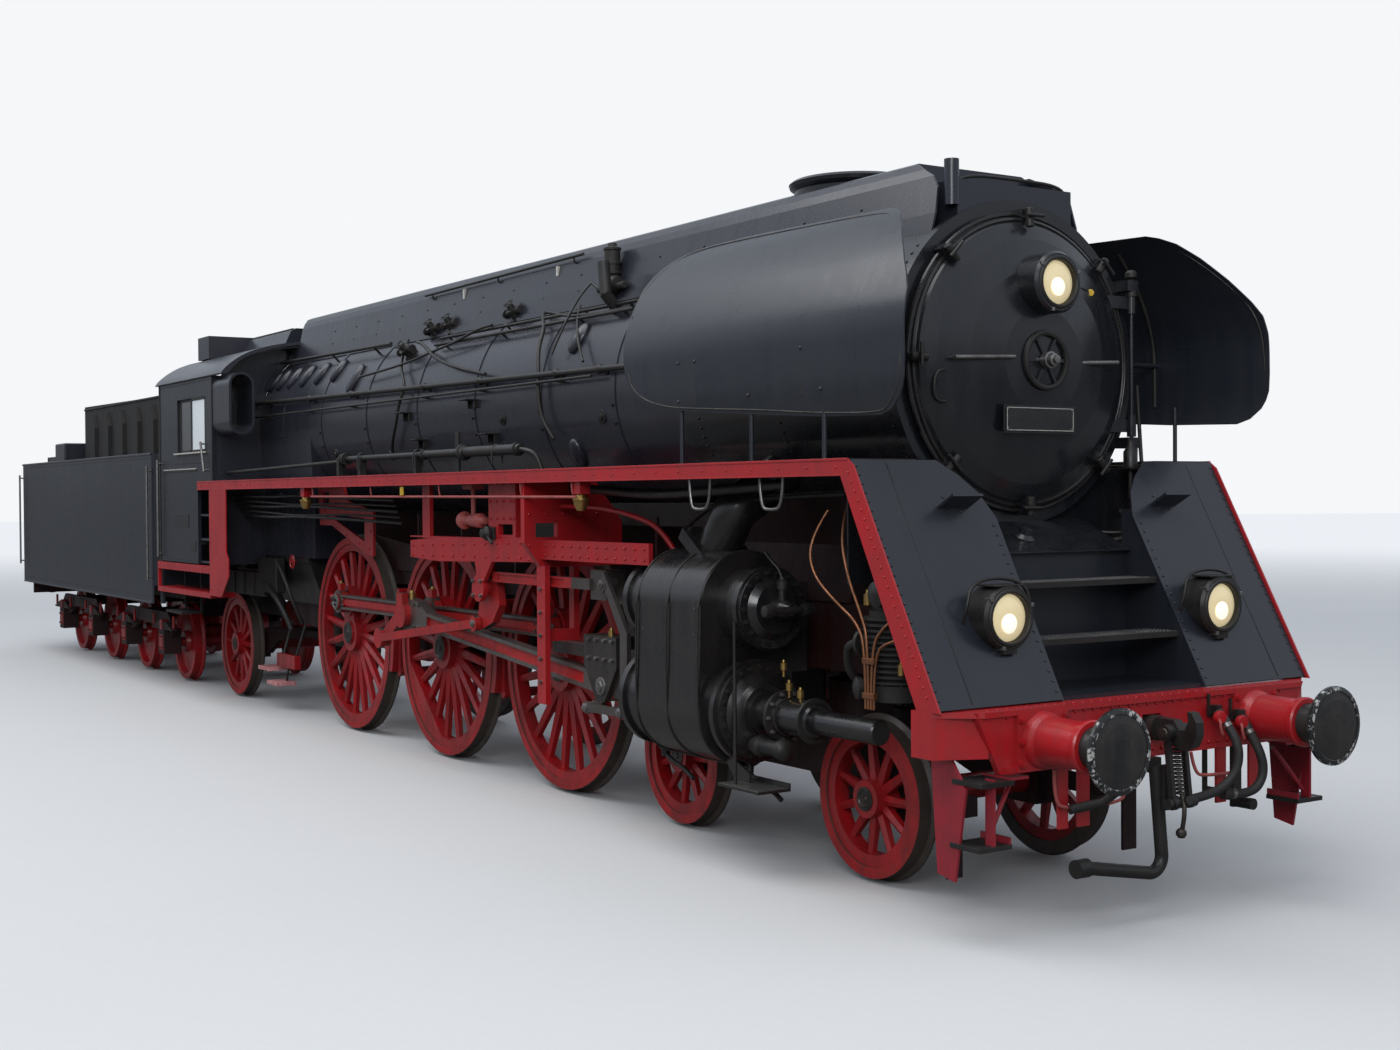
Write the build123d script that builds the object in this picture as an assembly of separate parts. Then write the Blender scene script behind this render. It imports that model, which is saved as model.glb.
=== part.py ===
from build123d import *
import math
import os

os.makedirs("parts", exist_ok=True)

# Frame: +X towards the front of the engine, +Y to its left, +Z up, in millimetres.
# X = 0 is halfway between the buffer faces, Y = 0 the centre line, Z = 0 the wheel flanges' lowest point.

# Driving dimensions
LENGTH = 24350.0          # over the buffers
FLANGE = 28.0             # depth of a wheel flange below the rail head
RAIL = FLANGE             # height of the rail head
TYRE_BACK = 680.0         # half the distance between the tyres' backs
TYRE_WIDTH = 140.0
TYRE_DEPTH = 70.0
DRIVER_R = 1000.0
BOGIE_R = 500.0
TRAILER_R = 625.0
TENDER_R = 500.0
CRANK = 330.0             # half the piston stroke
BOILER_Z = 3250.0         # height of the boiler's centre line
BOILER_R = 960.0          # over the cladding
SMOKEBOX_R = 1000.0
CYLINDER_Y = 1150.0
CYLINDER_Z = RAIL + 1000.0
VALVE_Z = 1705.0
BUFFER_Y = 875.0
BUFFER_Z = RAIL + 1060.0
BUFFER_HEAD_R = 228.0
BUFFER_REACH = 600.0      # from the beam's face to the buffer's face
BODY_HALF_WIDTH = 1525.0
FOOTPLATE_Z = 2640.0      # top of the running boards
RUNNING_GAP = 0.5         # between a turning pin or axle and its bearing

# Axle places, worked back from the front buffers
NOSE = LENGTH / 2
BOGIE_1 = NOSE - 2180.0
BOGIE_2 = BOGIE_1 - 2200.0
DRIVER_1 = BOGIE_2 - 1800.0
DRIVER_2 = DRIVER_1 - 2300.0
DRIVER_3 = DRIVER_2 - 2300.0
TRAILER = DRIVER_3 - 3800.0
TENDER_1 = TRAILER - 2220.0
TENDER_PITCH = 1900.0
TENDER_AXLES = [TENDER_1 - TENDER_PITCH * i for i in range(4)]
BOGIE_PIVOT = (BOGIE_1 + BOGIE_2) / 2
TRUCK_PIVOT = TRAILER + 1700.0
BEAM_X = NOSE - BUFFER_REACH
TAIL_X = -NOSE + BUFFER_REACH

# Crank places, as angles from +X towards +Z: the right side leads by a quarter turn
RIGHT_CRANK = 92.0
LEFT_CRANK = RIGHT_CRANK + 90.0
SIDES = {"right": (-1, RIGHT_CRANK), "left": (1, LEFT_CRANK)}

# Planes across the motion, as distances from the centre line
HUB_FACE = 872.0
ROD_INNER = 886.0
ROD_OUTER = 976.0
PIN_END = 996.0
COLLAR_INNER = 1012.0
MAIN_INNER = 1100.0
MAIN_OUTER = 1200.0
RETURN_OUTER = 1262.0
ECCENTRIC_OUTER = 1312.0
MAIN_ROD_LENGTH = 3700.0
SLIDE_LOW = 1222.0
SLIDE_HIGH = 1312.0

# Cylinders, as places along and a flange on the right-hand steam pipe
CYLINDER_REAR = 8062.0
CHEST_REAR = 7981.0
CLADDING_R = 362.0
STEAM_FLANGE = (8710.0, -1080.0, 2063.0)
STEAM_WAY = (0.585, 0.0, 0.811)
STEAM_FLANGE_HALF = 45.0
CHIMNEY_X = 8855.0
BRAKE_GAP = 6.0           # between a brake block and the tread

# Brake hoses: the middle line's points, from the cock down to the coupling head
HOSE_R = 27.0
HOSE_ROUTES = {
    "brake_hose_1": [
        (11680, 511, 1076), (11760, 528, 984), (11760, 519, 815), (11720, 419, 703), (11690, 227, 666),
        (11680, 92, 661),
    ],
    "brake_hose_2": [
        (11680, 705, 1029), (11752, 729, 912), (11760, 752, 762), (11740, 660, 654), (11702, 522, 670),
    ],
}


def block(x0, x1, y0, y1, z0, z1):
    """A box between two corners."""
    place = Pos((x0 + x1) / 2, (y0 + y1) / 2, (z0 + z1) / 2)
    return place * Box(abs(x1 - x0), abs(y1 - y0), abs(z1 - z0))


def side_plate(outline, y0, y1):
    """A plate cut to an outline in X and Z, between two distances across."""
    low, high = sorted((y0, y1))
    face = make_face(Plane.XZ * Polyline(*outline, close=True))
    return Pos(0, low, 0) * extrude(face, amount=high - low, dir=(0, 1, 0))


def cross_plate(outline, x0, x1):
    """A plate cut to an outline in Y and Z, between two places along."""
    low, high = sorted((x0, x1))
    face = make_face(Plane.YZ * Polyline(*outline, close=True))
    return Pos(low, 0, 0) * extrude(face, amount=high - low, dir=(1, 0, 0))


def floor_plate(outline, z0, z1):
    """A plate cut to an outline in X and Y, between two heights."""
    face = make_face(Polyline(*outline, close=True))
    return Pos(0, 0, z0) * extrude(face, amount=z1 - z0, dir=(0, 0, 1))


def bar(start, end, radius):
    """A round bar from one point to another."""
    start = Vector(*start)
    axis = Vector(*end) - start
    place = Plane(origin=start, z_dir=axis)
    return place * Cylinder(radius, axis.length, align=(Align.CENTER, Align.CENTER, Align.MIN))


def round_y(x, z, radius, y0, y1):
    return bar((x, y0, z), (x, y1, z), radius)


def round_x(y, z, radius, x0, x1):
    return bar((x0, y, z), (x1, y, z), radius)


def round_z(x, y, radius, z0, z1):
    return bar((x, y, z0), (x, y, z1), radius)


def turned_y(profile, x, z):
    """A solid turned about a line across, from rows of radius and distance across."""
    face = make_face(Polyline(*profile, close=True))
    return Pos(x, 0, z) * revolve(face, Axis.Y)


def turned_x(profile, y, z):
    """A solid turned about a line along, from rows of place along and radius."""
    face = make_face(Polyline(*profile, close=True))
    return Pos(0, y, z) * revolve(face, Axis.X)


def pipe(route, radius, bend):
    """A pipe along straight runs joined by arcs."""
    path = FilletPolyline(*route, radius=bend) if len(route) > 2 else Line(*route)
    section = Plane(origin=path @ 0, z_dir=path % 0) * Circle(radius)
    return sweep(section, path=path)


def link_bar(start, end, width, y0, y1):
    """A flat bar in the side view between two points in X and Z."""
    dx, dz = end[0] - start[0], end[1] - start[1]
    length = math.hypot(dx, dz)
    nx, nz = -dz / length * width / 2, dx / length * width / 2
    corners = [
        (start[0] + nx, start[1] + nz),
        (end[0] + nx, end[1] + nz),
        (end[0] - nx, end[1] - nz),
        (start[0] - nx, start[1] - nz),
    ]
    return side_plate(corners, y0, y1)


def curved_sheet(section, thick, x0, x1):
    """A sheet bent to a curve, from rows of distance across and height, between two places along."""
    outer = Spline(*[(x0, y, z) for y, z in section])
    inner = Spline(*[(x0, y - thick, z - thick / 2) for y, z in section])
    ends = [Line(outer @ 0, inner @ 0), Line(outer @ 1, inner @ 1)]
    return extrude(make_face([outer, ends[1], inner, ends[0]]), amount=x1 - x0, dir=(1, 0, 0))


def flipped(shape):
    """The same shape on the other side of the centre line."""
    return mirror(shape, about=Plane.XZ)


def pair(shape):
    return [shape, flipped(shape)]


def write(node, *items):
    """Writes a sub-part, from solids and lists of solids."""
    solids = []
    for item in items:
        for shape in item if isinstance(item, list) else [item]:
            solids.extend(shape.solids())
    export_step(Compound(solids), "parts/" + node + ".step")


def crank_point(x, angle):
    """The crank pin's centre in X and Z on the axle at x."""
    turn = math.radians(angle)
    return x + CRANK * math.cos(turn), RAIL + DRIVER_R + CRANK * math.sin(turn)


# Wheels

def tyre(radius):
    """One left tyre about the line across at the origin."""
    outer = TYRE_BACK + TYRE_WIDTH
    profile = [
        (radius - TYRE_DEPTH, TYRE_BACK),
        (radius - TYRE_DEPTH, outer),
        (radius - 4, outer),
        (radius, TYRE_BACK + 48),
        (radius + FLANGE, TYRE_BACK + 24),
        (radius + FLANGE, TYRE_BACK + 12),
        (radius + 12, TYRE_BACK),
    ]
    return turned_y(profile, 0, 0)


def spoke(inner, outer, root, tip, middle):
    """A spoke along +X with a ridge on its outer face; root and tip are (width, thickness)."""
    sections = []
    for place, (width, thick) in ((inner, root), (outer, tip)):
        back = middle - thick / 2
        crest = middle + thick / 2
        outline = [
            (back, -width / 2),
            (crest - thick * 0.3, -width / 2),
            (crest, 0),
            (crest - thick * 0.3, width / 2),
            (back, width / 2),
        ]
        plane = Plane(origin=(place, 0, 0), x_dir=(0, 1, 0), z_dir=(1, 0, 0))
        sections.append(plane * make_face(Polyline(*outline, close=True)))
    return loft(sections, ruled=True)


def spoked_centre(radius, spokes, hub_r, hub_out, root, tip, start=0.0):
    """The left wheel centre of a spoked wheel about the line across at the origin."""
    rim_out = radius - TYRE_DEPTH - 0.3
    rim_in = rim_out - 75
    rim = round_y(0, 0, rim_out, TYRE_BACK + 14, TYRE_BACK + 126) - round_y(0, 0, rim_in, 600, 900)
    hub = round_y(0, 0, hub_r, TYRE_BACK - 18, hub_out)
    body = rim + hub
    for i in range(spokes):
        one = spoke(hub_r - 20, rim_in + 20, root, tip, TYRE_BACK + 72)
        body += Rot(0, start + 360.0 * i / spokes, 0) * one
    return body


def driver_centre(weight_from_crank, weight_span, main):
    """A left driving wheel centre with its crank along +X."""
    body = spoked_centre(DRIVER_R, 20, 190, 850, (88, 78), (58, 58), start=9.0)
    boss = round_y(CRANK, 0, 160, TYRE_BACK + 40, HUB_FACE)
    web = block(0, CRANK, TYRE_BACK + 40, 852, -135, 135)
    rim_in = DRIVER_R - TYRE_DEPTH - 40
    depth = DRIVER_R * math.cos(math.radians(weight_span / 2))
    weight = round_y(0, 0, rim_in, TYRE_BACK + 20, TYRE_BACK + 122)
    weight = weight & block(depth, DRIVER_R, 600, 900, -DRIVER_R, DRIVER_R)
    body = body + boss + web + Rot(0, -weight_from_crank, 0) * weight
    pin_r = 88 if main else 62
    pin = round_y(CRANK, 0, pin_r, HUB_FACE, PIN_END) + round_y(CRANK, 0, pin_r + 26, ROD_OUTER + 6, PIN_END)
    cap = round_y(0, 0, 120, 850, 866)
    return body + pin + cap


def axle_shaft(radius):
    """The shaft between a pair of wheel centres."""
    end = TYRE_BACK - 18.5
    return round_y(0, 0, radius, -end, end)


def disc_wheel():
    """A left rolled wheel with a dished disc, tyre and centre in one."""
    outer = TYRE_BACK + TYRE_WIDTH
    r = TENDER_R
    profile = [
        (0, TYRE_BACK - 18),
        (135, TYRE_BACK - 18),
        (150, TYRE_BACK + 66),
        (400, TYRE_BACK + 42),
        (r - TYRE_DEPTH, TYRE_BACK),
        (r + 12, TYRE_BACK),
        (r + FLANGE, TYRE_BACK + 12),
        (r + FLANGE, TYRE_BACK + 24),
        (r, TYRE_BACK + 48),
        (r - 4, outer),
        (r - TYRE_DEPTH, outer),
        (400, TYRE_BACK + 74),
        (150, TYRE_BACK + 98),
        (130, TYRE_BACK + 150),
        (0, TYRE_BACK + 150),
    ]
    return turned_y(profile, 0, 0)


def wheelsets():
    """All ten axles: wheel centres and shaft in one node, tyres in another."""
    # name, x, radius, spokes, hub radius, hub face, shaft radius, spoke root, spoke tip
    carrying = [
        ("bogie_1", BOGIE_1, BOGIE_R, 11, 120, 842, 85, (64, 64), (46, 50)),
        ("bogie_2", BOGIE_2, BOGIE_R, 11, 120, 842, 85, (64, 64), (46, 50)),
        ("trailer", TRAILER, TRAILER_R, 12, 135, 846, 92, (68, 66), (48, 52)),
    ]
    for name, x, radius, spokes, hub_r, hub_out, shaft_r, root, tip in carrying:
        place = Pos(x, 0, RAIL + radius)
        centre = place * spoked_centre(radius, spokes, hub_r, hub_out, root, tip)
        write("wheels_" + name, pair(centre), place * axle_shaft(shaft_r))
        write("tyres_" + name, pair(place * tyre(radius)))
    # name, x, weight's angle behind the crank, weight's span, main crank
    driving = [
        ("driver_1", DRIVER_1, 164.0, 62.0, False),
        ("driver_2", DRIVER_2, 136.0, 90.0, True),
        ("driver_3", DRIVER_3, 164.0, 62.0, False),
    ]
    for name, x, lag, span, main in driving:
        place = Pos(x, 0, RAIL + DRIVER_R)
        left = place * Rot(0, -LEFT_CRANK, 0) * driver_centre(-lag, span, main)
        right = place * Rot(0, -RIGHT_CRANK, 0) * flipped(driver_centre(lag, span, main))
        write("wheels_" + name, left, right, place * axle_shaft(115))
        write("tyres_" + name, pair(place * tyre(DRIVER_R)))
    for i, x in enumerate(TENDER_AXLES):
        place = Pos(x, 0, RAIL + TENDER_R)
        shaft = place * axle_shaft(80)
        journal = place * round_y(0, 0, 60, TYRE_BACK + 150.3, TYRE_BACK + 330)
        write("wheels_tender_" + str(i + 1), pair(place * disc_wheel()), shaft, pair(journal))


# Rods and motion

def coupling_rods():
    """Two rods a side, in line with the three crank pins, as one piece with forked knuckles."""
    for side, (sign, angle) in SIDES.items():
        x3, z = crank_point(DRIVER_3, angle)
        x2, _ = crank_point(DRIVER_2, angle)
        x1, _ = crank_point(DRIVER_1, angle)
        y0, y1 = sign * ROD_INNER, sign * ROD_OUTER
        web0, web1 = sign * (ROD_INNER + 16), sign * (ROD_OUTER - 16)
        rod = link_bar((x3, z), (x1, z), 62, web0, web1)
        rod += side_plate([(x3, z + 52), (x1, z + 52), (x1, z + 74), (x3, z + 74)], y0, y1)
        rod += side_plate([(x3, z - 74), (x1, z - 74), (x1, z - 52), (x3, z - 52)], y0, y1)
        rod += link_bar((x3, z), (x1, z), 110, web0 + sign * 18, web1 - sign * 18)
        rod += round_y(x2 - 420, z, 105, y0, y1)
        # place along, eye radius, pin radius
        for x, eye_r, pin_r in ((x3, 118, 62), (x2, 150, 88), (x1, 118, 62)):
            rod += round_y(x, z, eye_r, y0, y1)
            rod -= round_y(x, z, pin_r + RUNNING_GAP, sign * 800, sign * 1100)
            rod += block(x - 42, x + 42, y0 + sign * 20, y1 - sign * 20, z + eye_r - 12, z + eye_r + 70)
        write("coupling_rods_" + side, rod)


def crosshead_x(angle):
    """The crosshead pin's place along, for a crank angle."""
    turn = math.radians(angle)
    reach = math.sqrt(MAIN_ROD_LENGTH ** 2 - (CRANK * math.sin(turn)) ** 2)
    return DRIVER_2 + CRANK * math.cos(turn) + reach


def main_rods():
    """A fluted rod a side from the main crank pin to the crosshead pin."""
    rods = []
    for sign, angle in SIDES.values():
        x0, z0 = crank_point(DRIVER_2, angle)
        x1, z1 = crosshead_x(angle), CYLINDER_Z
        y0, y1 = sign * MAIN_INNER, sign * MAIN_OUTER
        rod = link_bar((x0, z0), (x1, z1), 150, y0, y1)
        dx, dz = (x1 - x0) / MAIN_ROD_LENGTH, (z1 - z0) / MAIN_ROD_LENGTH
        start = (x0 + dx * 420, z0 + dz * 420)
        end = (x1 - dx * 330, z1 - dz * 330)
        for near, far in ((y1 - sign * 26, y1 + sign * 5), (y0 - sign * 5, y0 + sign * 26)):
            rod -= link_bar(start, end, 92, near, far)
        big_end = [
            (x0 - dx * 190 - dz * 160, z0 - dz * 190 + dx * 160),
            (x0 + dx * 250 - dz * 150, z0 + dz * 250 + dx * 150),
            (x0 + dx * 460 - dz * 76, z0 + dz * 460 + dx * 76),
            (x0 + dx * 460 + dz * 76, z0 + dz * 460 - dx * 76),
            (x0 + dx * 250 + dz * 150, z0 + dz * 250 - dx * 150),
            (x0 - dx * 190 + dz * 160, z0 - dz * 190 - dx * 160),
        ]
        rod += side_plate(big_end, y0, y1)
        rod += round_y(x1, z1, 120, y0, y1)
        rod += round_y(x0, z0, 130, sign * COLLAR_INNER, y0)
        rod -= round_y(x1, z1, 60 + RUNNING_GAP, y0 - sign * 40, y1 + sign * 40)
        rods.append(rod)
    write("main_rods", rods)


def crossheads():
    """A crosshead a side round its single slide bar, with the piston rod and the drop arm."""
    pieces = []
    for sign, angle in SIDES.values():
        x, z, y = crosshead_x(angle), CYLINDER_Z, sign * CYLINDER_Y
        inner, outer = y - sign * 95, y + sign * 95
        cheek = [
            (x - 240, z + 372), (x + 240, z + 372), (x + 240, z + 145),
            (x + 120, z - 30), (x + 60, z - 118), (x - 60, z - 118), (x - 120, z - 30), (x - 240, z + 145),
        ]
        body = side_plate(cheek, outer, outer - sign * 34) + side_plate(cheek, inner, inner + sign * 34)
        body += block(x - 240, x + 240, inner, outer, SLIDE_HIGH + 3, z + 372)
        body += block(x - 240, x + 240, inner, outer, z + 145, SLIDE_LOW - 3)
        body += block(x + 140, x + 262, y - 62, y + 62, z - 80, z + 150)
        body += round_y(x, z, 60, inner, outer)
        body += round_x(y, z, 55, x + 200, CYLINDER_REAR)
        drop_arm = [(x - 70, z - 90), (x + 40, z - 90), (x + 10, z - 190), (x - 110, z - 190)]
        body += side_plate(drop_arm, outer, outer - sign * 34)
        pieces.append(body)
        pieces.append(block(6560, CYLINDER_REAR - 2, y - 55, y + 55, SLIDE_LOW, SLIDE_HIGH))
    write("crossheads", pieces)


def valve_gear():
    """Outside valve gear: return crank, eccentric rod, link, radius rod, combination lever, union link."""
    pieces = []
    for sign, angle in SIDES.values():
        px, pz = crank_point(DRIVER_2, angle)
        turn = math.radians(angle)
        # the return crank's pin sits a quarter turn behind the main pin, nearer to the axle
        ex = DRIVER_2 - 430 * math.sin(turn) + 10
        ez = RAIL + DRIVER_R + 430 * math.cos(turn) + 105
        lx, lz = 5340.0, 1375.0
        y1, y2, y3 = sign * MAIN_OUTER, sign * RETURN_OUTER, sign * ECCENTRIC_OUTER
        crank = link_bar((px, pz), (ex, ez), 120, y1, y2)
        crank += round_y(px, pz, 120, y1, y2) + round_y(ex, ez, 78, y1, y3)
        crank += block(px - 70, px + 60, y1, y2, pz + 90, pz + 200)
        rod = link_bar((ex, ez), (lx, lz), 74, y2, y3)
        rod += round_y(ex, ez, 96, y2, y3) + round_y(lx, lz, 66, y2, y3)
        rod -= round_y(lx, lz, 42 + RUNNING_GAP, sign * 1200, sign * 1400)
        link_y0, link_y1 = sign * 1190, sign * 1256
        link = side_plate([(lx - 30, lz - 50), (lx + 40, lz - 50), (lx + 260, lz + 20), (lx + 390, lz + 170),
                           (lx + 340, lz + 375), (lx + 60, lz + 375), (lx + 15, lz + 170)], link_y0, link_y1)
        link += side_plate([(lx + 110, lz + 370), (lx + 210, lz + 370), (lx + 160, lz + 640), (lx + 90, lz + 640)],
                           link_y0, link_y1)
        link += round_y(lx, lz, 42, link_y0, y3)
        link += round_y(lx + 170, 1680, 70, sign * 1130, sign * 1300)
        radius_rod = link_bar((lx + 330, 1780), (7300, 1780), 82, sign * 1226, sign * 1290)
        radius_rod -= link_bar((lx + 420, 1780), (6900, 1780), 50, sign * 1278, sign * 1300)
        valve_rod = round_x(sign * CYLINDER_Y, VALVE_Z, 34, 7300, CHEST_REAR - 0.3)
        head = block(7268, 7500, sign * 1100, sign * 1262, 1668, 1890)
        guide = block(7500, 7800, sign * 1110, sign * 1190, VALVE_Z - 60, VALVE_Z + 60)
        lever = side_plate([(7440, 1880), (7520, 1880), (7850, 1450), (7842, 850), (7742, 850), (7750, 1440)],
                           sign * 1262, sign * 1296)
        lever += round_y(7490, 1790, 60, sign * 1190, sign * 1300)
        union = link_bar((crosshead_x(angle) - 60, 868), (7792, 880), 60, sign * 1296, sign * 1330)
        union += round_y(crosshead_x(angle) - 60, 868, 44, sign * 1245.3, sign * 1330)
        union += round_y(7792, 880, 46, sign * 1262, sign * 1330)
        gear = link + radius_rod + head + guide + valve_rod + lever + union
        pieces += [crank + rod, gear]
    write("valve_gear", pieces)


def motion_brackets():
    """The plates that carry the slide bars' rear ends, the links and the reversing beams."""
    top = FOOTPLATE_Z - 20.3
    pieces = []
    for sign in (-1, 1):
        yoke = cross_plate([
            (sign * 620, 1890), (sign * 620, 2240), (sign * 900, top), (sign * 1488, top), (sign * 1488, 2080),
            (sign * 1345, 1890),
        ], 6580, 6640)
        yoke -= block(6500, 6700, sign * 1200, sign * 1390, 2120, 2230)
        leg = block(6566, 6700, sign * 1300, sign * 1345, 830, 1900)
        leg += block(6566, 6640, sign * 1010, sign * 1060, SLIDE_HIGH, 1900)
        leg += block(6566, 6640, sign * 1010, sign * 1345, SLIDE_HIGH + 0.3, SLIDE_HIGH + 90)
        rear_beam = side_plate([(4139, 2054), (4740, 2091), (6600, 2116), (6600, 1926), (4735, 1883), (4139, 1905)],
                               sign * 1345, sign * 1310)
        rear_beam += block(4139, 6566, sign * 1220, sign * 1345, 2085, 2097)
        front_beam = block(6640, 8240, sign * 1345, sign * 1310, 1950, 2102)
        front_beam += block(6640, 8240, sign * 1310, sign * 1345, 2090, 2102)
        gusset = side_plate([(5460, 1905), (5790, 1920), (5620, 1740), (5500, 1740)], sign * 1345, sign * 1310)
        bearing = round_y(5510, 1680, 110, sign * 1302, sign * 1345) + gusset
        hanger = block(5727, 6211, sign * 1300, sign * 1345, 2110, top)
        hanger -= block(5900, 6160, sign * 1290, sign * 1350, 2130, 2215)
        rear_hanger = block(4410, 4560, sign * 1310, sign * 1345, 2080, top)
        foot = block(4410, 6580, sign * 1240, sign * 1345, top - 30, top)
        pieces.append(yoke + leg + rear_beam + front_beam + bearing + hanger + rear_hanger + foot)
        bracket = side_plate([
            (729, top), (781, 2148), (1133, 2148), (2039, 1877), (2253, 1850), (2260, 2300), (1560, 2400), (1420, top),
        ], sign * 905, sign * 930)
        bracket -= side_plate([(1230, 2260), (2030, 2230), (2030, 1990), (1240, 2200)], sign * 900, sign * 935)
        bracket -= side_plate([(870, 2500), (1060, 2500), (1040, 2380), (880, 2380)], sign * 900, sign * 935)
        pieces.append(bracket + block(729, 1420, sign * 905, sign * 1100, top - 20, top))
    write("motion_brackets", pieces)


# Frames

def main_frame():
    """Bar frame plates, their stretchers, the saddle and the rear extension, each a plain solid."""
    plate = side_plate([
        (BEAM_X - 40.3, 935), (BEAM_X - 40.3, 1230), (10790, 1230), (10700, 1720), (-900, 1720), (-1140, 1600),
        (-1140, 1310), (-700, 1000), (400, 930), (6900, 930), (7250, 1270), (10700, 1270),
        (11000, 935),
    ], 500, 600)
    for x in (DRIVER_1, DRIVER_2, DRIVER_3):
        plate -= block(x - 190, x + 190, 490, 610, 900, 1330)
        box = block(x - 188, x + 188, 470, 640, 870, 1331)
        box -= round_y(x, RAIL + DRIVER_R, 115 + RUNNING_GAP, 450, 660)
        plate += box
    for x0, x1 in ((700, 950), (1850, 3200), (4190, 5500), (6480, 6850)):
        plate -= block(x0, x1, 490, 610, 1380, 1560)
    plate += side_plate([(1400, 1700), (1400, 2060), (2724, 1936), (2850, 1821), (2850, 1700)], 595, 628)
    rear = block(-3330, -1150, 430, 505, 1330, 1560)
    pieces = pair(plate) + pair(rear)
    # place along, thickness, half width, low, high
    cross = [
        (-3270, 280, 429.7, 1330, 1560),
        (-1145.5, 8, 499.7, 1330, 1600),
        (355, 90, 499.7, 1300, 1700),
        (1500, 30, 594.7, 1725, 2270),
        (2560, 120, 499.7, 1150, 1700),
        (2600, 30, 594.7, 1725, 2270),
        (3700, 30, 640, 1725, 2270),
        (4840, 120, 499.7, 1150, 1700),
        (4800, 30, 640, 1725, 2270),
        (5900, 30, 640, 1725, 2270),
        (7000, 120, 499.7, 1280, 1700),
        (7150, 30, 615, 1725, 2270),
        (10705, 110, 499.7, 1290, 1690),
    ]
    for x, thick, half, low, high in cross:
        pieces.append(block(x - thick / 2, x + thick / 2, -half, half, low, high))
    bridge = block(8300, 9500, -499.7, 499.7, 1425, 1700)
    bridge += round_z(BOGIE_PIVOT, 0, 150, 1150, 1426)
    pieces.append(bridge)
    saddle = cross_plate([(-620, 1725), (620, 1725), (520, 2100), (620, 2480), (-620, 2480), (-520, 2100)], 8180, 9560)
    saddle -= round_x(0, BOILER_Z, SMOKEBOX_R + 0.3, 8100, 9700)
    pieces.append(saddle)
    write("main_frame", pieces)


def bogie_frame():
    """The leading bogie: inside plates, cross beam round the centre pin, axle boxes, guard irons."""
    plate = side_plate([
        (BOGIE_2 - 330, 420), (BOGIE_2 - 330, 640), (BOGIE_2 + 300, 830), (BOGIE_PIVOT - 260, 880),
        (BOGIE_PIVOT + 260, 880), (BOGIE_1 - 300, 830), (BOGIE_1 + 330, 640), (BOGIE_1 + 330, 420),
        (BOGIE_1 - 300, 420), (BOGIE_PIVOT + 400, 560), (BOGIE_PIVOT - 400, 560), (BOGIE_2 + 300, 420),
    ], 520, 580)
    for x in (BOGIE_1, BOGIE_2):
        plate -= round_y(x, RAIL + BOGIE_R, 130, 400, 700)
        box = block(x - 150, x + 150, 480, 630, 380, 680)
        box -= round_y(x, RAIL + BOGIE_R, 85 + RUNNING_GAP, 400, 700)
        plate += box
    plate += block(BOGIE_1 + 300, BOGIE_1 + 725, 560, 592, 500, 620)
    plate += block(BOGIE_1 + 705, BOGIE_1 + 725, 560, 800, 500, 620)
    plate += block(BOGIE_1 + 705, BOGIE_1 + 725, 680, 800, 150, 620)
    frame = plate + flipped(plate)
    centre = block(BOGIE_PIVOT - 240, BOGIE_PIVOT + 240, -530, 530, 700, 870)
    centre += round_z(BOGIE_PIVOT, 0, 230, 700, 1140)
    frame += centre
    for x in (BOGIE_PIVOT - 560, BOGIE_PIVOT + 560):
        frame += block(x - 40, x + 40, -530, 530, 600, 740)
    write("bogie_frame", frame)


def trailing_truck():
    """The trailing axle's truck, with a pivot arm reaching forward."""
    plate = side_plate([
        (TRAILER - 330, 540), (TRAILER - 330, 780), (TRAILER + 330, 860), (TRAILER + 700, 860),
        (TRAILER + 700, 720), (TRAILER + 330, 540),
    ], 480, 540)
    box = block(TRAILER - 160, TRAILER + 160, 450, 620, 480, 826)
    box -= round_y(TRAILER, RAIL + TRAILER_R, 92 + RUNNING_GAP, 400, 660)
    plate = plate - round_y(TRAILER, RAIL + TRAILER_R, 140, 400, 700) + box
    truck = plate + flipped(plate)
    truck += block(TRAILER + 560, TRAILER + 700, -490, 490, 730, 860)
    truck += block(TRAILER - 330, TRAILER - 250, -490, 490, 560, 770)
    arm = floor_plate([
        (TRAILER + 640, 300), (TRUCK_PIVOT, 110), (TRUCK_PIVOT, -110), (TRAILER + 640, -300),
    ], 750, 840)
    truck += arm + round_z(TRUCK_PIVOT, 0, 130, 730, 880)
    write("trailing_truck", truck)


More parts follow.
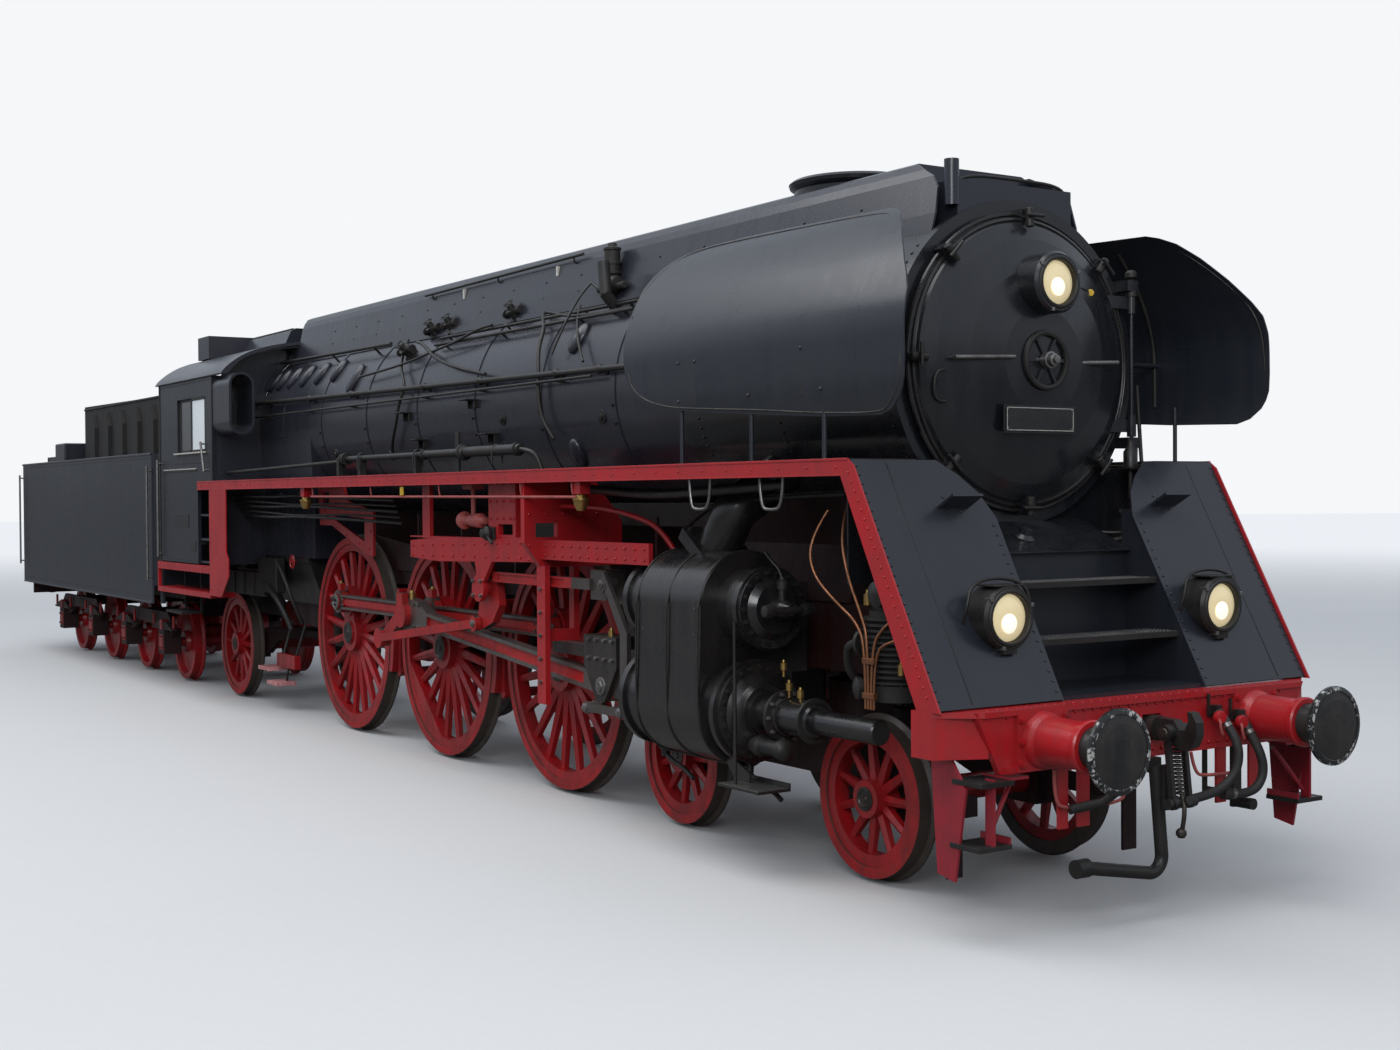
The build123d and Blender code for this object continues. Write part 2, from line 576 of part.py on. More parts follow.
def front_beam():
    """The front buffer beam with its lip, tapered wings and hanging brackets."""
    low, high = 921, 1265
    beam = cross_plate([(-1175, low), (1175, low), (1346, high), (-1346, high)], BEAM_X - 40, BEAM_X)
    lip = floor_plate([
        (BEAM_X + 20, -1300), (BEAM_X + 20, 1300), (BEAM_X - 150, 1525), (BEAM_X - 320, 1525),
        (BEAM_X - 320, -1525), (BEAM_X - 150, -1525),
    ], 1235, 1265)
    wing = floor_plate([
        (BEAM_X - 20, -1240), (BEAM_X - 150, -1525), (BEAM_X - 320, -1525), (BEAM_X - 320, -1500),
        (BEAM_X - 160, -1500), (BEAM_X - 40, -1240),
    ], 1010, 1240)
    beam += lip + wing + flipped(wing)
    beam += block(BEAM_X, BEAM_X + 12, -1150, 1150, low, low + 30)
    for y in (-BUFFER_Y, BUFFER_Y):
        beam += block(BEAM_X, BEAM_X + 22, y - 190, y + 190, BUFFER_Z - 165, BUFFER_Z + 165)
    # place across, width, lowest point
    for y, width, bottom in ((-697, 74, 576), (-538, 90, 574), (604, 84, 590), (896, 84, 628)):
        beam += block(BEAM_X - 24, BEAM_X - 8, y - width / 2, y + width / 2, bottom, low + 4)
    beam -= block(BEAM_X - 60, BEAM_X + 40, -75, 75, BUFFER_Z - 75, BUFFER_Z + 75)
    write("front_beam", beam)


def buffer_sleeve():
    """A front buffer's sleeve and stem collar, pointing to +X from the beam's face."""
    x = BEAM_X + 22
    return turned_x([(x, 0), (x, 158), (x + 30, 150), (x + 60, 136), (x + 360, 128), (x + 360, 0)], 0, BUFFER_Z)


def buffer_head():
    """A buffer's plunger and slightly domed head."""
    x = BEAM_X + 382
    profile = [(x, 0), (x, 112), (NOSE - 70, 104), (NOSE - 52, BUFFER_HEAD_R - 14), (NOSE - 40, BUFFER_HEAD_R),
               (NOSE - 22, BUFFER_HEAD_R), (NOSE - 8, 150), (NOSE, 70), (NOSE, 0)]
    return turned_x(profile, 0, BUFFER_Z)


def buffers():
    """Front buffers, then the tender's at the other end."""
    write("front_buffer_sleeves", [Pos(0, y, 0) * buffer_sleeve() for y in (-BUFFER_Y, BUFFER_Y)])
    write("front_buffer_heads", [Pos(0, y, 0) * buffer_head() for y in (-BUFFER_Y, BUFFER_Y)])
    rear = []
    for y in (-BUFFER_Y, BUFFER_Y):
        both = buffer_sleeve() + block(BEAM_X + 380, BEAM_X + 384, -60, 60, BUFFER_Z - 60, BUFFER_Z + 60) + buffer_head()
        rear.append(mirror(Pos(0, y, 0) * both, about=Plane.YZ))
    write("tender_buffers", rear)


def front_coupling():
    """Draw hook and hanging screw coupling, hose cocks and holders, and the heating pipe."""
    x = BEAM_X
    guide = round_x(0, BUFFER_Z, 72, x - 120, x + 60)
    hook = side_plate([
        (x + 40, BUFFER_Z - 40), (x + 150, BUFFER_Z - 72), (x + 250, BUFFER_Z - 110), (x + 320, BUFFER_Z - 80),
        (x + 352, BUFFER_Z - 10), (x + 350, BUFFER_Z + 60), (x + 318, BUFFER_Z + 112), (x + 286, BUFFER_Z + 118),
        (x + 292, BUFFER_Z + 60), (x + 268, BUFFER_Z + 12), (x + 228, BUFFER_Z + 8), (x + 190, BUFFER_Z + 60),
        (x + 60, BUFFER_Z + 64),
    ], -32, 32)
    top = BUFFER_Z - 10
    knee = (x + 215, top - 395)
    body = guide + hook + round_y(x + 170, top, 46, -92, 92)
    for y in (-66, 66):
        body += link_bar((x + 170, top), knee, 34, y - 14, y + 14)
        body += round_y(*knee, 36, y - 16, y + 16)
    body += round_y(*knee, 30, -112, 112)
    body += bar((knee[0] - 90, 0, knee[1] - 20), (knee[0] + 60, 0, knee[1] + 20), 26)
    body += block(x + 106, x + 130, -38, 38, knee[1] - 55, knee[1] + 205)
    # hose cocks above, dummy holders below: place across and height
    cocks = []
    for face, route in ((x + 0.3, HOSE_ROUTES["brake_hose_1"]), (x + 22.3, HOSE_ROUTES["brake_hose_2"])):
        top_end, away = Vector(*route[0]), (Vector(*route[0]) - Vector(*route[1])).normalized()
        back = top_end + away * 88
        cock = bar(back, top_end, 34)
        cock += block(face, back.X + 20, back.Y - 24, back.Y + 24, back.Z - 30, back.Z + 40)
        cock += block(x + 26, x + 40, back.Y - 62, back.Y - 48, back.Z - 20, back.Z + 110)
        cock += block(x + 26, x + 40, back.Y - 62, back.Y - 30, back.Z - 10, back.Z + 6)
        cocks.append(cock)
    # the heads that the hoses end in
    ends = {node: (Vector(*route[-1]), (Vector(*route[-1]) - Vector(*route[-2])).normalized())
            for node, route in HOSE_ROUTES.items()}
    end, way = ends["brake_hose_1"]
    body += bar(end, end + way * 60, 38) + block(x + 106, x + 136, -20, 60, end.Z - 16, end.Z + 24)
    end, way = ends["brake_hose_2"]
    head = bar(end, end + way * 56, 38)
    head += block(x - 40, x - 8, 470, 482, 650, 920.7) + block(x - 40, x + 120, 470, 482, 650, 700)
    right_cock = block(x + 0.3, x + 80, -374, -306, 1120, 1190)
    right_cock += pipe([(x + 60, -340, 1150), (x + 170, -350, 1000), (x + 175, -400, 820), (x + 110, -520, 720),
                        (x + 40, -700, 690)], HOSE_R, 60)
    # route: down from the beam, across under the coupling, ending in its head
    heating = pipe([(x + 65, -45, 880), (x + 65, 19, 250), (x + 65, -605, 361)], 38, 90)
    heating += block(x - 24, x + 62, -90, 10, 840, 920.7)
    heating += round_y(x + 65, 361, 52, -680, -590)
    holder = bar((x - 24, 749, 581), (x + 110, 749, 581), 34) + block(x - 40, x - 8, 715, 783, 550, 920.7)
    write("front_coupling", body, cocks, head, right_cock, heating, holder)


def front_hoses():
    """The two brake hoses, hanging in loops from their cocks."""
    for node, route in HOSE_ROUTES.items():
        tube, radii, length = hose(route, HOSE_R)
        print(node, "length", round(length), "bend radii", [round(radius) for radius in radii])
        print(node, "volume", round(tube.volume), "section by length", round(math.pi * HOSE_R ** 2 * length))
        write(node, tube)


def hose(route, radius):
    """A flexible hose's tube, each bend as large as its two runs allow, with its bend radii and length."""
    points = [Vector(*point) for point in route]
    edges = []
    radii = []
    start = points[0]
    for before, corner, after in zip(points, points[1:], points[2:]):
        back = (before - corner).normalized()
        forth = (after - corner).normalized()
        reach = 0.45 * min((before - corner).length, (after - corner).length)
        enter, leave = corner + back * reach, corner + forth * reach
        edges.append(Line(start, enter))
        edges.append(TangentArc(enter, leave, tangent=back * -1))
        half_turn = math.acos(-back.dot(forth)) / 2
        radii.append(reach / math.tan(half_turn))
        start = leave
    edges.append(Line(start, points[-1]))
    path = Wire(edges)
    section = Plane(origin=path @ 0, z_dir=path % 0) * Circle(radius)
    return sweep(section, path=path), radii, path.length


def front_steps():
    """Steps below the beam with their hangers, and the steps by the cylinders' fronts."""
    pieces = []
    for sign in (-1, 1):
        hanger = side_plate([(BEAM_X + 25, 921), (BEAM_X + 90, 921), (BEAM_X + 90, 550), (BEAM_X + 25, 550)],
                            sign * 1290, sign * 1306)
        upper = block(BEAM_X - 120, BEAM_X + 110, sign * 1180, sign * 1405, 885, 905)
        upper += block(BEAM_X - 120, BEAM_X + 110, sign * 1180, sign * 1192, 885, 919)
        lower = block(BEAM_X - 140, BEAM_X + 90, sign * 1180, sign * 1405, 540, 560)
        lower += block(BEAM_X - 140, BEAM_X + 90, sign * 1180, sign * 1192, 540, 600)
        rail = side_plate([
            (BEAM_X - 320, 1234.7), (BEAM_X - 130, 1234.7), (BEAM_X - 130, 1000), (BEAM_X - 20, 860),
            (BEAM_X - 110, 350), (BEAM_X - 250, 377),
        ], sign * 1386, sign * 1402)
        brace = bar((BEAM_X + 40, sign * 1298, 600), (BEAM_X - 20, sign * 1080, 880), 14)
        tie = block(BEAM_X - 40, BEAM_X + 100, sign * 1060, sign * 1190, 905, 920.7)
        pieces.append(hanger + upper + lower + rail + brace + tie)
    write("front_steps", pieces)


# Boiler and smokebox

DOOR_HINGE_X = 10560.0
DOOR_HINGE_Y = 935.0
DOOR_LUG_LOW = BOILER_Z - 525
DOOR_LUG_HIGH = BOILER_Z + 495
CAB_VISOR = -731.0        # front edge of the cab's roof
CLAMP_END = 952.0         # a clamp's outer end, from the door's centre
CLAMP_ANGLES = (45, 90, 135, 180, 225, 270, 315)


def blister(x, side, angle, length, width, height):
    """A long rounded washout cover on the barrel, its upper end leaning forward."""
    turn, lean = math.radians(angle), math.radians(18)
    foot = BOILER_R - 14
    origin = (x, side * foot * math.cos(turn), BOILER_Z + foot * math.sin(turn))
    up = (math.sin(lean), -side * math.sin(turn) * math.cos(lean), math.cos(turn) * math.cos(lean))
    place = Plane(origin=origin, x_dir=up, z_dir=(0, side * math.cos(turn), math.sin(turn)))
    return extrude(place * SlotOverall(length, width), amount=height + 14, taper=32)


def boiler():
    """Barrel and firebox cladding with its bands, solid, and the backhead in the cab."""
    rear, front = -1061.0, 8090.0
    barrel = round_x(0, BOILER_Z, BOILER_R, rear, front)
    firebox = cross_plate([
        (-955, 3240), (-930, 2700), (-900, 2500), (-900, 1780), (900, 1780), (900, 2500), (930, 2700), (955, 3240),
    ], rear, 560)
    backhead = cross_plate([
        (-760, 1900), (760, 1900), (820, 3250), (580, 3830), (0, 4070), (-580, 3830), (-820, 3250),
    ], rear - 260, rear)
    body = barrel + firebox + backhead
    for x in (-300, 900, 2150, 3400, 4650, 5900, 7100):
        body += round_x(0, BOILER_Z, BOILER_R + 8, x - 35, x + 35)
    # place along, angle above the middle, length, width
    covers = [
        (-960, 34, 250, 118), (-660, 34, 250, 118), (-290, 34, 250, 118), (110, 34, 250, 118), (553, 34, 250, 118),
        (1045, 34, 250, 118), (1690, 25, 310, 150), (6390, 27.8, 240, 140), (6334, -29.5, 240, 140),
    ]
    for x, angle, length, width in covers:
        for side in (-1, 1):
            body += blister(x, side, angle, length, width, 42)
    write("boiler", body)


def smokebox():
    """A hollow drum with a heavy front ring, open where the door closes it."""
    rear, front = 8090.3, 10480.0
    shell = round_x(0, BOILER_Z, SMOKEBOX_R, rear, front)
    shell -= round_x(0, BOILER_Z, SMOKEBOX_R - 40, rear + 60, front - 40)
    shell -= round_x(0, BOILER_Z, 860, front - 60, front + 10)
    ring = round_x(0, BOILER_Z, SMOKEBOX_R + 14, front - 60, front) - round_x(0, BOILER_Z, 900, front - 80, front + 20)
    shell += ring
    for z in (DOOR_LUG_LOW, DOOR_LUG_HIGH):
        shell += block(front - 20, DOOR_HINGE_X + 30, DOOR_HINGE_Y - 65, DOOR_HINGE_Y + 35, z, z + 70)
    shell += round_z(DOOR_HINGE_X, DOOR_HINGE_Y, 14, DOOR_LUG_LOW, DOOR_LUG_HIGH + 70)
    write("smokebox", shell)


def smokebox_door():
    """Dished door with its rim, handwheel, hinge straps, clamps, plate and the top lamp."""
    seat = 10481.0
    profile = [
        (seat, 0), (seat, 905), (seat + 34, 905), (seat + 44, 880), (seat + 70, 860), (seat + 120, 760),
        (seat + 190, 560), (seat + 236, 320), (seat + 250, 0),
    ]
    door = turned_x(profile, 0, BOILER_Z)
    wheel = turned_x([(10720, 158), (10720, 182), (10745, 182), (10745, 158)], 0, BOILER_Z)
    for i in range(3):
        wheel += Pos(0, 0, BOILER_Z) * Rot(60 * i, 0, 0) * Box(14, 334, 20).moved(Location((10733, 0, 0)))
    wheel += round_x(0, BOILER_Z, 42, 10690, 10790)
    door += wheel
    for z in (BOILER_Z - 380, BOILER_Z + 420):
        strap = block(seat + 44, seat + 74, 300, DOOR_HINGE_Y, z - 40, z + 40)
        strap += block(seat + 34, seat + 74, 600, 820, z - 40, z + 40)
        strap += round_z(DOOR_HINGE_X, DOOR_HINGE_Y, 30, z - 70, z + 70)
        door += strap - round_z(DOOR_HINGE_X, DOOR_HINGE_Y, 14 + RUNNING_GAP, z - 80, z + 80)
    # the clamps round the rim, as angles from the left towards the top
    for angle in CLAMP_ANGLES:
        clamp = block(seat + 30, seat + 76, 845, CLAMP_END, -26, 26)
        clamp += block(seat + 6, seat + 40, 915, CLAMP_END, -26, 26)
        clamp += round_x(900, 0, 20, seat + 70, seat + 110)
        door += Pos(0, 0, BOILER_Z) * Rot(angle, 0, 0) * clamp
    door += block(seat + 240, seat + 252, -350, 250, BOILER_Z - 448, BOILER_Z - 278)
    for y in (-230, 130):
        door += block(seat + 90, seat + 242, y - 24, y + 24, BOILER_Z - 410, BOILER_Z - 330)
    lamp = turned_x([
        (10600, 0), (10600, 150), (10640, 186), (10830, 190), (10850, 175), (10850, 150), (10815, 140), (10815, 0),
    ], 0, BOILER_Z + 469)
    door += lamp
    write("smokebox_door", door)


def chimney():
    """A short wide chimney with a rolled rim, rising from the casing."""
    profile = [
        (350, 4100), (350, 4605), (366, 4628), (440, 4632), (466, 4612), (458, 4588), (425, 4562), (425, 4100),
    ]
    face = make_face(Plane.XZ * Polyline(*profile, close=True))
    tube = Pos(CHIMNEY_X, 0, 0) * revolve(face, Axis.Z)
    write("chimney", tube - round_x(0, BOILER_Z, SMOKEBOX_R + 0.3, 8200, 9500))


def top_casing():
    """The long casing over domes and pipes, its front open between two side sheets."""
    half = [(650, 3900), (602, 4151), (548, 4393), (525, 4450), (490, 4500), (440, 4521)]
    outline = half + [(-y, z) for y, z in reversed(half)]
    hollow = [(y - 14, z) for y, z in half[:-1]] + [(440, 4600)]
    hollow = hollow + [(-y, z) for y, z in reversed(hollow)]
    casing = cross_plate(outline, -990, 10420)
    casing &= side_plate([
        (-990, 3890), (-990, 4530), (10062, 4526), (10324, 4393), (10384, 4314), (10403, 4151), (10380, 3890),
    ], -700, 700)
    casing -= cross_plate(hollow, 10062, 10500)
    casing += block(10050, 10470, -480, 480, 3990, 4362)
    casing += round_z(10440, -500, 46, 4200, 4480)
    casing -= block(-1000, CAB_VISOR + 0.3, -700, 700, 4180, 4600)
    casing -= round_x(0, BOILER_Z, BOILER_R + 8.5, -1100, 8090.3)
    casing -= round_x(0, BOILER_Z, SMOKEBOX_R + 0.3, 8090, 10500) + round_x(0, BOILER_Z, SMOKEBOX_R + 14.3, 10419, 10500)
    casing -= round_z(CHIMNEY_X, 0, 425.3, 4100, 4700)
    write("top_casing", casing)


# Half of the curve across a smoke deflector, as distance across and height, and its outline from the side
DEFLECTOR_SECTION = [
    (1476, 2860), (1498, 2950), (1512, 3080), (1514, 3240), (1512, 3400), (1502, 3470), (1476, 3556), (1428, 3666),
    (1388, 3743), (1294, 3891), (1196, 4014), (1148, 4063), (1090, 4110), (1010, 4170),
]
DEFLECTOR_OUTLINE = [
    (8211, 3300), (8150, 3680), (8128, 3880), (8150, 3960), (8190, 4010), (8250, 4060), (8340, 4105), (8540, 4142),
    (9070, 4152), (10560, 4115), (10640, 4095), (10740, 4050), (10860, 3950), (11000, 3800), (11120, 3650),
    (11175, 3560), (11190, 3450), (11195, 3200), (11190, 3080), (11170, 3020), (11140, 2970), (11060, 2905),
    (10960, 2875), (10400, 2890), (9839, 2924), (9290, 2960), (8805, 2998), (8560, 3040), (8390, 3098),
    (8280, 3170), (8225, 3260),
]


def smoke_deflectors():
    """Sheets beside the smokebox, leaning in towards the top, on stays."""
    sheet = curved_sheet(DEFLECTOR_SECTION, 9, 8100, 11220)
    sheet &= side_plate(DEFLECTOR_OUTLINE, 900, 1530)
    for x in (8900, 9700, 10440):
        sheet += bar((x, 1484, FOOTPLATE_Z), (x, 1484, 3010), 14)
    for x in (9100, 10250):
        sheet += bar((x, 1508, 3300), (x, 1002, 3300), 20)
    write("smoke_deflectors", pair(sheet))


def firebox():
    """Ashpan below the firebox, between the frames and over them."""
    top = block(-1020, 300, -890, 890, 1725, 1779.7)
    middle = cross_plate([(-494, 1725), (494, 1725), (494, 1150), (420, 760), (-420, 760), (-494, 1150)], -540, 300)
    pan = top + middle
    for sign in (-1, 1):
        pan += cross_plate([(sign * 606, 1725), (sign * 870, 1725), (sign * 700, 1250), (sign * 606, 1250)], -1020, 300)
    write("ashpan", pan)


# Footplates and front end

def running_boards():
    """Running boards along both sides, with the boards beside the smokebox."""
    boards = []
    for sign in (-1, 1):
        board = floor_plate([
            (-1055, sign * 1512), (10700, sign * 1512), (10700, sign * 1010), (8000, sign * 1010),
            (8000, sign * 985), (-1055, sign * 985),
        ], FOOTPLATE_Z - 20, FOOTPLATE_Z)
        boards.append(board)
    write("running_boards", boards)


def valances():
    """Red edge strips: along the boards, down the apron's slope, and the plates by the cab's entrance."""
    low = FOOTPLATE_Z - 100
    strips = []
    for sign in (-1, 1):
        y0, y1 = sign * 1525, sign * 1512.5
        strip = side_plate([
            (-1641, FOOTPLATE_Z), (10700, FOOTPLATE_Z), (10760, FOOTPLATE_Z - 45),
            (11490, 1265.3), (11300, 1265.3), (10640, low), (-1641, low),
        ], y0, y1)
        strip += block(-1050, 10640, sign * 1490, sign * 1525, low, low + 10)
        post = side_plate([
            (-1185, low + 5), (-580, low + 5), (-580, 1830), (-500, 1750), (-500, 1560), (-760, 1325), (-1185, 1325),
        ], y0, y1)
        beam = block(-3340, -1185, sign * 1480, sign * 1520, 1573, 1662)
        beam += block(-3340, -3310, sign * 1480, sign * 1520, 1320, 1600)
        board = block(-3340, -1185, sign * 1230, sign * 1520, 1290, 1350)
        strips.append(strip + post + beam + board)
    write("valances", strips)


def front_apron():
    """The sloping front: side plates, inner cheeks, two treads, foot brackets and the deck."""
    top_x, top_z = 10713.0, FOOTPLATE_Z
    low_x, low_z = 11470.0, 1265.3
    slope = math.atan2(top_z - low_z, low_x - top_x)
    long = math.hypot(top_z - low_z, low_x - top_x)
    down, out = (math.cos(slope), 0, -math.sin(slope)), (math.sin(slope), 0, math.cos(slope))
    place = Plane(origin=(top_x, 0, top_z), x_dir=down, z_dir=out)
    body = block(10800, 11440, -580, 580, 1266, 1290) + block(10800, 10830, -590, 590, 1290, 2100)
    for x, z in ((11078, 1911), (11248, 1592)):
        body += block(x - 260, x + 12, -590, 590, z - 30, z)
    for sign in (-1, 1):
        # outline on the slope: distance down it and distance across
        corners = [(8, 876), (8, 1510), (long - 12, 1510), (long - 12, 590), (400, 572), (230, 640), (110, 745)]
        outline = [(reach, sign * across) for reach, across in corners]
        body += extrude(place * make_face(Polyline(*outline, close=True)), amount=-12)
        body += side_plate([(10800, 2330), (10880, 2330), (11464, 1268), (10800, 1268)], sign * 598, sign * 584)
        foot = Box(16, 230, 150, align=(Align.CENTER, Align.CENTER, Align.MIN))
        body += place * (Pos(325, sign * 880, 0) * foot)
    write("front_apron", body)


def front_lamps():
    """Two lower lamps on brackets from the apron."""
    lamps = []
    low_z = 1265.3
    behind = side_plate([(10600, FOOTPLATE_Z + 4), (10717, FOOTPLATE_Z + 4), (11472, low_z), (10600, low_z)], -1500, 1500)
    for y in (-880, 880):
        lamp = turned_x([
            (11130, 0), (11130, 150), (11170, 182), (11330, 186), (11350, 172), (11350, 148), (11318, 138), (11318, 0),
        ], y, 1740)
        lamp += block(11230, 11345, y - 50, y + 50, 1538, 1572)
        lamps.append(lamp - behind)
    write("front_lamps", lamps)


def cylinders():
    """Clad cylinder and valve chest blocks, with their end rings, steam seats and hanging steps."""
    blocks = []
    for sign in (-1, 1):
        y, chest_y = sign * CYLINDER_Y, sign * (CYLINDER_Y - 15)
        body = round_x(chest_y, VALVE_Z, CLADDING_R, 8328, 9136) + round_x(y, CYLINDER_Z, CLADDING_R, 8328, 9136)
        body += cross_plate([
            (sign * 773, VALVE_Z), (sign * 1497, VALVE_Z), (sign * 1512, CYLINDER_Z), (sign * 788, CYLINDER_Z),
        ], 8328, 9136)
        body += block(8340, 9124, sign * 640, sign * 1000, 1250, 1850)
        body += round_x(chest_y, VALVE_Z, 250, CHEST_REAR, 9399) + round_x(chest_y, VALVE_Z, 272, CHEST_REAR, 8040)
        body += round_x(chest_y, VALVE_Z, 272, 9360, 9399)
        body += round_x(y, CYLINDER_Z, 345, CYLINDER_REAR, 8120) + round_x(y, CYLINDER_Z, 320, 8100, 9253)
        body += round_x(y, CYLINDER_Z, 340, 9205, 9253)
        flange, way = Vector(*STEAM_FLANGE), Vector(*STEAM_WAY)
        low_end, high_end = flange - way * 230, flange - way * (STEAM_FLANGE_HALF + 0.3)
        seat_y = -sign * STEAM_FLANGE[1]
        body += bar((low_end.X, seat_y, low_end.Z), (high_end.X, seat_y, high_end.Z), 168)
        step = block(9245, 9700, sign * 1200, sign * 1450, 570, 586)
        step += block(9245, 9700, sign * 1200, sign * 1212, 570, 620)
        step += side_plate([(9080, 760), (9135, 760), (9395, 650), (9395, 580), (9240, 580)], sign * 1290, sign * 1306)
        step += bar((9371, sign * 1398, 580), (9371, sign * 1398, 1630), 12)
        blocks.append((body + step) - block(7900, 8420, 0, sign * 900, 400, 1120))
    write("cylinders", blocks)


def cylinder_covers():
    """Front covers with bolted rims, valve covers and the piston's tail rod tube."""
    covers = []
    for sign in (-1, 1):
        cover = turned_x([
            (9253.3, 0), (9253.3, 315), (9288, 315), (9296, 262), (9330, 205), (9372, 178), (9372, 150), (9398, 150),
            (9402, 112), (9900, 112), (9921, 98), (9921, 76), (10528, 76), (10536, 66), (10536, 0),
        ], sign * CYLINDER_Y, CYLINDER_Z)
        nose = turned_x([
            (9399.3, 0), (9399.3, 258), (9428, 258), (9434, 205), (9470, 160), (9480, 70), (9560, 62), (9640, 40),
            (9660, 0),
        ], sign * (CYLINDER_Y - 15), VALVE_Z)
        nose += round_z(9530, sign * (CYLINDER_Y - 15), 26, VALVE_Z, VALVE_Z + 130)
        covers += [cover, nose]
    write("cylinder_covers", covers)


def steam_pipes():
    """Main steam pipes from the smokebox sides down to the flanges on the valve chests."""
    route = [STEAM_FLANGE, (8859, -1040, 2335), (9040, -620, 2690)]
    body = pipe(route, 152, 170)
    flange = Plane(origin=STEAM_FLANGE, x_dir=(0, 1, 0), z_dir=STEAM_WAY)
    body += flange * Box(400, 400, 2 * STEAM_FLANGE_HALF)
    body -= round_x(0, BOILER_Z, SMOKEBOX_R + 0.3, 8000, 9500)
    body -= round_x(15 - CYLINDER_Y, VALVE_Z, CLADDING_R + 0.3, 8300, 9160)
    write("steam_pipes", pair(body))


# Cab

CAB_FRONT = -1061.0
CAB_REAR = -3222.0
CAB_EAVE = 3850.0
CAB_HALF = 1512.0
WALL = 40.0
ROOF_THICK = 36.0


def cab_sides():
    """Side sheets with their windows cut, their sills and the handrails' feet."""
    sheets = []
    for sign in (-1, 1):
        y0, y1 = sign * CAB_HALF, sign * (CAB_HALF - WALL)
        sheet = side_plate([
            (CAB_FRONT, CAB_EAVE), (CAB_FRONT, FOOTPLATE_Z - 99), (-1653, FOOTPLATE_Z - 99), (-1653, 1676),
            (CAB_REAR, 1676), (CAB_REAR, CAB_EAVE),
        ], y0, y1)
        sheet -= block(-2451, -1330, sign * 1400, sign * 1600, 2983, 3628)
        sheet += block(-2470, -1310, sign * 1430, sign * 1519, 2950, 2983)
        sheets.append(sheet)
    write("cab_sides", sheets)


def roof_section(inset):
    """The roof's outer curve as rows of distance across and height, drawn in by an inset."""
    rows = [(1516, 3850), (1488, 3893), (1420, 3960), (1270, 4065), (1100, 4140), (850, 4205), (450, 4265)]
    half = [(y - inset * (1.25 if z < 4000 else 0.4), z - (inset if z > 3850 else 0)) for y, z in rows]
    return half + [(0, 4285 - inset)] + [(-y, z) for y, z in reversed(half)]


def roof_sheet(x0, x1, inner_inset):
    """The roof's bent sheet between two places along, from its outer curve to an inset."""
    outer = Spline(*[(x0, y, z) for y, z in roof_section(0)])
    inner = Spline(*[(x0, y, z) for y, z in roof_section(inner_inset)])
    ends = [Line(outer @ 0, inner @ 0), Line(outer @ 1, inner @ 1)]
    return extrude(make_face([outer, ends[1], inner, ends[0]]), amount=x1 - x0, dir=(1, 0, 0))


def cab_front():
    """Front sheet round the firebox, with front windows, oval weather hoods and the entrance ladders."""
    y1 = CAB_HALF - WALL - 0.3
    x0 = CAB_FRONT - WALL
    curve = Spline(*[(x0, y, z) for y, z in roof_section(ROOF_THICK + 14)])
    dome = extrude(make_face([curve, Line(curve @ 1, curve @ 0)]), amount=WALL, dir=(1, 0, 0))
    front = block(x0, CAB_FRONT, -y1 + 2, y1 - 2, 1676, CAB_EAVE)
    front += dome & block(x0 - 10, CAB_FRONT + 10, -y1, y1, CAB_EAVE - 1, 4300)
    front -= round_x(0, BOILER_Z, BOILER_R + 1, -1300, -900)
    front -= block(-1300, -900, -901, 901, 1600, 3250)
    front -= roof_sheet(x0 - 10, CAB_FRONT + 10, ROOF_THICK + 0.5)
    hood_place = Plane(origin=(CAB_FRONT, 1365, 3505), x_dir=(0, 0, 1), z_dir=(1, 0, 0))
    opening = extrude(hood_place * SlotOverall(646, 236), amount=620)
    hood = extrude(hood_place * SlotOverall(700, 290), amount=600) - opening
    for shape in pair(hood):
        front += shape
    for sign in (-1, 1):
        front -= block(-1300, CAB_FRONT + 1, sign * 1250, sign * 1440, 3260, 3750)
        front += block(-1640, x0, sign * 1290, sign * 1302, 1676, FOOTPLATE_Z - 30)
        for z in (1700, 1965, 2248):
            front += block(-1640, -1200, sign * 1300, sign * 1490, z - 12, z + 12)
    write("cab_front", front)


def cab_roof():
    """Rounded roof reaching forward as a visor, with its ventilators."""
    roof = roof_sheet(-3400, CAB_VISOR, ROOF_THICK)
    long_box = cross_plate([
        (-640, 4225), (-560, 4400), (-520, 4425), (520, 4425), (560, 4400), (640, 4225),
    ], -2640, CAB_FRONT - WALL - 4)
    cross_box = block(-3080, -2640, -1060, 1060, 4170, 4450)
    write("cab_roof", roof + long_box + cross_box)


def cab_floor():
    """Floor, the steps behind each side sheet, and the fall plate's edge."""
    floor = block(CAB_REAR, -1660, -1471, 1471, 1900, 1940) + block(-1662, CAB_FRONT - 262, -1285, 1285, 1900, 1940)
    for sign in (-1, 1):
        floor += block(-3200, -2520, sign * 1200, sign * 1462, 1030, 1060)
        for x in (-3190, -2540):
            floor += block(x - 12, x + 12, sign * 1200, sign * 1226, 1030, 1900)
    floor += block(CAB_REAR, -2980, -500, 500, 1560.3, 1900)
    write("cab_floor", floor)


# Fittings

def round_the_barrel(reach, steps):
    """A pipe's centre line that hugs the barrel, from rows of place along and angle above its middle."""
    points = []
    for (x0, a0), (x1, a1) in zip(steps, steps[1:]):
        parts = max(2, int(abs(a1 - a0) / 9))
        for i in range(parts):
            share = i / parts
            points.append((x0 + (x1 - x0) * share, a0 + (a1 - a0) * share))
    points.append(steps[-1])
    route = []
    for x, angle in points:
        turn = math.radians(angle)
        route.append((x, -reach * math.cos(turn), BOILER_Z + reach * math.sin(turn)))
    return Spline(*route)


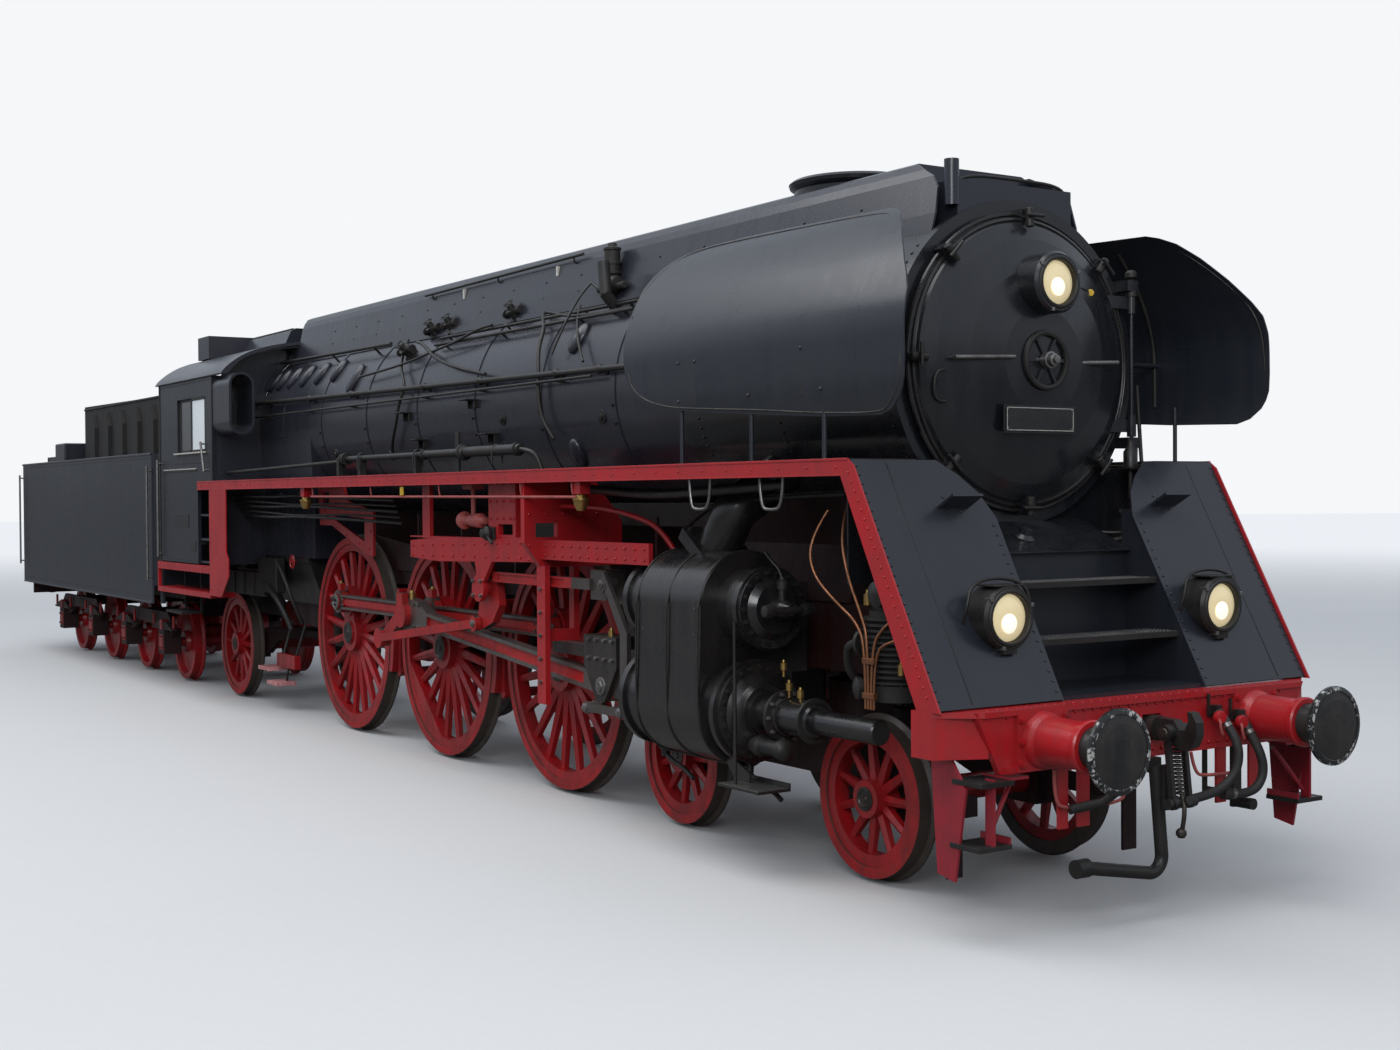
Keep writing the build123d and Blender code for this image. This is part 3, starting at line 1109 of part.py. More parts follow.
def boiler_pipes():
    """Handrails, the regulator rod and pipes along and round the boiler, on their pillars."""
    pieces = []
    # height at the rear end, height at the front end, distance from the axis, radius, rear end, front end
    rails = [
        (3535, 3401, 1030, 24, -1040, 7426),
        (3372, 3360, 1045, 12, -1040, 6910),
        (4012, 3973, 1052, 18, -1000, 2362),
        (3934, 3934, 1014, 15, 3514, 7147),
        (3868, 3868, 1014, 15, 3514, 7147),
    ]
    for z0, z1, reach, radius, start, end in rails:
        def across(z):
            return -math.sqrt(reach ** 2 - (z - BOILER_Z) ** 2)
        rail = bar((start, across(z0), z0), (end, across(z1), z1), radius)
        for x in (-700, 700, 1900, 3700, 4900, 6300, 7000):
            if not start < x < end:
                continue
            z = z0 + (z1 - z0) * (x - start) / (end - start)
            y = across(z)
            foot = (BOILER_R + 0.3) / reach
            rail += bar((x, y * foot, BOILER_Z + (z - BOILER_Z) * foot), (x, y, z), max(10, radius * 0.7))
        pieces.append(rail)
    # rows of place along and angle above the middle, then the pipe's radius
    drops = [
        ([(2628, 47), (3195, 12.1), (3067, -4.1), (2801, -21.7)], 15),
        ([(5487, 47), (5744, 34.8), (5943, 12.7), (6035, -11), (6130, -20)], 17),
        ([(6118, 47), (6685, 13.5)], 11),
    ]
    for steps, radius in drops:
        path = round_the_barrel(BOILER_R + 56, steps)
        pieces.append(sweep(Plane(origin=path @ 0, z_dir=path % 0) * Circle(radius), path=path))
    pot = bar((6758, -700, 3880), (6758, -835, 4030), 46) + bar((6758, -818, 4008), (6700, -806, 4270), 48)
    pieces.append(pot - round_x(0, BOILER_Z, BOILER_R + 0.3, 6000, 7500))
    low = bar((-1040, -1350, 2735), (2500, -1350, 2790), 18)
    low += block(2470, 2530, -1390, -1320, FOOTPLATE_Z, 2830)
    pieces.append(low)
    side = pieces[0]
    for piece in pieces[1:]:
        side += piece
    write("boiler_pipes", pair(side))


def reservoirs():
    """Long stepped reservoirs on brackets above the running boards."""
    tank = turned_x([
        (2531, 0), (2531, 26), (2620, 26), (2620, 60), (2650, 60), (2650, 26), (4450, 26), (4470, 34), (5060, 34),
        (5250, 34), (5250, 62), (5300, 62), (5310, 43), (6290, 43), (6308, 34), (6308, 0),
    ], -1350, 2812)
    tank += block(5040, 5110, -1320, -1300, FOOTPLATE_Z, 2990) + block(5040, 5110, -1340, -1300, 2790, 2830)
    tank += block(2990, 3050, -1380, -1320, FOOTPLATE_Z, 2800) + block(4300, 4350, -1380, -1320, FOOTPLATE_Z, 2800)
    write("reservoirs", pair(tank))


def pumps():
    """Air pump on the right and feed pump on the left: a finned cylinder below a plain one."""
    y = -1140
    body = round_z(10695, y, 172, 1250, 1760) + round_z(10695, y, 195, 1241, 1335)
    for i in range(12):
        low = 1345 + 33 * i
        body += round_z(10695, y, 208, low, low + 14)
    body += round_z(10717, y, 150, 1745, 2010) + round_z(10717, y, 165, 1990, 2025) + round_z(10717, y, 60, 2020, 2075)
    body += block(10600, 10830, y - 120, y + 120, 1738, 1790)
    body += round_x(y - 60, 1560, 52, 10440, 10600)
    body += block(10600, 10790, -960, -600.3, 1440, 1600)
    write("pumps", pair(body))


def brake_rigging():
    """Brake blocks and hangers ahead of each driving wheel, with their cross beams."""
    pieces = []
    axle_z = RAIL + DRIVER_R
    for x in (DRIVER_1, DRIVER_2, DRIVER_3):
        beam = round_y(x + 1088, 700, 42, -760, 760)
        for sign in (-1, 1):
            ring = round_y(x, axle_z, DRIVER_R + 82, sign * 732, sign * 815)
            ring -= round_y(x, axle_z, DRIVER_R + BRAKE_GAP, sign * 700, sign * 850)
            beam += ring & block(x + 800, x + 1090, sign * 700, sign * 850, 700, 1120)
            beam += link_bar((x + 1112, 1500), (x + 1088, 700), 60, sign * 700, sign * 760)
            beam += round_y(x + 1112, 1500, 34, sign * 600.3, sign * 775)
        pieces.append(beam)
    write("brake_rigging", pieces)


# Tender

TENDER_FRONT = -3560.0
TENDER_REAR = -11405.0
TANK_LOW = 1138.0
TANK_TOP = 3018.0
TANK_SKIRT = 1110.0       # lower edge of the tank's sides
BUNKER_TOP = 3783.0
DRAWBAR_X = -3390.0
TENDER_PIVOTS = [(TENDER_AXLES[0] + TENDER_AXLES[1]) / 2, (TENDER_AXLES[2] + TENDER_AXLES[3]) / 2]


def tender_tank():
    """The water tank, closed, with its skirts and the filler lids at the rear."""
    length, middle = TENDER_FRONT - TENDER_REAR, (TENDER_FRONT + TENDER_REAR) / 2
    outline = Pos(middle, 0, TANK_SKIRT) * RectangleRounded(length, 3000, 130)
    tank = extrude(outline, amount=TANK_TOP - TANK_SKIRT, dir=(0, 0, 1))
    tank -= block(TENDER_REAR + 12, TENDER_FRONT - 12, -1488, 1488, TANK_SKIRT - 10, TANK_LOW + 200)
    tank -= block(TENDER_REAR - 20, TENDER_FRONT + 20, -1360, 1360, TANK_SKIRT - 10, TANK_LOW + 200)
    for sign in (-1, 1):
        tank += block(-11000, -9300, sign * 700, sign * 1150, TANK_TOP, TANK_TOP + 120)
    write("tender_tank", tank)


def tender_bunker():
    """The open coal bunker with pressed ribs on its sides, a little higher at the rear."""
    rear, front = -8345.0, -3700.0
    plate = 30
    floor_z = TANK_TOP + 0.3
    walls = []
    for sign in (-1, 1):
        wall = side_plate([(rear, floor_z), (front, floor_z), (front, BUNKER_TOP), (rear, BUNKER_TOP + 50)],
                          sign * 1200, sign * (1200 - plate))
        for i in range(5):
            x = rear + 640 + 780 * i
            rib = side_plate([(x - 130, floor_z), (x + 130, floor_z), (x + 130, 3500), (x, 3700), (x - 130, 3500)],
                             sign * 1200, sign * 1250)
            wall += rib
        walls.append(wall)
    back = block(rear, rear + plate, -1200, 1200, floor_z, BUNKER_TOP + 50)
    front_wall = block(front - plate, front, -1200, 1200, floor_z, BUNKER_TOP)
    front_wall -= block(front - 2 * plate, front + plate, -450, 450, floor_z - 10, 3500)
    slope = side_plate([(rear + plate, floor_z), (rear + 2400, floor_z), (rear + plate, floor_z + 560)], -1170, 1170)
    write("tender_bunker", walls[0] + walls[1] + back + front_wall + slope)


def tender_frame():
    """The tender's frame: solebars, stretchers, bolsters, front and rear beams."""
    frame = block(TENDER_REAR, TENDER_FRONT, -1100, -1060, 1150, 1337.7)
    frame += block(TENDER_REAR, TENDER_FRONT, 1060, 1100, 1150, 1337.7)
    for x in (TENDER_FRONT - 30, -4200, -7475, TENDER_REAR + 30):
        frame += block(x - 30, x + 30, -1060, 1060, 1170, 1337.7)
    for x in TENDER_PIVOTS:
        frame += block(x - 200, x + 200, -1060, 1060, 1190, 1337.7)
        frame += round_z(x, 0, 180, 1110, 1200)
    frame += block(TAIL_X, TAIL_X + 60, -1300, 1300, 900, 1337.7)
    frame += block(TAIL_X + 60, TENDER_REAR, -420, -380, 1150, 1337.7)
    frame += block(TAIL_X + 60, TENDER_REAR, 380, 420, 1150, 1337.7)
    frame += block(TENDER_FRONT, DRAWBAR_X, -90, 90, 1200, 1310) + round_z(DRAWBAR_X, 0, 90, 1200, 1310)
    write("tender_frame", frame)


def tender_bogie(index):
    """A tender bogie frame: cast sides with axle boxes, leaf springs and a bolster."""
    pivot = TENDER_PIVOTS[index]
    axle_z = RAIL + TENDER_R
    sides = []
    for sign in (-1, 1):
        y0, y1 = sign * 1010, sign * 1060
        side = side_plate([
            (pivot - 1250, 760), (pivot - 1000, 930), (pivot + 1000, 930), (pivot + 1250, 760),
            (pivot + 1150, 620), (pivot + 700, 620), (pivot + 350, 760), (pivot - 350, 760), (pivot - 700, 620),
            (pivot - 1150, 620),
        ], y0, y1)
        for x in (pivot - TENDER_PITCH / 2, pivot + TENDER_PITCH / 2):
            box = block(x - 130, x + 130, sign * 900, sign * 1130, axle_z - 150, axle_z + 180)
            box -= round_y(x, axle_z, 60 + RUNNING_GAP, sign * 850, sign * 1060)
            side += box
            for leaf in range(4):
                half = 480 - 90 * leaf
                low = axle_z + 190 + 26 * leaf
                side += block(x - half, x + half, sign * 1061, sign * 1125, low - 12, low + 14)
        sides.append(side)
    bolster = block(pivot - 260, pivot + 260, -1020, 1020, 800, 930)
    bolster += round_z(pivot, 0, 240, 900, 1100)
    write("tender_bogie_" + str(index + 1), sides[0] + sides[1] + bolster)


# Everything, in order

wheelsets()
coupling_rods()
main_rods()
crossheads()
valve_gear()
motion_brackets()
main_frame()
bogie_frame()
trailing_truck()
front_beam()
buffers()
front_coupling()
front_hoses()
front_steps()
boiler()
smokebox()
smokebox_door()
chimney()
top_casing()
smoke_deflectors()
firebox()
running_boards()
valances()
front_apron()
front_lamps()
cylinders()
cylinder_covers()
steam_pipes()
cab_sides()
cab_front()
cab_roof()
cab_floor()
boiler_pipes()
reservoirs()
pumps()
brake_rigging()
tender_tank()
tender_bunker()
tender_frame()
tender_bogie(0)
tender_bogie(1)
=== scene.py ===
# %% [markdown]
# # A steam locomotive with its tender
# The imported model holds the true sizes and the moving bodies. This script loads it, stands a camera
# where the photograph was taken, and then dresses the model: a finish for every part, and the small
# fittings that are too fine for a solid model.

# %% Load the model
import math

import bpy
from mathutils import Matrix, Vector


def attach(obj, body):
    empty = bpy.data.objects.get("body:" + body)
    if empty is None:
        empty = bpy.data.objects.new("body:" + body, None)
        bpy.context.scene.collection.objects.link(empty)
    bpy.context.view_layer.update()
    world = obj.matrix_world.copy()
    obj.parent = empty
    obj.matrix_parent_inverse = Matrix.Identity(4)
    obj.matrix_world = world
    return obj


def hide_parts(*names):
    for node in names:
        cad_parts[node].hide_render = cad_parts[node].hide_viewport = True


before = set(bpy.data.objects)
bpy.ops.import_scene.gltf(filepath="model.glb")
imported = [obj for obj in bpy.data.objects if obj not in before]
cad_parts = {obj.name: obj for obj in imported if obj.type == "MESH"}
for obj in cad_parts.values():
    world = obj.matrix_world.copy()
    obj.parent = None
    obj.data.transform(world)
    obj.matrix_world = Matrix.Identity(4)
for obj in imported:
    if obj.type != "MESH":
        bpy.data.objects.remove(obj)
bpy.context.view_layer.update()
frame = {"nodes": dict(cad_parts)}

nodes = frame["nodes"]

# %% [markdown]
# ## Camera
# The photograph was taken a little ahead of the engine and to its right, at about eye level. The
# place, the direction and the lens below were worked out from the wheel centres and the buffers,
# whose real distances are known. The picture leans by a third of a degree.

# %% Camera
CAMERA_PLACE = Vector((18.38, -7.5145, 2.4258))
HEADING = 2.5649
TILT = -0.0165
LEAN = -0.0062
LENS_MM = 43.96
SENSOR_MM = 36.0

forward = Vector((math.cos(TILT) * math.cos(HEADING), math.cos(TILT) * math.sin(HEADING), math.sin(TILT)))
level_right = forward.cross(Vector((0, 0, 1))).normalized()
level_up = level_right.cross(forward)
right = math.cos(LEAN) * level_right + math.sin(LEAN) * level_up
up = math.cos(LEAN) * level_up - math.sin(LEAN) * level_right

camera_data = bpy.data.cameras.new("camera")
camera_data.lens = LENS_MM
camera_data.sensor_width = SENSOR_MM
camera_data.clip_end = 200.0
camera = bpy.data.objects.new("camera", camera_data)
bpy.context.scene.collection.objects.link(camera)
turn = Matrix((right, up, -forward)).transposed().to_4x4()
camera.matrix_world = Matrix.Translation(CAMERA_PLACE) @ turn
bpy.context.scene.camera = camera
print("camera looks along", tuple(round(v, 3) for v in forward))

# %% [markdown]
# ## Brake hoses
# Two rubber hoses hang in loops from their cocks on the front beam. Each is one smooth NURBS curve
# through the same few control points as its solid, with a round section. The order and the end points
# are set after the points are added, because set before them the curve falls back to straight runs.

# %% Brake hoses
HOSE_DIAMETER = 0.054
HOSES = {
    "brake_hose_1": [
        (11.68, 0.511, 1.076), (11.76, 0.528, 0.984), (11.76, 0.519, 0.815), (11.72, 0.419, 0.703),
        (11.69, 0.227, 0.666), (11.68, 0.092, 0.661),
    ],
    "brake_hose_2": [
        (11.68, 0.705, 1.029), (11.752, 0.729, 0.912), (11.76, 0.752, 0.762), (11.74, 0.66, 0.654),
        (11.702, 0.522, 0.67),
    ],
}


def hose_curve(name, points, diameter):
    """One smooth open curve with a round section."""
    data = bpy.data.curves.new(name, "CURVE")
    data.dimensions = "3D"
    data.bevel_depth = 1.0
    data.bevel_resolution = 6
    data.use_fill_caps = True
    spline = data.splines.new("NURBS")
    spline.points.add(len(points) - 1)
    for point, place in zip(spline.points, points):
        point.co = (*place, 1)
        point.radius = diameter / 2
    spline.order_u = 3
    spline.use_endpoint_u = True
    spline.resolution_u = 16
    piece = bpy.data.objects.new(name, data)
    bpy.context.scene.collection.objects.link(piece)
    return piece


hoses = {}
for node, points in HOSES.items():
    piece = hose_curve(node + "_rubber", points, HOSE_DIAMETER)
    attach(piece, "engine")
    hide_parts(node)
    hoses[node] = piece

# %% [markdown]
# ## Light
# An overcast sky lit the real engine: a broad pale light from above with soft shadows. The world is a
# plain pale sky that fades to a darker ground, so that rounded black cladding is bright on its
# shoulder and dark below. A picture of a sky could do the same, but two colours are easier to steer.

# %% Feeding nodes
scene = bpy.context.scene
scene.view_settings.view_transform = "Standard"
world = bpy.data.worlds.new("studio")
scene.world = world
world.use_nodes = True


def feed(tree, socket, value):
    """Links a socket to another, or sets its plain value."""
    if isinstance(value, bpy.types.NodeSocket):
        tree.links.new(value, socket)
    else:
        socket.default_value = value


def spread(tree, value, low, high, to_low=0.0, to_high=1.0, kind="LINEAR"):
    """Where a value lies between two limits, as a number between two others."""
    node = tree.nodes.new("ShaderNodeMapRange")
    node.interpolation_type = kind
    names = ("Value", "From Min", "From Max", "To Min", "To Max")
    for name, source in zip(names, (value, low, high, to_low, to_high)):
        feed(tree, node.inputs[name], source)
    return node.outputs[0]


def blend_colours(tree, share, first, second):
    """The first colour where the share is 0 and the second where it is 1."""
    node = tree.nodes.new("ShaderNodeMix")
    node.data_type = "RGBA"
    for name, source in (("Factor", share), ("A", first), ("B", second)):
        feed(tree, node.inputs[name], source)
    return node.outputs["Result"]


print("view transform", scene.view_settings.view_transform)

# %% [markdown]
# The sky's colour depends only on how far up a ray looks: ground below the horizon, pale sky above it,
# and a soft change between. Where the camera itself looks at the sky, it sees white, as the overcast
# sky was in the photograph, without one more lamp on the engine.

# %% Sky
SKY = (0.8, 0.87, 0.98, 1)
GROUND = (0.1, 0.095, 0.09, 1)
SEEN_WHITE = (1.35, 1.37, 1.4, 1)
SKY_STRENGTH = 0.68
HORIZON_LOW, HORIZON_HIGH = -0.04, 0.22


def sky_nodes(tree):
    """A pale sky above, a darker ground below, and white where the camera looks straight at it."""
    place = tree.nodes.new("ShaderNodeTexCoord")
    split = tree.nodes.new("ShaderNodeSeparateXYZ")
    tree.links.new(place.outputs["Generated"], split.inputs[0])
    rise = spread(tree, split.outputs["Z"], HORIZON_LOW, HORIZON_HIGH)
    lit = blend_colours(tree, rise, GROUND, SKY)
    seen = tree.nodes.new("ShaderNodeLightPath")
    shown = blend_colours(tree, seen.outputs["Is Camera Ray"], lit, SEEN_WHITE)
    background = tree.nodes["Background"]
    tree.links.new(shown, background.inputs["Color"])
    background.inputs["Strength"].default_value = SKY_STRENGTH


sky_nodes(world.node_tree)
print("sky strength", SKY_STRENGTH)

# %% [markdown]
# A wide lamp gives soft shadows, because each point of the engine sees only a part of it hidden. A sun
# lamp or a small spot would draw hard black shadows under the running board, which the photograph
# doesn't have. One panel hangs over the engine's right side and one stands in front of it.

# %% Wide lamps
def soft_lamp(name, place, aim, size, watts):
    """A wide lamp at a place, turned towards an aim."""
    data = bpy.data.lights.new(name, "AREA")
    data.shape = "RECTANGLE"
    data.size, data.size_y = size
    data.energy = watts
    lamp = bpy.data.objects.new(name, data)
    scene.collection.objects.link(lamp)
    lamp.location = place
    lamp.rotation_euler = (Vector(aim) - Vector(place)).to_track_quat("-Z", "Y").to_euler()
    return lamp


# name, place, aim, size, watts
PANELS = [
    ("sky_panel", (2.0, -9.0, 20.0), (0.0, 0.0, 2.0), (36.0, 14.0), 3600),
    ("front_panel", (26.0, -14.0, 10.0), (9.0, 0.0, 2.0), (9.0, 7.0), 1300),
]
for name, place, aim, size, watts in PANELS:
    soft_lamp(name, place, aim, size, watts)
    print(name, "at", place, "gives", watts, "W")

# %% [markdown]
# ## Floor
# The engine stands on a plain pale floor, on the lowest points of its wheel flanges.

# %% Floor
bpy.ops.object.select_all(action="DESELECT")
bpy.ops.mesh.primitive_plane_add(size=400, location=(0, 0, 0))
floor = bpy.context.object
floor.name = "floor"
print("floor at z =", floor.location.z)

# %% [markdown]
# ## Finishes
# Every finish starts from one principled shader. Two things happen on most of them: the colour drifts
# a little over a hand's breadth, and soot and dust settle in patches that run down. That is a node
# group, built once, that each finish uses with its own numbers. A second group marks a part of the
# surface by its place, for a rim, a flute or an edge that the workshop left bare or painted apart.

# %% Small node helpers
def group_sockets(tree, inputs, outputs):
    """Gives a node group its sockets, from rows of name, kind and starting value."""
    for name, kind, value in inputs:
        socket = tree.interface.new_socket(name=name, in_out="INPUT", socket_type=kind)
        socket.default_value = value
    for name, kind in outputs:
        tree.interface.new_socket(name=name, in_out="OUTPUT", socket_type=kind)


def maths(tree, operation, *values):
    """A Math node on sockets or plain numbers; gives its output."""
    node = tree.nodes.new("ShaderNodeMath")
    node.operation = operation
    for socket, value in zip(node.inputs, values):
        feed(tree, socket, value)
    return node.outputs[0]


def noise(tree, vector, scale, detail, roughness=0.5):
    """A noise texture read at a vector; gives its value."""
    node = tree.nodes.new("ShaderNodeTexNoise")
    tree.links.new(vector, node.inputs["Vector"])
    feed(tree, node.inputs["Scale"], scale)
    node.inputs["Detail"].default_value = detail
    node.inputs["Roughness"].default_value = roughness
    return node.outputs[0]


print("node helpers: group_sockets, maths, noise")

# %% [markdown]
# ### Grime
# Paint outdoors is never one colour. Three noises add up: broad patches a hand or an arm wide, streaks
# that are long upwards and narrow across, as rain leaves them, and fine specks. Their sum mixes the
# paint with the dirt, sets the roughness between two ends and gives the height of a faint bump.

# %% Grime group
STREAK_STRETCH = (14, 14, 0.8)
STREAK_SHARE, SPECK_SHARE = 0.55, 0.35
SPECK_SCALE = 55
GRIME_INPUTS = [
    ("Paint", "NodeSocketColor", (0.5, 0.5, 0.5, 1)),
    ("Dirt", "NodeSocketColor", (0.05, 0.045, 0.04, 1)),
    ("Amount", "NodeSocketFloat", 0.3),
    ("Patch size", "NodeSocketFloat", 1.5),
    ("Rough low", "NodeSocketFloat", 0.35),
    ("Rough high", "NodeSocketFloat", 0.7),
    ("Mask low", "NodeSocketFloat", 0.75),
    ("Mask high", "NodeSocketFloat", 1.25),
]
GRIME_OUTPUTS = [
    ("Color", "NodeSocketColor"), ("Roughness", "NodeSocketFloat"), ("Height", "NodeSocketFloat"),
]


def grime_group():
    """Two colours mixed by large patches, fine specks and streaks that run down."""
    tree = bpy.data.node_groups.new("grime", "ShaderNodeTree")
    group_sockets(tree, GRIME_INPUTS, GRIME_OUTPUTS)
    entry, exit_ = tree.nodes.new("NodeGroupInput"), tree.nodes.new("NodeGroupOutput")
    place = tree.nodes.new("ShaderNodeTexCoord").outputs["Object"]
    stretch = tree.nodes.new("ShaderNodeMapping")
    stretch.inputs["Scale"].default_value = STREAK_STRETCH
    tree.links.new(place, stretch.inputs["Vector"])
    patches = noise(tree, place, entry.outputs["Patch size"], 8, 0.62)
    streaks = noise(tree, stretch.outputs[0], 1, 5)
    specks = noise(tree, place, SPECK_SCALE, 4)
    both = maths(tree, "MULTIPLY_ADD", streaks, STREAK_SHARE, patches)
    fine = maths(tree, "MULTIPLY_ADD", specks, SPECK_SHARE, both)
    mask = spread(tree, fine, entry.outputs["Mask low"], entry.outputs["Mask high"])
    share = maths(tree, "MULTIPLY", mask, entry.outputs["Amount"])
    colour = blend_colours(tree, share, entry.outputs["Paint"], entry.outputs["Dirt"])
    rough = spread(tree, mask, 0.0, 1.0, entry.outputs["Rough low"], entry.outputs["Rough high"])
    for name, socket in (("Color", colour), ("Roughness", rough), ("Height", fine)):
        tree.links.new(socket, exit_.inputs[name])
    return tree


GRIME = grime_group()
print("grime group with", len(GRIME.nodes), "nodes")

# %% [markdown]
# ### Zones
# A turned rim, a rod's flute or a step's top is often left bare or painted apart. Such a zone is told
# by where the surface is: past a limit across, along, or facing up. That needs no texture and no cut
# in the mesh, and the solid stays as it is.

# %% Zone group
ZONE_INPUTS = [
    ("Across limit", "NodeSocketFloat", 100.0),
    ("Along limit", "NodeSocketFloat", 1000.0),
    ("Upward limit", "NodeSocketFloat", 2.0),
    ("Wander", "NodeSocketFloat", 0.0),
]
WANDER_SCALE = 18


def zone_group():
    """1 where a coordinate, its size without its sign, or a normal's lean is past a limit."""
    tree = bpy.data.node_groups.new("zone", "ShaderNodeTree")
    group_sockets(tree, ZONE_INPUTS, [("Mask", "NodeSocketFloat")])
    entry, exit_ = tree.nodes.new("NodeGroupInput"), tree.nodes.new("NodeGroupOutput")
    place = tree.nodes.new("ShaderNodeTexCoord")
    spot, lean = tree.nodes.new("ShaderNodeSeparateXYZ"), tree.nodes.new("ShaderNodeSeparateXYZ")
    tree.links.new(place.outputs["Object"], spot.inputs[0])
    tree.links.new(place.outputs["Normal"], lean.inputs[0])
    wander = noise(tree, place.outputs["Object"], WANDER_SCALE, 2)
    drift = maths(tree, "MULTIPLY", wander, entry.outputs["Wander"])
    across = maths(tree, "ABSOLUTE", spot.outputs["Y"])
    upward = maths(tree, "ABSOLUTE", lean.outputs["Z"])
    past = []
    for value, limit in (
        (across, "Across limit"), (spot.outputs["X"], "Along limit"), (upward, "Upward limit"),
    ):
        moved = maths(tree, "ADD", value, drift)
        past.append(maths(tree, "GREATER_THAN", moved, entry.outputs[limit]))
    first_two = maths(tree, "MAXIMUM", past[0], past[1])
    tree.links.new(maths(tree, "MAXIMUM", first_two, past[2]), exit_.inputs["Mask"])
    return tree


ZONE = zone_group()
print("zone group with", len(ZONE.nodes), "nodes")

# %% [markdown]
# ### One finish
# A finish is one principled shader with the grime group in front of it. The group feeds the colour,
# the roughness and the bump, and what is the same all over, such as metal or clear coat, is set on
# the shader itself, so that the exported model keeps it.

# %% One finish
RIPPLE_DEPTH = 0.004
COAT_ROUGHNESS = 0.12


def finish(name, paint, dirt, amount, patch, rough, metallic=0.0, coat=0.0, bump=0.1, glow=None,
           edge=(0.75, 1.25)):
    """A painted or bare surface whose colour and gloss drift with the grime."""
    material = bpy.data.materials.new(name)
    material.use_nodes = True
    tree = material.node_tree
    shader = tree.nodes["Principled BSDF"]
    grime = tree.nodes.new("ShaderNodeGroup")
    grime.node_tree = GRIME
    grime.name = "grime"
    values = {
        "Paint": (*paint, 1), "Dirt": (*dirt, 1), "Amount": amount, "Patch size": patch,
        "Rough low": rough[0], "Rough high": rough[1], "Mask low": edge[0], "Mask high": edge[1],
    }
    for socket, value in values.items():
        grime.inputs[socket].default_value = value
    tree.links.new(grime.outputs["Color"], shader.inputs["Base Color"])
    tree.links.new(grime.outputs["Roughness"], shader.inputs["Roughness"])
    ripple = tree.nodes.new("ShaderNodeBump")
    ripple.inputs["Strength"].default_value = bump
    ripple.inputs["Distance"].default_value = RIPPLE_DEPTH
    tree.links.new(grime.outputs["Height"], ripple.inputs["Height"])
    tree.links.new(ripple.outputs[0], shader.inputs["Normal"])
    shader.inputs["Metallic"].default_value = metallic
    shader.inputs["Coat Weight"].default_value = coat
    shader.inputs["Coat Roughness"].default_value = COAT_ROUGHNESS
    if glow:
        shader.inputs["Emission Color"].default_value = (*glow[0], 1)
        shader.inputs["Emission Strength"].default_value = glow[1]
    print("finish", name, "is", "metal" if metallic else "paint, rubber or glass")
    return material


def add_zone(material, colour, across=100.0, along=1000.0, upward=2.0, metallic=0.0, wander=0.0):
    """A second colour where the surface is past a limit across, along or upward."""
    tree = material.node_tree
    shader, grime = tree.nodes["Principled BSDF"], tree.nodes["grime"]
    zone = tree.nodes.new("ShaderNodeGroup")
    zone.node_tree = ZONE
    limits = {"Across limit": across, "Along limit": along, "Upward limit": upward, "Wander": wander}
    for socket, value in limits.items():
        zone.inputs[socket].default_value = value
    paint = tuple(grime.inputs["Paint"].default_value)
    mixed = blend_colours(tree, zone.outputs["Mask"], paint, (*colour, 1))
    tree.links.new(mixed, grime.inputs["Paint"])
    if metallic:
        gloss = maths(tree, "MULTIPLY", zone.outputs["Mask"], metallic)
        tree.links.new(gloss, shader.inputs["Metallic"])
    return material

# %% [markdown]
# The engine looks black, but no two of its blacks are alike: the cladding and the side sheets are satin,
# their paint lifted and tinted blue as a painted sheen of the sky; the cylinders are oily; the smokebox is
# glossy and warm, with a little blue in its paint as a painted highlight; the firebox and the frames are
# dull with soot.

# %% Black finishes
RED = (0.46, 0.013, 0.018)
# name, paint, dirt, amount of dirt, patches to a metre, roughness from and to
# the cladding's paint and dirt are lifted and tinted blue: a painted sheen of the sky
cladding_black_and_painted_sheen = finish(
    "cladding_black_and_painted_sheen", (0.019, 0.021, 0.031), (0.034, 0.033, 0.04), 0.6, 0.6, (0.24, 0.42), coat=0.15,
    bump=0.02,
)
# the blue tint in this black paint is a painted sheen of the sky
finish(
    "side_black_and_painted_sheen", (0.013, 0.016, 0.023), (0.026, 0.028, 0.033), 0.6, 0.8, (0.26, 0.44), coat=0.1, bump=0.04,
)
oily_black = finish(
    "oily_black", (0.01, 0.01, 0.012), (0.03, 0.024, 0.019), 0.7, 2.0, (0.2, 0.46), coat=0.25, bump=0.06,
)
# the little blue in this black paint is a painted highlight
smokebox_black_and_painted_sheen = finish(
    "smokebox_black_and_painted_sheen", (0.009, 0.01, 0.013), (0.022, 0.022, 0.024), 0.6, 1.6, (0.17, 0.38), coat=0.2,
    bump=0.05,
)
finish("firebox_black", (0.01, 0.01, 0.011), (0.022, 0.02, 0.018), 0.7, 1.2, (0.35, 0.6), bump=0.05)
sooty_black = finish("sooty_black", (0.007, 0.007, 0.007), (0.026, 0.022, 0.019), 0.7, 2.0, (0.5, 0.85))
iron_black = finish("iron_black", (0.01, 0.01, 0.01), (0.035, 0.027, 0.021), 0.6, 4.0, (0.35, 0.7))

# %% [markdown]
# The frame's red is bright on the beam, dustier on the wheels, and nearly brown-black on the frames and
# bogies, partly from oil and brake dust and partly as painted shade under the engine. Each red is the same
# kind of finish with its own colours and patches.

# %% Red finishes
red_paint = finish("red_paint", RED, (0.085, 0.012, 0.012), 0.45, 3.0, (0.26, 0.6), coat=0.15)
red_dusty = finish(
    "red_dusty", (0.42, 0.009, 0.013), (0.06, 0.014, 0.014), 0.75, 2.5, (0.25, 0.6), coat=0.15,
)
step_paint = finish("step_paint", (0.34, 0.016, 0.03), (0.06, 0.02, 0.022), 0.6, 5.0, (0.3, 0.6))
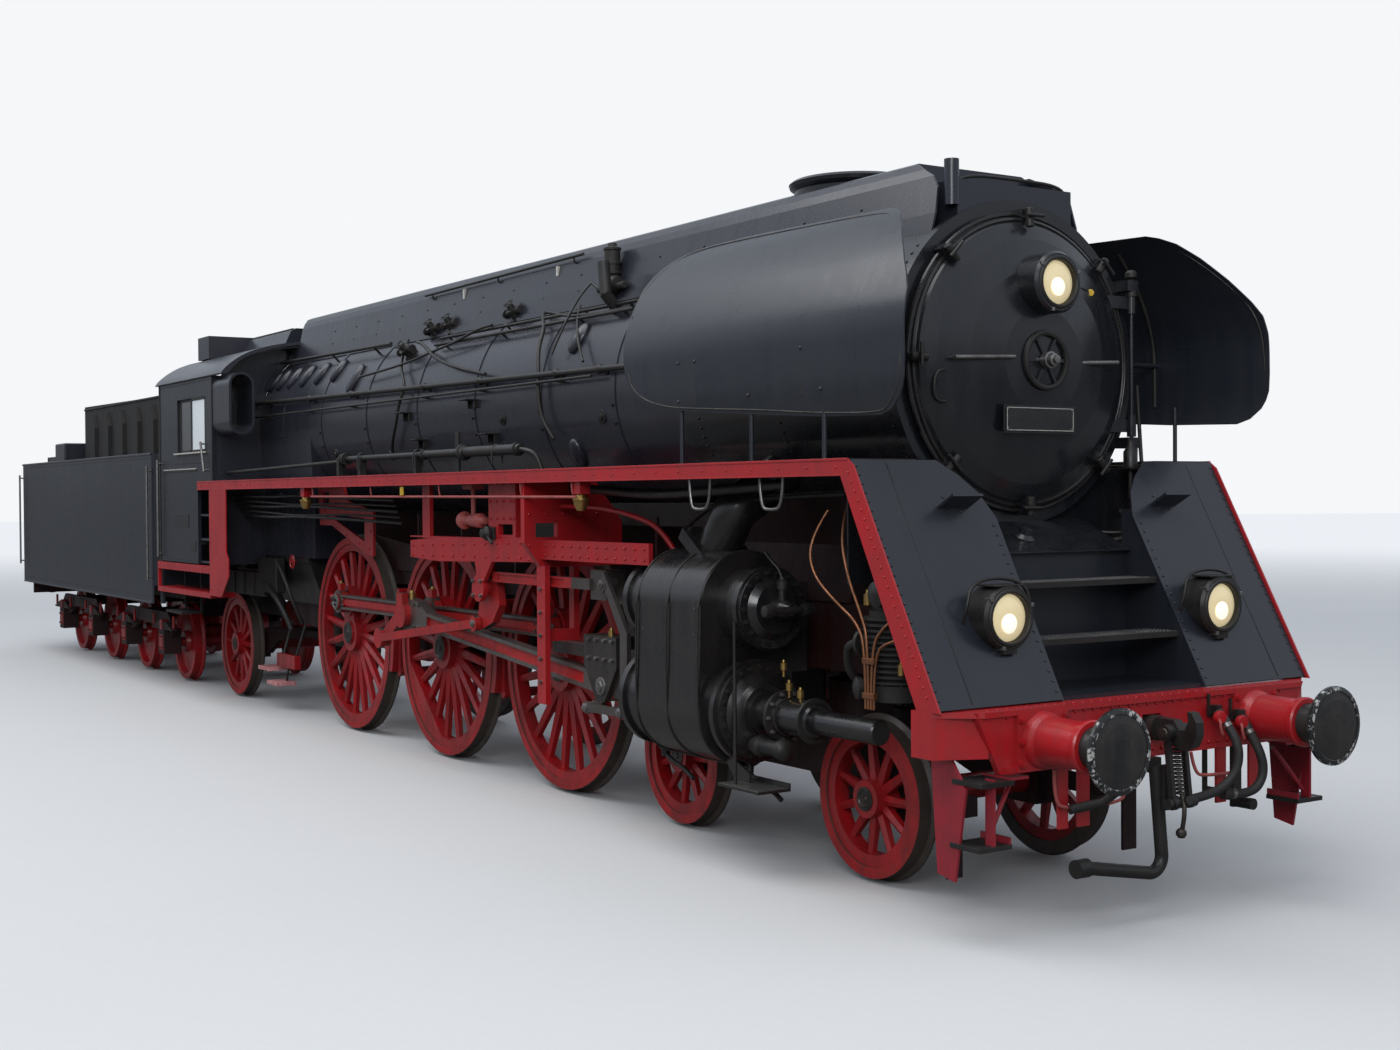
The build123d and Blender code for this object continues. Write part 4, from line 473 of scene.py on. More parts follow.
# dark red for frames and bogies: dirt, and painted shade under the engine
finish("red_dark_dirt_and_shade", (0.03, 0.004, 0.004), (0.01, 0.008, 0.008), 0.9, 2.5, (0.5, 0.85))

# %% [markdown]
# Rubbed steel, brass and copper are metals with dull patches, so only their high roughness ends look
# like dirt. The small paints colour marks, plates and handles.

# %% Metals, rubber and small paints
worn_steel = finish(
    "worn_steel", (0.34, 0.33, 0.32), (0.05, 0.04, 0.034), 0.8, 6.0, (0.25, 0.6), metallic=0.9,
)
dark_steel = finish(
    "dark_steel", (0.09, 0.082, 0.075), (0.02, 0.016, 0.013), 0.8, 6.0, (0.3, 0.6), metallic=0.7,
)
brass = finish("brass", (0.55, 0.36, 0.12), (0.08, 0.05, 0.025), 0.6, 8.0, (0.25, 0.5), metallic=0.9)
copper = finish("copper", (0.38, 0.16, 0.08), (0.05, 0.03, 0.02), 0.8, 8.0, (0.3, 0.6), metallic=0.85)
rubber = finish("rubber", (0.012, 0.012, 0.012), (0.035, 0.032, 0.03), 0.6, 12.0, (0.55, 0.8), bump=0.3)
yellow_paint = finish("yellow_paint", (0.72, 0.45, 0.02), (0.2, 0.13, 0.04), 0.4, 12.0, (0.35, 0.6))
pale_paint = finish("pale_paint", (0.62, 0.6, 0.55), (0.2, 0.18, 0.16), 0.5, 9.0, (0.35, 0.6))
plate_paint = finish("plate_paint", (0.012, 0.012, 0.013), (0.05, 0.048, 0.045), 0.4, 9.0, (0.3, 0.5))
pink_paint = finish("pink_paint", (0.46, 0.1, 0.09), (0.1, 0.03, 0.03), 0.5, 8.0, (0.4, 0.7))
chalky_pink = finish("chalky_pink", (0.7, 0.36, 0.36), (0.4, 0.08, 0.09), 0.8, 14.0, (0.5, 0.8))

# %% [markdown]
# The lamps are lit, so their glasses glow a little, and more round the bulb. The cab's side pane is painted
# pale and glows a little, a painted reflection of the pale sky; the other panes are painted dark, a painted
# shade of the dark cab behind them.
# Chipped paint has a sharp edge between its two colours, from a narrow mask.

# %% Lamps, glass and chipped paint
lamp_glass = finish(
    "lamp_glass", (0.62, 0.52, 0.3), (0.44, 0.36, 0.2), 0.6, 14.0, (0.05, 0.12), coat=0.8, bump=0.04,
    glow=((1.0, 0.84, 0.5), 0.42),
)
lamp_core = finish(
    "lamp_core", (0.86, 0.82, 0.66), (0.7, 0.64, 0.48), 0.5, 20.0, (0.1, 0.2), bump=0.04,
    glow=((1.0, 0.95, 0.8), 0.75),
)
chipped_paint = finish(
    "chipped_paint", (0.016, 0.017, 0.018), (0.46, 0.46, 0.43), 1.0, 26.0, (0.3, 0.5), edge=(1.0, 1.05),
)
# dark glass: a painted shade of the cab behind it
shade_glass = finish(
    "shade_glass", (0.02, 0.022, 0.024), (0.05, 0.05, 0.05), 0.5, 3.0, (0.05, 0.2), coat=1.0, bump=0.02,
)
# pale colour and a faint glow: a painted reflection of the sky
window_glass_painted_sky = finish(
    "window_glass_painted_sky", (0.55, 0.6, 0.62), (0.3, 0.32, 0.32), 0.4, 3.0, (0.05, 0.2), coat=1.0, bump=0.02,
    glow=((0.85, 0.92, 1.0), 0.35),
)
tread_worn = finish(
    "tread_worn", (0.13, 0.125, 0.12), (0.03, 0.028, 0.025), 0.8, 9.0, (0.4, 0.7), metallic=0.5,
)

# %% [markdown]
# Tyres are bare at the rim, rods are red in their flutes and bright on their faces, and steps are red
# with dark tops. The second colour starts past a limit of place or lean.

# %% Finishes in two colours
tyre_paint = finish("tyre_paint", (0.075, 0.06, 0.05), (0.03, 0.022, 0.018), 0.7, 5.0, (0.35, 0.7))
add_zone(tyre_paint, (0.44, 0.01, 0.014), across=0.8186)
add_zone(step_paint, (0.014, 0.013, 0.013), upward=0.75)
rod_paint = finish("rod_paint", (0.46, 0.01, 0.012), (0.06, 0.02, 0.018), 0.5, 5.0, (0.28, 0.6))
add_zone(rod_paint, (0.24, 0.225, 0.21), across=0.9625, upward=0.8, metallic=0.85)
main_rod_paint = finish("main_rod_paint", (0.46, 0.01, 0.012), (0.06, 0.02, 0.018), 0.5, 5.0, (0.28, 0.6))
add_zone(main_rod_paint, (0.24, 0.225, 0.21), across=1.192, upward=0.8, metallic=0.85)
gear_paint = finish("gear_paint", (0.42, 0.01, 0.012), (0.05, 0.02, 0.018), 0.6, 5.0, (0.3, 0.6))
add_zone(gear_paint, (0.17, 0.16, 0.15), along=7.02, upward=0.8, metallic=0.8)
finish("head_paint", (0.016, 0.016, 0.017), (0.06, 0.05, 0.042), 0.6, 7.0, (0.28, 0.5))
floor_paint = finish(
    "floor_paint", (0.66, 0.66, 0.655), (0.6, 0.6, 0.595), 0.4, 0.3, (0.75, 0.9), bump=0.02,
)
floor.data.materials.append(floor_paint)
for piece in hoses.values():
    piece.data.materials.append(rubber)
print(len(bpy.data.materials), "finishes")

# %% [markdown]
# ### Floor under a dark engine
# Seen directly, or through glass, the floor is pale. For the light that bounces off it, and in reflections,
# its colour is darker, because a real engine stands over dark ground, which throws little light up at it.

# %% Floor bounce
DARK_GROUND = (0.16, 0.155, 0.15, 1)
FADE_START, FADE_END = 13, 70
FAR_GLOW = 0.47
floor_tree = floor_paint.node_tree
floor_shader = floor_tree.nodes["Principled BSDF"]
seen = floor_tree.nodes.new("ShaderNodeLightPath")
direct = maths(floor_tree, "MAXIMUM", seen.outputs["Is Camera Ray"], seen.outputs["Is Transmission Ray"])
shown = blend_colours(floor_tree, direct, DARK_GROUND, floor_tree.nodes["grime"].outputs["Color"])
floor_tree.links.new(shown, floor_shader.inputs["Base Color"])
spot = floor_tree.nodes.new("ShaderNodeTexCoord")
away = floor_tree.nodes.new("ShaderNodeVectorMath")
away.operation = "LENGTH"
floor_tree.links.new(spot.outputs["Object"], away.inputs[0])
fade = spread(floor_tree, away.outputs["Value"], FADE_START, FADE_END, 0.0, FAR_GLOW, "SMOOTHSTEP")
far_white = maths(floor_tree, "MULTIPLY", fade, direct)
floor_shader.inputs["Emission Color"].default_value = (1, 1, 1, 1)
floor_tree.links.new(far_white, floor_shader.inputs["Emission Strength"])
print("floor fades to white from", FADE_START, "m to", FADE_END, "m")

# %% [markdown]
# ## Finishes on the solids
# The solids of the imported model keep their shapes, and each gets the finish that the real part has.
# The table lists only those that aren't cladding black, because most of the body is.

# %% Finishes on the solids
FINISHES = {
    "red_paint": ["valances", "front_beam", "front_buffer_sleeves", "motion_brackets"],
    "red_dusty": [n for n in nodes if n.startswith("wheels_")] + ["brake_rigging"],
    "step_paint": ["front_steps"],
    "side_black_and_painted_sheen": ["front_apron", "cab_sides", "tender_tank", "smoke_deflectors"],
    "oily_black": ["cylinders", "cylinder_covers", "steam_pipes"],
    "firebox_black": ["ashpan"],
    # frames and bogies: dirt, and painted shade under the engine
    "red_dark_dirt_and_shade": [
        "bogie_frame", "trailing_truck", "main_frame", "tender_bogie_1", "tender_bogie_2", "tender_frame",
    ],
    "tyre_paint": [n for n in nodes if n.startswith("tyres_")],
    "rod_paint": ["coupling_rods_right", "coupling_rods_left"],
    "main_rod_paint": ["main_rods"],
    "gear_paint": ["valve_gear"],
    "dark_steel": ["crossheads"],
    "smokebox_black_and_painted_sheen": ["smokebox", "smokebox_door", "chimney"],
    "sooty_black": ["pumps", "cab_floor", "tender_bunker"],
    "iron_black": [
        "front_coupling", "tender_buffers", "boiler_pipes", "reservoirs", "running_boards", "front_lamps",
    ],
    "head_paint": ["front_buffer_heads"],
}


def dress(names, material):
    """Gives solids one finish."""
    for name in names:
        data = nodes[name].data
        data.materials.clear()
        data.materials.append(material)


dress(nodes, cladding_black_and_painted_sheen)
for finish_name, names in FINISHES.items():
    dress(names, bpy.data.materials[finish_name])
    print(finish_name, "on", len(names), "solids")

# %% [markdown]
# ## How the fittings are made
# The fittings are modelled as by hand: a primitive is added at its place, shaped in edit mode or with
# a bevel, and its modifiers are applied. Round ones are turned: half an outline is spun about its
# axis, as on a lathe. What repeats, such as a bolt, is modelled once, copied to its places and joined.

# %% [markdown]
# An operator works on whatever is selected, so a piece is taken in hand alone first. Modifiers and the
# place are applied at the end, so that every piece lies at the origin with its place in its mesh.

# %% Pieces in hand
AHEAD, BACKWARD = (1, 0, 0), (-1, 0, 0)
UPWARD, TO_RIGHT = (0, 0, 1), (0, -1, 0)


def clear():
    """Nothing selected, so that an operator touches only what comes next."""
    bpy.ops.object.select_all(action="DESELECT")


def take(piece):
    """One piece in hand."""
    clear()
    piece.select_set(True)
    bpy.context.view_layer.objects.active = piece
    return piece


def settle():
    """The place, turn and size of what is in hand, put into its mesh."""
    bpy.ops.object.transform_apply(location=True, rotation=True, scale=True)


def apply_all(piece):
    """Applies the piece's modifiers and then its place."""
    take(piece)
    for modifier in list(piece.modifiers):
        bpy.ops.object.modifier_apply(modifier=modifier.name)
    settle()
    return piece


print("ahead is", AHEAD, "and up is", UPWARD)

# %% [markdown]
# Most small fittings are flat plates or round bars. A cube or cylinder is only the start: its edges are
# rounded by a bevel, because a sharp edge never catches the light as real metal does.

# %% Plates and round rods
def rounded(piece, width, segments=2):
    """Edges rounded by a bevel, as on pressed or cast metal."""
    bevel = piece.modifiers.new("edge", "BEVEL")
    bevel.width = width
    bevel.segments = segments
    bevel.limit_method = "ANGLE"
    return apply_all(piece)


def slab(low, high, edge=0.003):
    """A plate or block between two corners, with rounded edges."""
    clear()
    middle = [(a + b) / 2 for a, b in zip(low, high)]
    size = [abs(b - a) for a, b in zip(low, high)]
    bpy.ops.mesh.primitive_cube_add(size=1, location=middle, scale=size)
    bpy.ops.object.transform_apply(location=False, rotation=False, scale=True)
    return rounded(bpy.context.object, min(edge, 0.4 * min(size)))


def rod(start, end, radius, sides=14):
    """A round rod between two points, its ends rounded off."""
    start, end = Vector(start), Vector(end)
    clear()
    bpy.ops.mesh.primitive_cylinder_add(
        vertices=sides, radius=radius, depth=(end - start).length, location=(start + end) / 2,
        rotation=(end - start).to_track_quat("Z", "Y").to_euler(),
    )
    piece = rounded(bpy.context.object, radius * 0.2, 1)
    bpy.ops.object.shade_smooth_by_angle(angle=math.radians(40))
    return piece


print("helpers for plates and rods: rounded, slab, rod")

# %% [markdown]
# A pipe or a bent handle follows a few points in one smooth curve with a round section, and is then
# made a mesh. Bending a straight cylinder would thin it at the bends; a curve keeps its thickness.

# %% Bent pipes
def bent_rod(points, radius):
    """A pipe or rod bent smoothly through points, then made a mesh."""
    data = bpy.data.curves.new("bent", "CURVE")
    data.dimensions = "3D"
    data.bevel_depth = radius
    data.bevel_resolution = 2
    data.use_fill_caps = True
    spline = data.splines.new("NURBS")
    spline.points.add(len(points) - 1)
    for point, place in zip(spline.points, points):
        point.co = (*place, 1)
    spline.order_u = 3
    spline.use_endpoint_u = True
    spline.resolution_u = 6
    piece = bpy.data.objects.new("bent", data)
    scene.collection.objects.link(piece)
    take(piece)
    bpy.ops.object.convert(target="MESH")
    return bpy.context.object


print("helper for pipes: bent_rod")

# %% [markdown]
# Valves, caps, knobs and lamps are round about an axis, as if made on a lathe. Half of the outline is
# drawn as rows of reach and radius, spun a full turn, closed where the ends meet, and then stood
# in its place. One outline is shorter and truer than a stack of cylinders.

# %% Turned shapes
def turned(profile, centre, axis=AHEAD, steps=28):
    """A shape spun about its axis, from rows of reach along the axis and radius."""
    mesh = bpy.data.meshes.new("turned")
    rows = [(radius, 0.0, reach) for reach, radius in profile]
    mesh.from_pydata(rows, [(i, i + 1) for i in range(len(rows) - 1)], [])
    piece = bpy.data.objects.new("turned", mesh)
    scene.collection.objects.link(piece)
    take(piece)
    bpy.ops.object.mode_set(mode="EDIT")
    bpy.ops.mesh.select_all(action="SELECT")
    bpy.ops.mesh.spin(steps=steps, angle=math.tau, center=(0, 0, 0), axis=UPWARD)
    bpy.ops.mesh.select_all(action="SELECT")
    bpy.ops.mesh.remove_doubles(threshold=0.0002)
    bpy.ops.mesh.normals_make_consistent(inside=False)
    bpy.ops.object.mode_set(mode="OBJECT")
    piece.rotation_euler = Vector(axis).to_track_quat("Z", "Y").to_euler()
    piece.location = centre
    settle()
    bpy.ops.object.shade_smooth_by_angle(angle=math.radians(35))
    return piece


print("helper for round shapes: turned")

# %% [markdown]
# What repeats is modelled once. Its copies have meshes of their own and are joined into one piece, and
# a mirror makes the engine's left side from its right. The last helper names a piece, gives it its
# finish, puts it on its body and says how many faces it has.

# %% Joining, copying, mirroring
def joined(pieces):
    """Several shapes made one piece."""
    clear()
    for piece in pieces:
        piece.select_set(True)
    bpy.context.view_layer.objects.active = pieces[0]
    bpy.ops.object.join()
    return bpy.context.object


def copies(model, spots):
    """A model copied to rows of place and direction, joined; the model itself is used up."""
    made = []
    for place, out in spots:
        twin = model.copy()
        twin.data = model.data.copy()
        scene.collection.objects.link(twin)
        way = Vector(out).to_track_quat("Z", "Y").to_matrix().to_4x4()
        twin.matrix_world = Matrix.Translation(Vector(place)) @ way
        made.append(twin)
    bpy.data.objects.remove(model)
    piece = joined(made) if len(made) > 1 else take(made[0])
    settle()
    return piece


def mirrored(piece):
    """The same piece with its twin on the other side of the engine."""
    take(piece)
    modifier = piece.modifiers.new("other side", "MIRROR")
    modifier.use_axis = (False, True, False)
    modifier.use_mirror_merge = False
    return apply_all(piece)


def keep(piece, name, material, body="engine"):
    """Joins what comes in a list, names it, gives it its finish, and puts it on a body."""
    if isinstance(piece, list):
        piece = joined(piece)
    piece.name = name
    piece.data.name = name
    piece.data.materials.clear()
    piece.data.materials.append(material)
    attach(piece, body)
    print(name, "rides on", body, "with", len(piece.data.polygons), "faces")
    return piece


def keep_pair(pieces, name, material, body="engine"):
    """Pieces of the right-hand side joined, mirrored to the left and kept as one."""
    return keep(mirrored(joined(pieces)), name, material, body)


print("helpers that finish a piece: joined, copies, mirrored, keep, keep_pair")

# %% [markdown]
# Rivets and nuts come in hundreds, so each is a plain form with few faces. A rivet is a low cone with
# smooth shading, which reads as a dome. A nut is a hexagon, inset and extruded for its stud's end.

# %% Rivets and nuts
def rivet(radius, height):
    """A low domed rivet head at the origin, pointing up."""
    clear()
    bpy.ops.mesh.primitive_cone_add(
        vertices=8, radius1=radius, radius2=radius * 0.55, depth=height, location=(0, 0, height / 2),
    )
    settle()
    bpy.ops.object.shade_smooth()
    return bpy.context.object


def nut(radius, height):
    """A hexagonal nut with a short stud end, at the origin, pointing up."""
    clear()
    bpy.ops.mesh.primitive_cylinder_add(
        vertices=6, radius=radius, depth=height, location=(0, 0, height / 2),
    )
    settle()
    piece = bpy.context.object
    bpy.ops.object.mode_set(mode="EDIT")
    bpy.ops.mesh.select_all(action="DESELECT")
    bpy.ops.object.mode_set(mode="OBJECT")
    for face in piece.data.polygons:
        face.select = face.normal.z > 0.9
    bpy.ops.object.mode_set(mode="EDIT")
    bpy.ops.mesh.inset(thickness=radius * 0.4)
    bpy.ops.mesh.extrude_region_move(TRANSFORM_OT_translate={"value": (0, 0, height * 0.45)})
    bpy.ops.object.mode_set(mode="OBJECT")
    return piece


print("models to copy: rivet, nut")

# %% [markdown]
# Bolts stand in circles on covers and in rows along plates, so two helpers work out their places.

# %% Rows and rings
def ring_spots(centre, radius, count, axis="X", start=0.0, sign=1):
    """Places round a circle, all facing along the axis."""
    spots = []
    for i in range(count):
        a = start + math.tau * i / count
        c, s = radius * math.cos(a), radius * math.sin(a)
        if axis == "X":
            spots.append(((centre[0], centre[1] + c, centre[2] + s), (sign, 0, 0)))
        else:
            spots.append(((centre[0] + c, centre[1], centre[2] + s), (0, sign, 0)))
    return spots


def row_spots(start, end, count, out):
    """Places evenly along a line, all facing one way."""
    start, end = Vector(start), Vector(end)
    return [(start.lerp(end, i / (count - 1)), out) for i in range(count)]


print("three in a row:", [tuple(spot) for spot, out in row_spots((0, 0, 0), AHEAD, 3, UPWARD)])

# %% [markdown]
# ## Lamps
# Three electric lamps stand at the front: each has a rolled rim round a domed glass, a short hood's
# edge and a foot. The glass is turned as a shallow dome, with a darker seat behind it, so it reads as
# a lens.

# %% Lamps
# outline: reach, radius
LAMP_DOME = [(-0.03, 0.136), (-0.018, 0.134), (-0.004, 0.118), (0.006, 0.09), (0.013, 0.05), (0.016, 0)]
BULB = [(0, 0.058), (0.006, 0.05), (0.01, 0.026), (0.0112, 0)]
LAMP_RIM = [
    (-0.024, 0.136), (0.004, 0.138), (0.01, 0.146), (0.008, 0.158), (-0.004, 0.168), (-0.03, 0.178),
    (-0.034, 0.172), (-0.024, 0.136),
]
# side, face along, place across, height, body
CATCH_CIRCLE, CATCH_HALF = 0.176, 0.012
LAMPS = [
    ("top", 10.85, 0.0, 3.719, "smokebox_door"), ("right", 11.35, -0.88, 1.74, "engine"),
    ("left", 11.35, 0.88, 1.74, "engine"),
]
for side, face, y, z, body in LAMPS:
    glass = turned(LAMP_DOME, (face - 0.008, y, z))
    keep(glass, "lamp_glass_" + side, lamp_glass, body)
    bulb = turned(BULB, (face + 0.0045, y - 0.015, z - 0.03), steps=20)
    keep(bulb, "lamp_bulb_" + side, lamp_core, body)
    rim = turned(LAMP_RIM, (face, y, z))
    keep(rim, "lamp_rim_" + side, iron_black, body)
    catches = []
    for angle in (0.4, 2.5, 4.4):
        across, rise = y + CATCH_CIRCLE * math.cos(angle), z + CATCH_CIRCLE * math.sin(angle)
        low = (face - 0.05, across - CATCH_HALF, rise - CATCH_HALF)
        high = (face + 0.006, across + CATCH_HALF, rise + CATCH_HALF)
        catches.append(slab(low, high))
    keep(catches, "lamp_catches_" + side, worn_steel, body)

# %% [markdown]
# Each lower lamp has a small shelf above it and a rail round it as a guard. The rail is one curve,
# because it is one bent bar.

# %% Lamp shelves and guards
for side, y in (("right", -0.88), ("left", 0.88)):
    shelf = slab((11.195, y - 0.11, 1.915), (11.345, y + 0.11, 1.925))
    keep(shelf, "lamp_shelf_" + side, iron_black)
    rail = bent_rod([
        (11.1, y - 0.2, 1.62), (11.2, y - 0.245, 1.66), (11.26, y - 0.245, 1.8), (11.24, y - 0.2, 1.93),
        (11.22, y, 1.965), (11.24, y + 0.2, 1.93), (11.26, y + 0.245, 1.8), (11.2, y + 0.245, 1.66),
        (11.1, y + 0.2, 1.62),
    ], 0.01)
    keep(rail, "lamp_guard_" + side, iron_black)

# %% [markdown]
# ## Smokebox front
# The door is shut by clamps round its rim and a handwheel in the middle. Handrails cross it, a hinge
# pin stands at its left, and a plain plate hangs below.

# %% Smokebox front
# outline: reach, radius
RIM_BEAD = [(0, 0.88), (0.01, 0.874), (0.018, 0.884), (0.012, 0.898), (0, 0.902)]
FLANGE_BEAD = [(0, 0.905), (0.012, 0.915), (0.012, 0.928), (0, 0.935)]
WHEEL_HUB = [
    (0, 0.052), (0.045, 0.052), (0.05, 0.04), (0.075, 0.038), (0.08, 0.026), (0.1, 0.024), (0.104, 0),
]
WHEEL_RIM = [
    (-0.012, 0.158), (0, 0.151), (0.014, 0.155), (0.018, 0.17), (0.012, 0.184), (-0.002, 0.188),
    (-0.014, 0.18), (-0.012, 0.158),
]
DOOR_Z = 3.25
bead = turned(RIM_BEAD, (10.522, 0, DOOR_Z), steps=72)
keep(bead, "door_rim_bead", oily_black, "smokebox_door")
crease = turned(FLANGE_BEAD, (10.5135, 0, DOOR_Z), steps=72)
keep(crease, "door_flange_bead", oily_black, "smokebox_door")
hub = turned(WHEEL_HUB, (10.735, 0, DOOR_Z))
keep(hub, "handwheel_hub", worn_steel, "smokebox_door")
wheel_rim = turned(WHEEL_RIM, (10.733, 0, DOOR_Z), steps=40)
keep(wheel_rim, "handwheel_rim", iron_black, "smokebox_door")

# %% [markdown]
# Two rails cross the door on short posts. The door is a dome, so each post starts at the dome's height
# at its place.

# %% Door handrails
# the door's dome: its rim along, its height, its radius and how full it is
DOME_RIM, DOME_HEIGHT, DOME_RADIUS, DOME_POWER = 10.5, 0.235, 0.93, 1.7
rails = []
for y0, y1, z0, z1 in ((-0.707, -0.264, 3.246, 3.263), (0.313, 0.623, 3.248, 3.26)):
    rails.append(rod((10.7, y0, z0), (10.74, y1, z1), 0.013))
    for share in (0.04, 0.96):
        y = y0 + (y1 - y0) * share
        surface = DOME_RIM + DOME_HEIGHT * max(0.0, 1 - (abs(y) / DOME_RADIUS) ** DOME_POWER)
        rails.append(rod((surface - 0.02, y, z0), (10.7 + 0.04 * share, y, z0 + (z1 - z0) * share), 0.01))
keep(rails, "door_handrails", worn_steel, "smokebox_door")

# %% [markdown]
# Seven clamps press the door on its ring: a dog lies over the rim, a nut holds it and a short bar
# across it is the key. They stand on one circle, so each is placed by its angle.

# %% Door clamps
CLAMP_CIRCLE = 0.9
DOG_INNER, DOG_OUTER = 0.835, 0.955
screws = []
for angle in (45, 90, 135, 180, 225, 270, 315):
    turn = math.radians(angle)
    place = (10.59, CLAMP_CIRCLE * math.cos(turn), DOOR_Z + CLAMP_CIRCLE * math.sin(turn))
    screws.append((place, AHEAD))
keep(copies(nut(0.026, 0.026), screws), "clamp_nuts", iron_black, "smokebox_door")
dogs = []
for place, out in screws:
    across, up = place[1] / CLAMP_CIRCLE, (place[2] - DOOR_Z) / CLAMP_CIRCLE
    inner = (10.598, DOG_INNER * across, DOOR_Z + DOG_INNER * up)
    outer = (10.59, DOG_OUTER * across, DOOR_Z + DOG_OUTER * up)
    dogs.append(rod(inner, outer, 0.026))
    middle = Vector((10.632, 0.905 * across, DOOR_Z + 0.905 * up))
    side = Vector((0, -up, across))
    dogs.append(rod(middle - side * 0.085, middle + side * 0.055, 0.011))
keep(dogs, "clamp_dogs", iron_black, "smokebox_door")

# %% [markdown]
# A plate with a pale border hangs under the handwheel. It stays blank. Its border is four thin strips
# that stand a little proud, because a painted line would need a texture.

# %% Blank plate
loop = bent_rod([
    (10.55, -0.66, 3.175), (10.61, -0.66, 3.18), (10.61, -0.79, 3.17), (10.6, -0.79, 2.99),
    (10.61, -0.67, 2.985), (10.55, -0.66, 2.99),
], 0.011)
keep(loop, "door_side_handle", iron_black, "smokebox_door")
keep(
    copies(rivet(0.011, 0.008), [((10.733, y, z), AHEAD) for y in (-0.32, 0.22) for z in (2.83, 2.945)]),
    "plate_screws", worn_steel, "smokebox_door",
)
plate = slab((10.731, -0.335, 2.812), (10.738, 0.235, 2.962), 0.004)
keep(plate, "blank_plate", plate_paint, "smokebox_door")
border = [
    slab((10.7375, y0, z0), (10.7395, y1, z1), 0.0006)
    for y0, y1, z0, z1 in (
        (-0.328, 0.228, 2.817, 2.821), (-0.328, 0.228, 2.953, 2.957), (-0.328, -0.324, 2.817, 2.957),
        (0.224, 0.228, 2.817, 2.957),
    )
]
keep(border, "plate_border", pale_paint, "smokebox_door")

# %% [markdown]
# The hinge pin ends in small caps, the smokebox is riveted along three seams, and a short wire feeds
# the top lamp from a yellow plug. The rivets follow the barrel's circle.

# %% Hinge caps, seams and the lamp's wire
# outline: reach, radius
HINGE_CAP = [(0, 0), (0, 0.04), (0.03, 0.04), (0.045, 0.026), (0.052, 0)]
WIRE_PLUG = [(0, 0), (0, 0.042), (0.05, 0.042), (0.062, 0.026), (0.1, 0.022), (0.102, 0)]
hinge_caps = [turned(HINGE_CAP, (10.56, 0.935, z), UPWARD, steps=16) for z in (2.7, 3.71, 3.835)]
keep(hinge_caps, "hinge_caps", iron_black)
BARREL_RADIUS = 1.0
seam = []
for x in (8.3, 9.25, 10.38):
    for side in (-1, 1):
        for degrees in range(-44, 46, 4):
            a = math.radians(degrees)
            place = (x, side * BARREL_RADIUS * math.cos(a), DOOR_Z + BARREL_RADIUS * math.sin(a))
            seam.append((place, (0, side * math.cos(a), math.sin(a))))
keep(copies(rivet(0.012, 0.008), seam), "smokebox_rivets", smokebox_black_and_painted_sheen)
plug = turned(WIRE_PLUG, (10.555, 0.523, 3.686), (1, -0.5, 0.2))
keep(plug, "yellow_plug", yellow_paint, "smokebox_door")
wire = bent_rod([
    (10.6, 0.523, 3.69), (10.66, 0.44, 3.72), (10.64, 0.3, 3.73), (10.62, 0.185, 3.715),
], 0.007)
keep(wire, "lamp_wire", rubber, "smokebox_door")

# %% [markdown]
# ## Buffers and front beam
# The buffer faces are greased black with a rim worn bright by touching other vehicles. Each buffer
# stands on a square base with bolts, and the beam itself is red with rivet heads.

# %% Buffers and beam
# outline: reach, radius
BUFFER_RIM = [
    (-0.0345, 0.2275), (-0.028, 0.2292), (-0.02, 0.2285), (-0.0155, 0.222), (-0.0115, 0.2), (-0.014, 0.195),
]
SLEEVE_COLLAR = [(0, 0.129), (0, 0.145), (0.03, 0.147), (0.04, 0.138), (0.042, 0.113), (0.03, 0.112)]
BUFFER_Z = 1.088
BUFFERS = (("right", -0.875), ("left", 0.875))
BEAM = 11.575
for side, y in BUFFERS:
    rim = turned(BUFFER_RIM, (12.175, y, BUFFER_Z), steps=56)
    keep(rim, "buffer_rim_" + side, chipped_paint)
    collar = turned(SLEEVE_COLLAR, (11.925, y, BUFFER_Z), steps=40)
    keep(collar, "buffer_collar_" + side, red_paint)
    bolts = [
        ((BEAM + 0.022, y + dy, BUFFER_Z + dz), AHEAD)
        for dy in (-0.165, 0.165)
        for dz in (-0.12, 0.0, 0.12)
    ]
    keep(copies(nut(0.022, 0.018), bolts), "buffer_bolts_" + side, red_dusty)

# %% [markdown]
# Two rows of rivets hold the beam's angles and one row runs along the deck's edge. They are red as the
# beam is.

# %% Beam rivets
rows = row_spots((BEAM, -1.12, 1.225), (BEAM, 1.12, 1.225), 32, AHEAD)
rows += row_spots((BEAM, -0.64, 0.965), (BEAM, 0.64, 0.965), 17, AHEAD)
keep(copies(rivet(0.013, 0.009), rows), "beam_rivets", red_paint)
top_rows = row_spots((BEAM - 0.02, -1.25, 1.265), (BEAM - 0.02, 1.25, 1.265), 36, UPWARD)
keep(copies(rivet(0.011, 0.007), top_rows), "deck_edge_rivets", red_paint)
mark = slab((BEAM, -0.64, 1.1), (BEAM + 0.006, -0.6, 1.16), 0.001)
keep(mark, "beam_mark", yellow_paint)

# %% [markdown]
# The screw coupling hangs from the hook. Its thread is a stack of thin turned rings, which reads as a
# thread from a few metres and needs far fewer faces than a real helix.

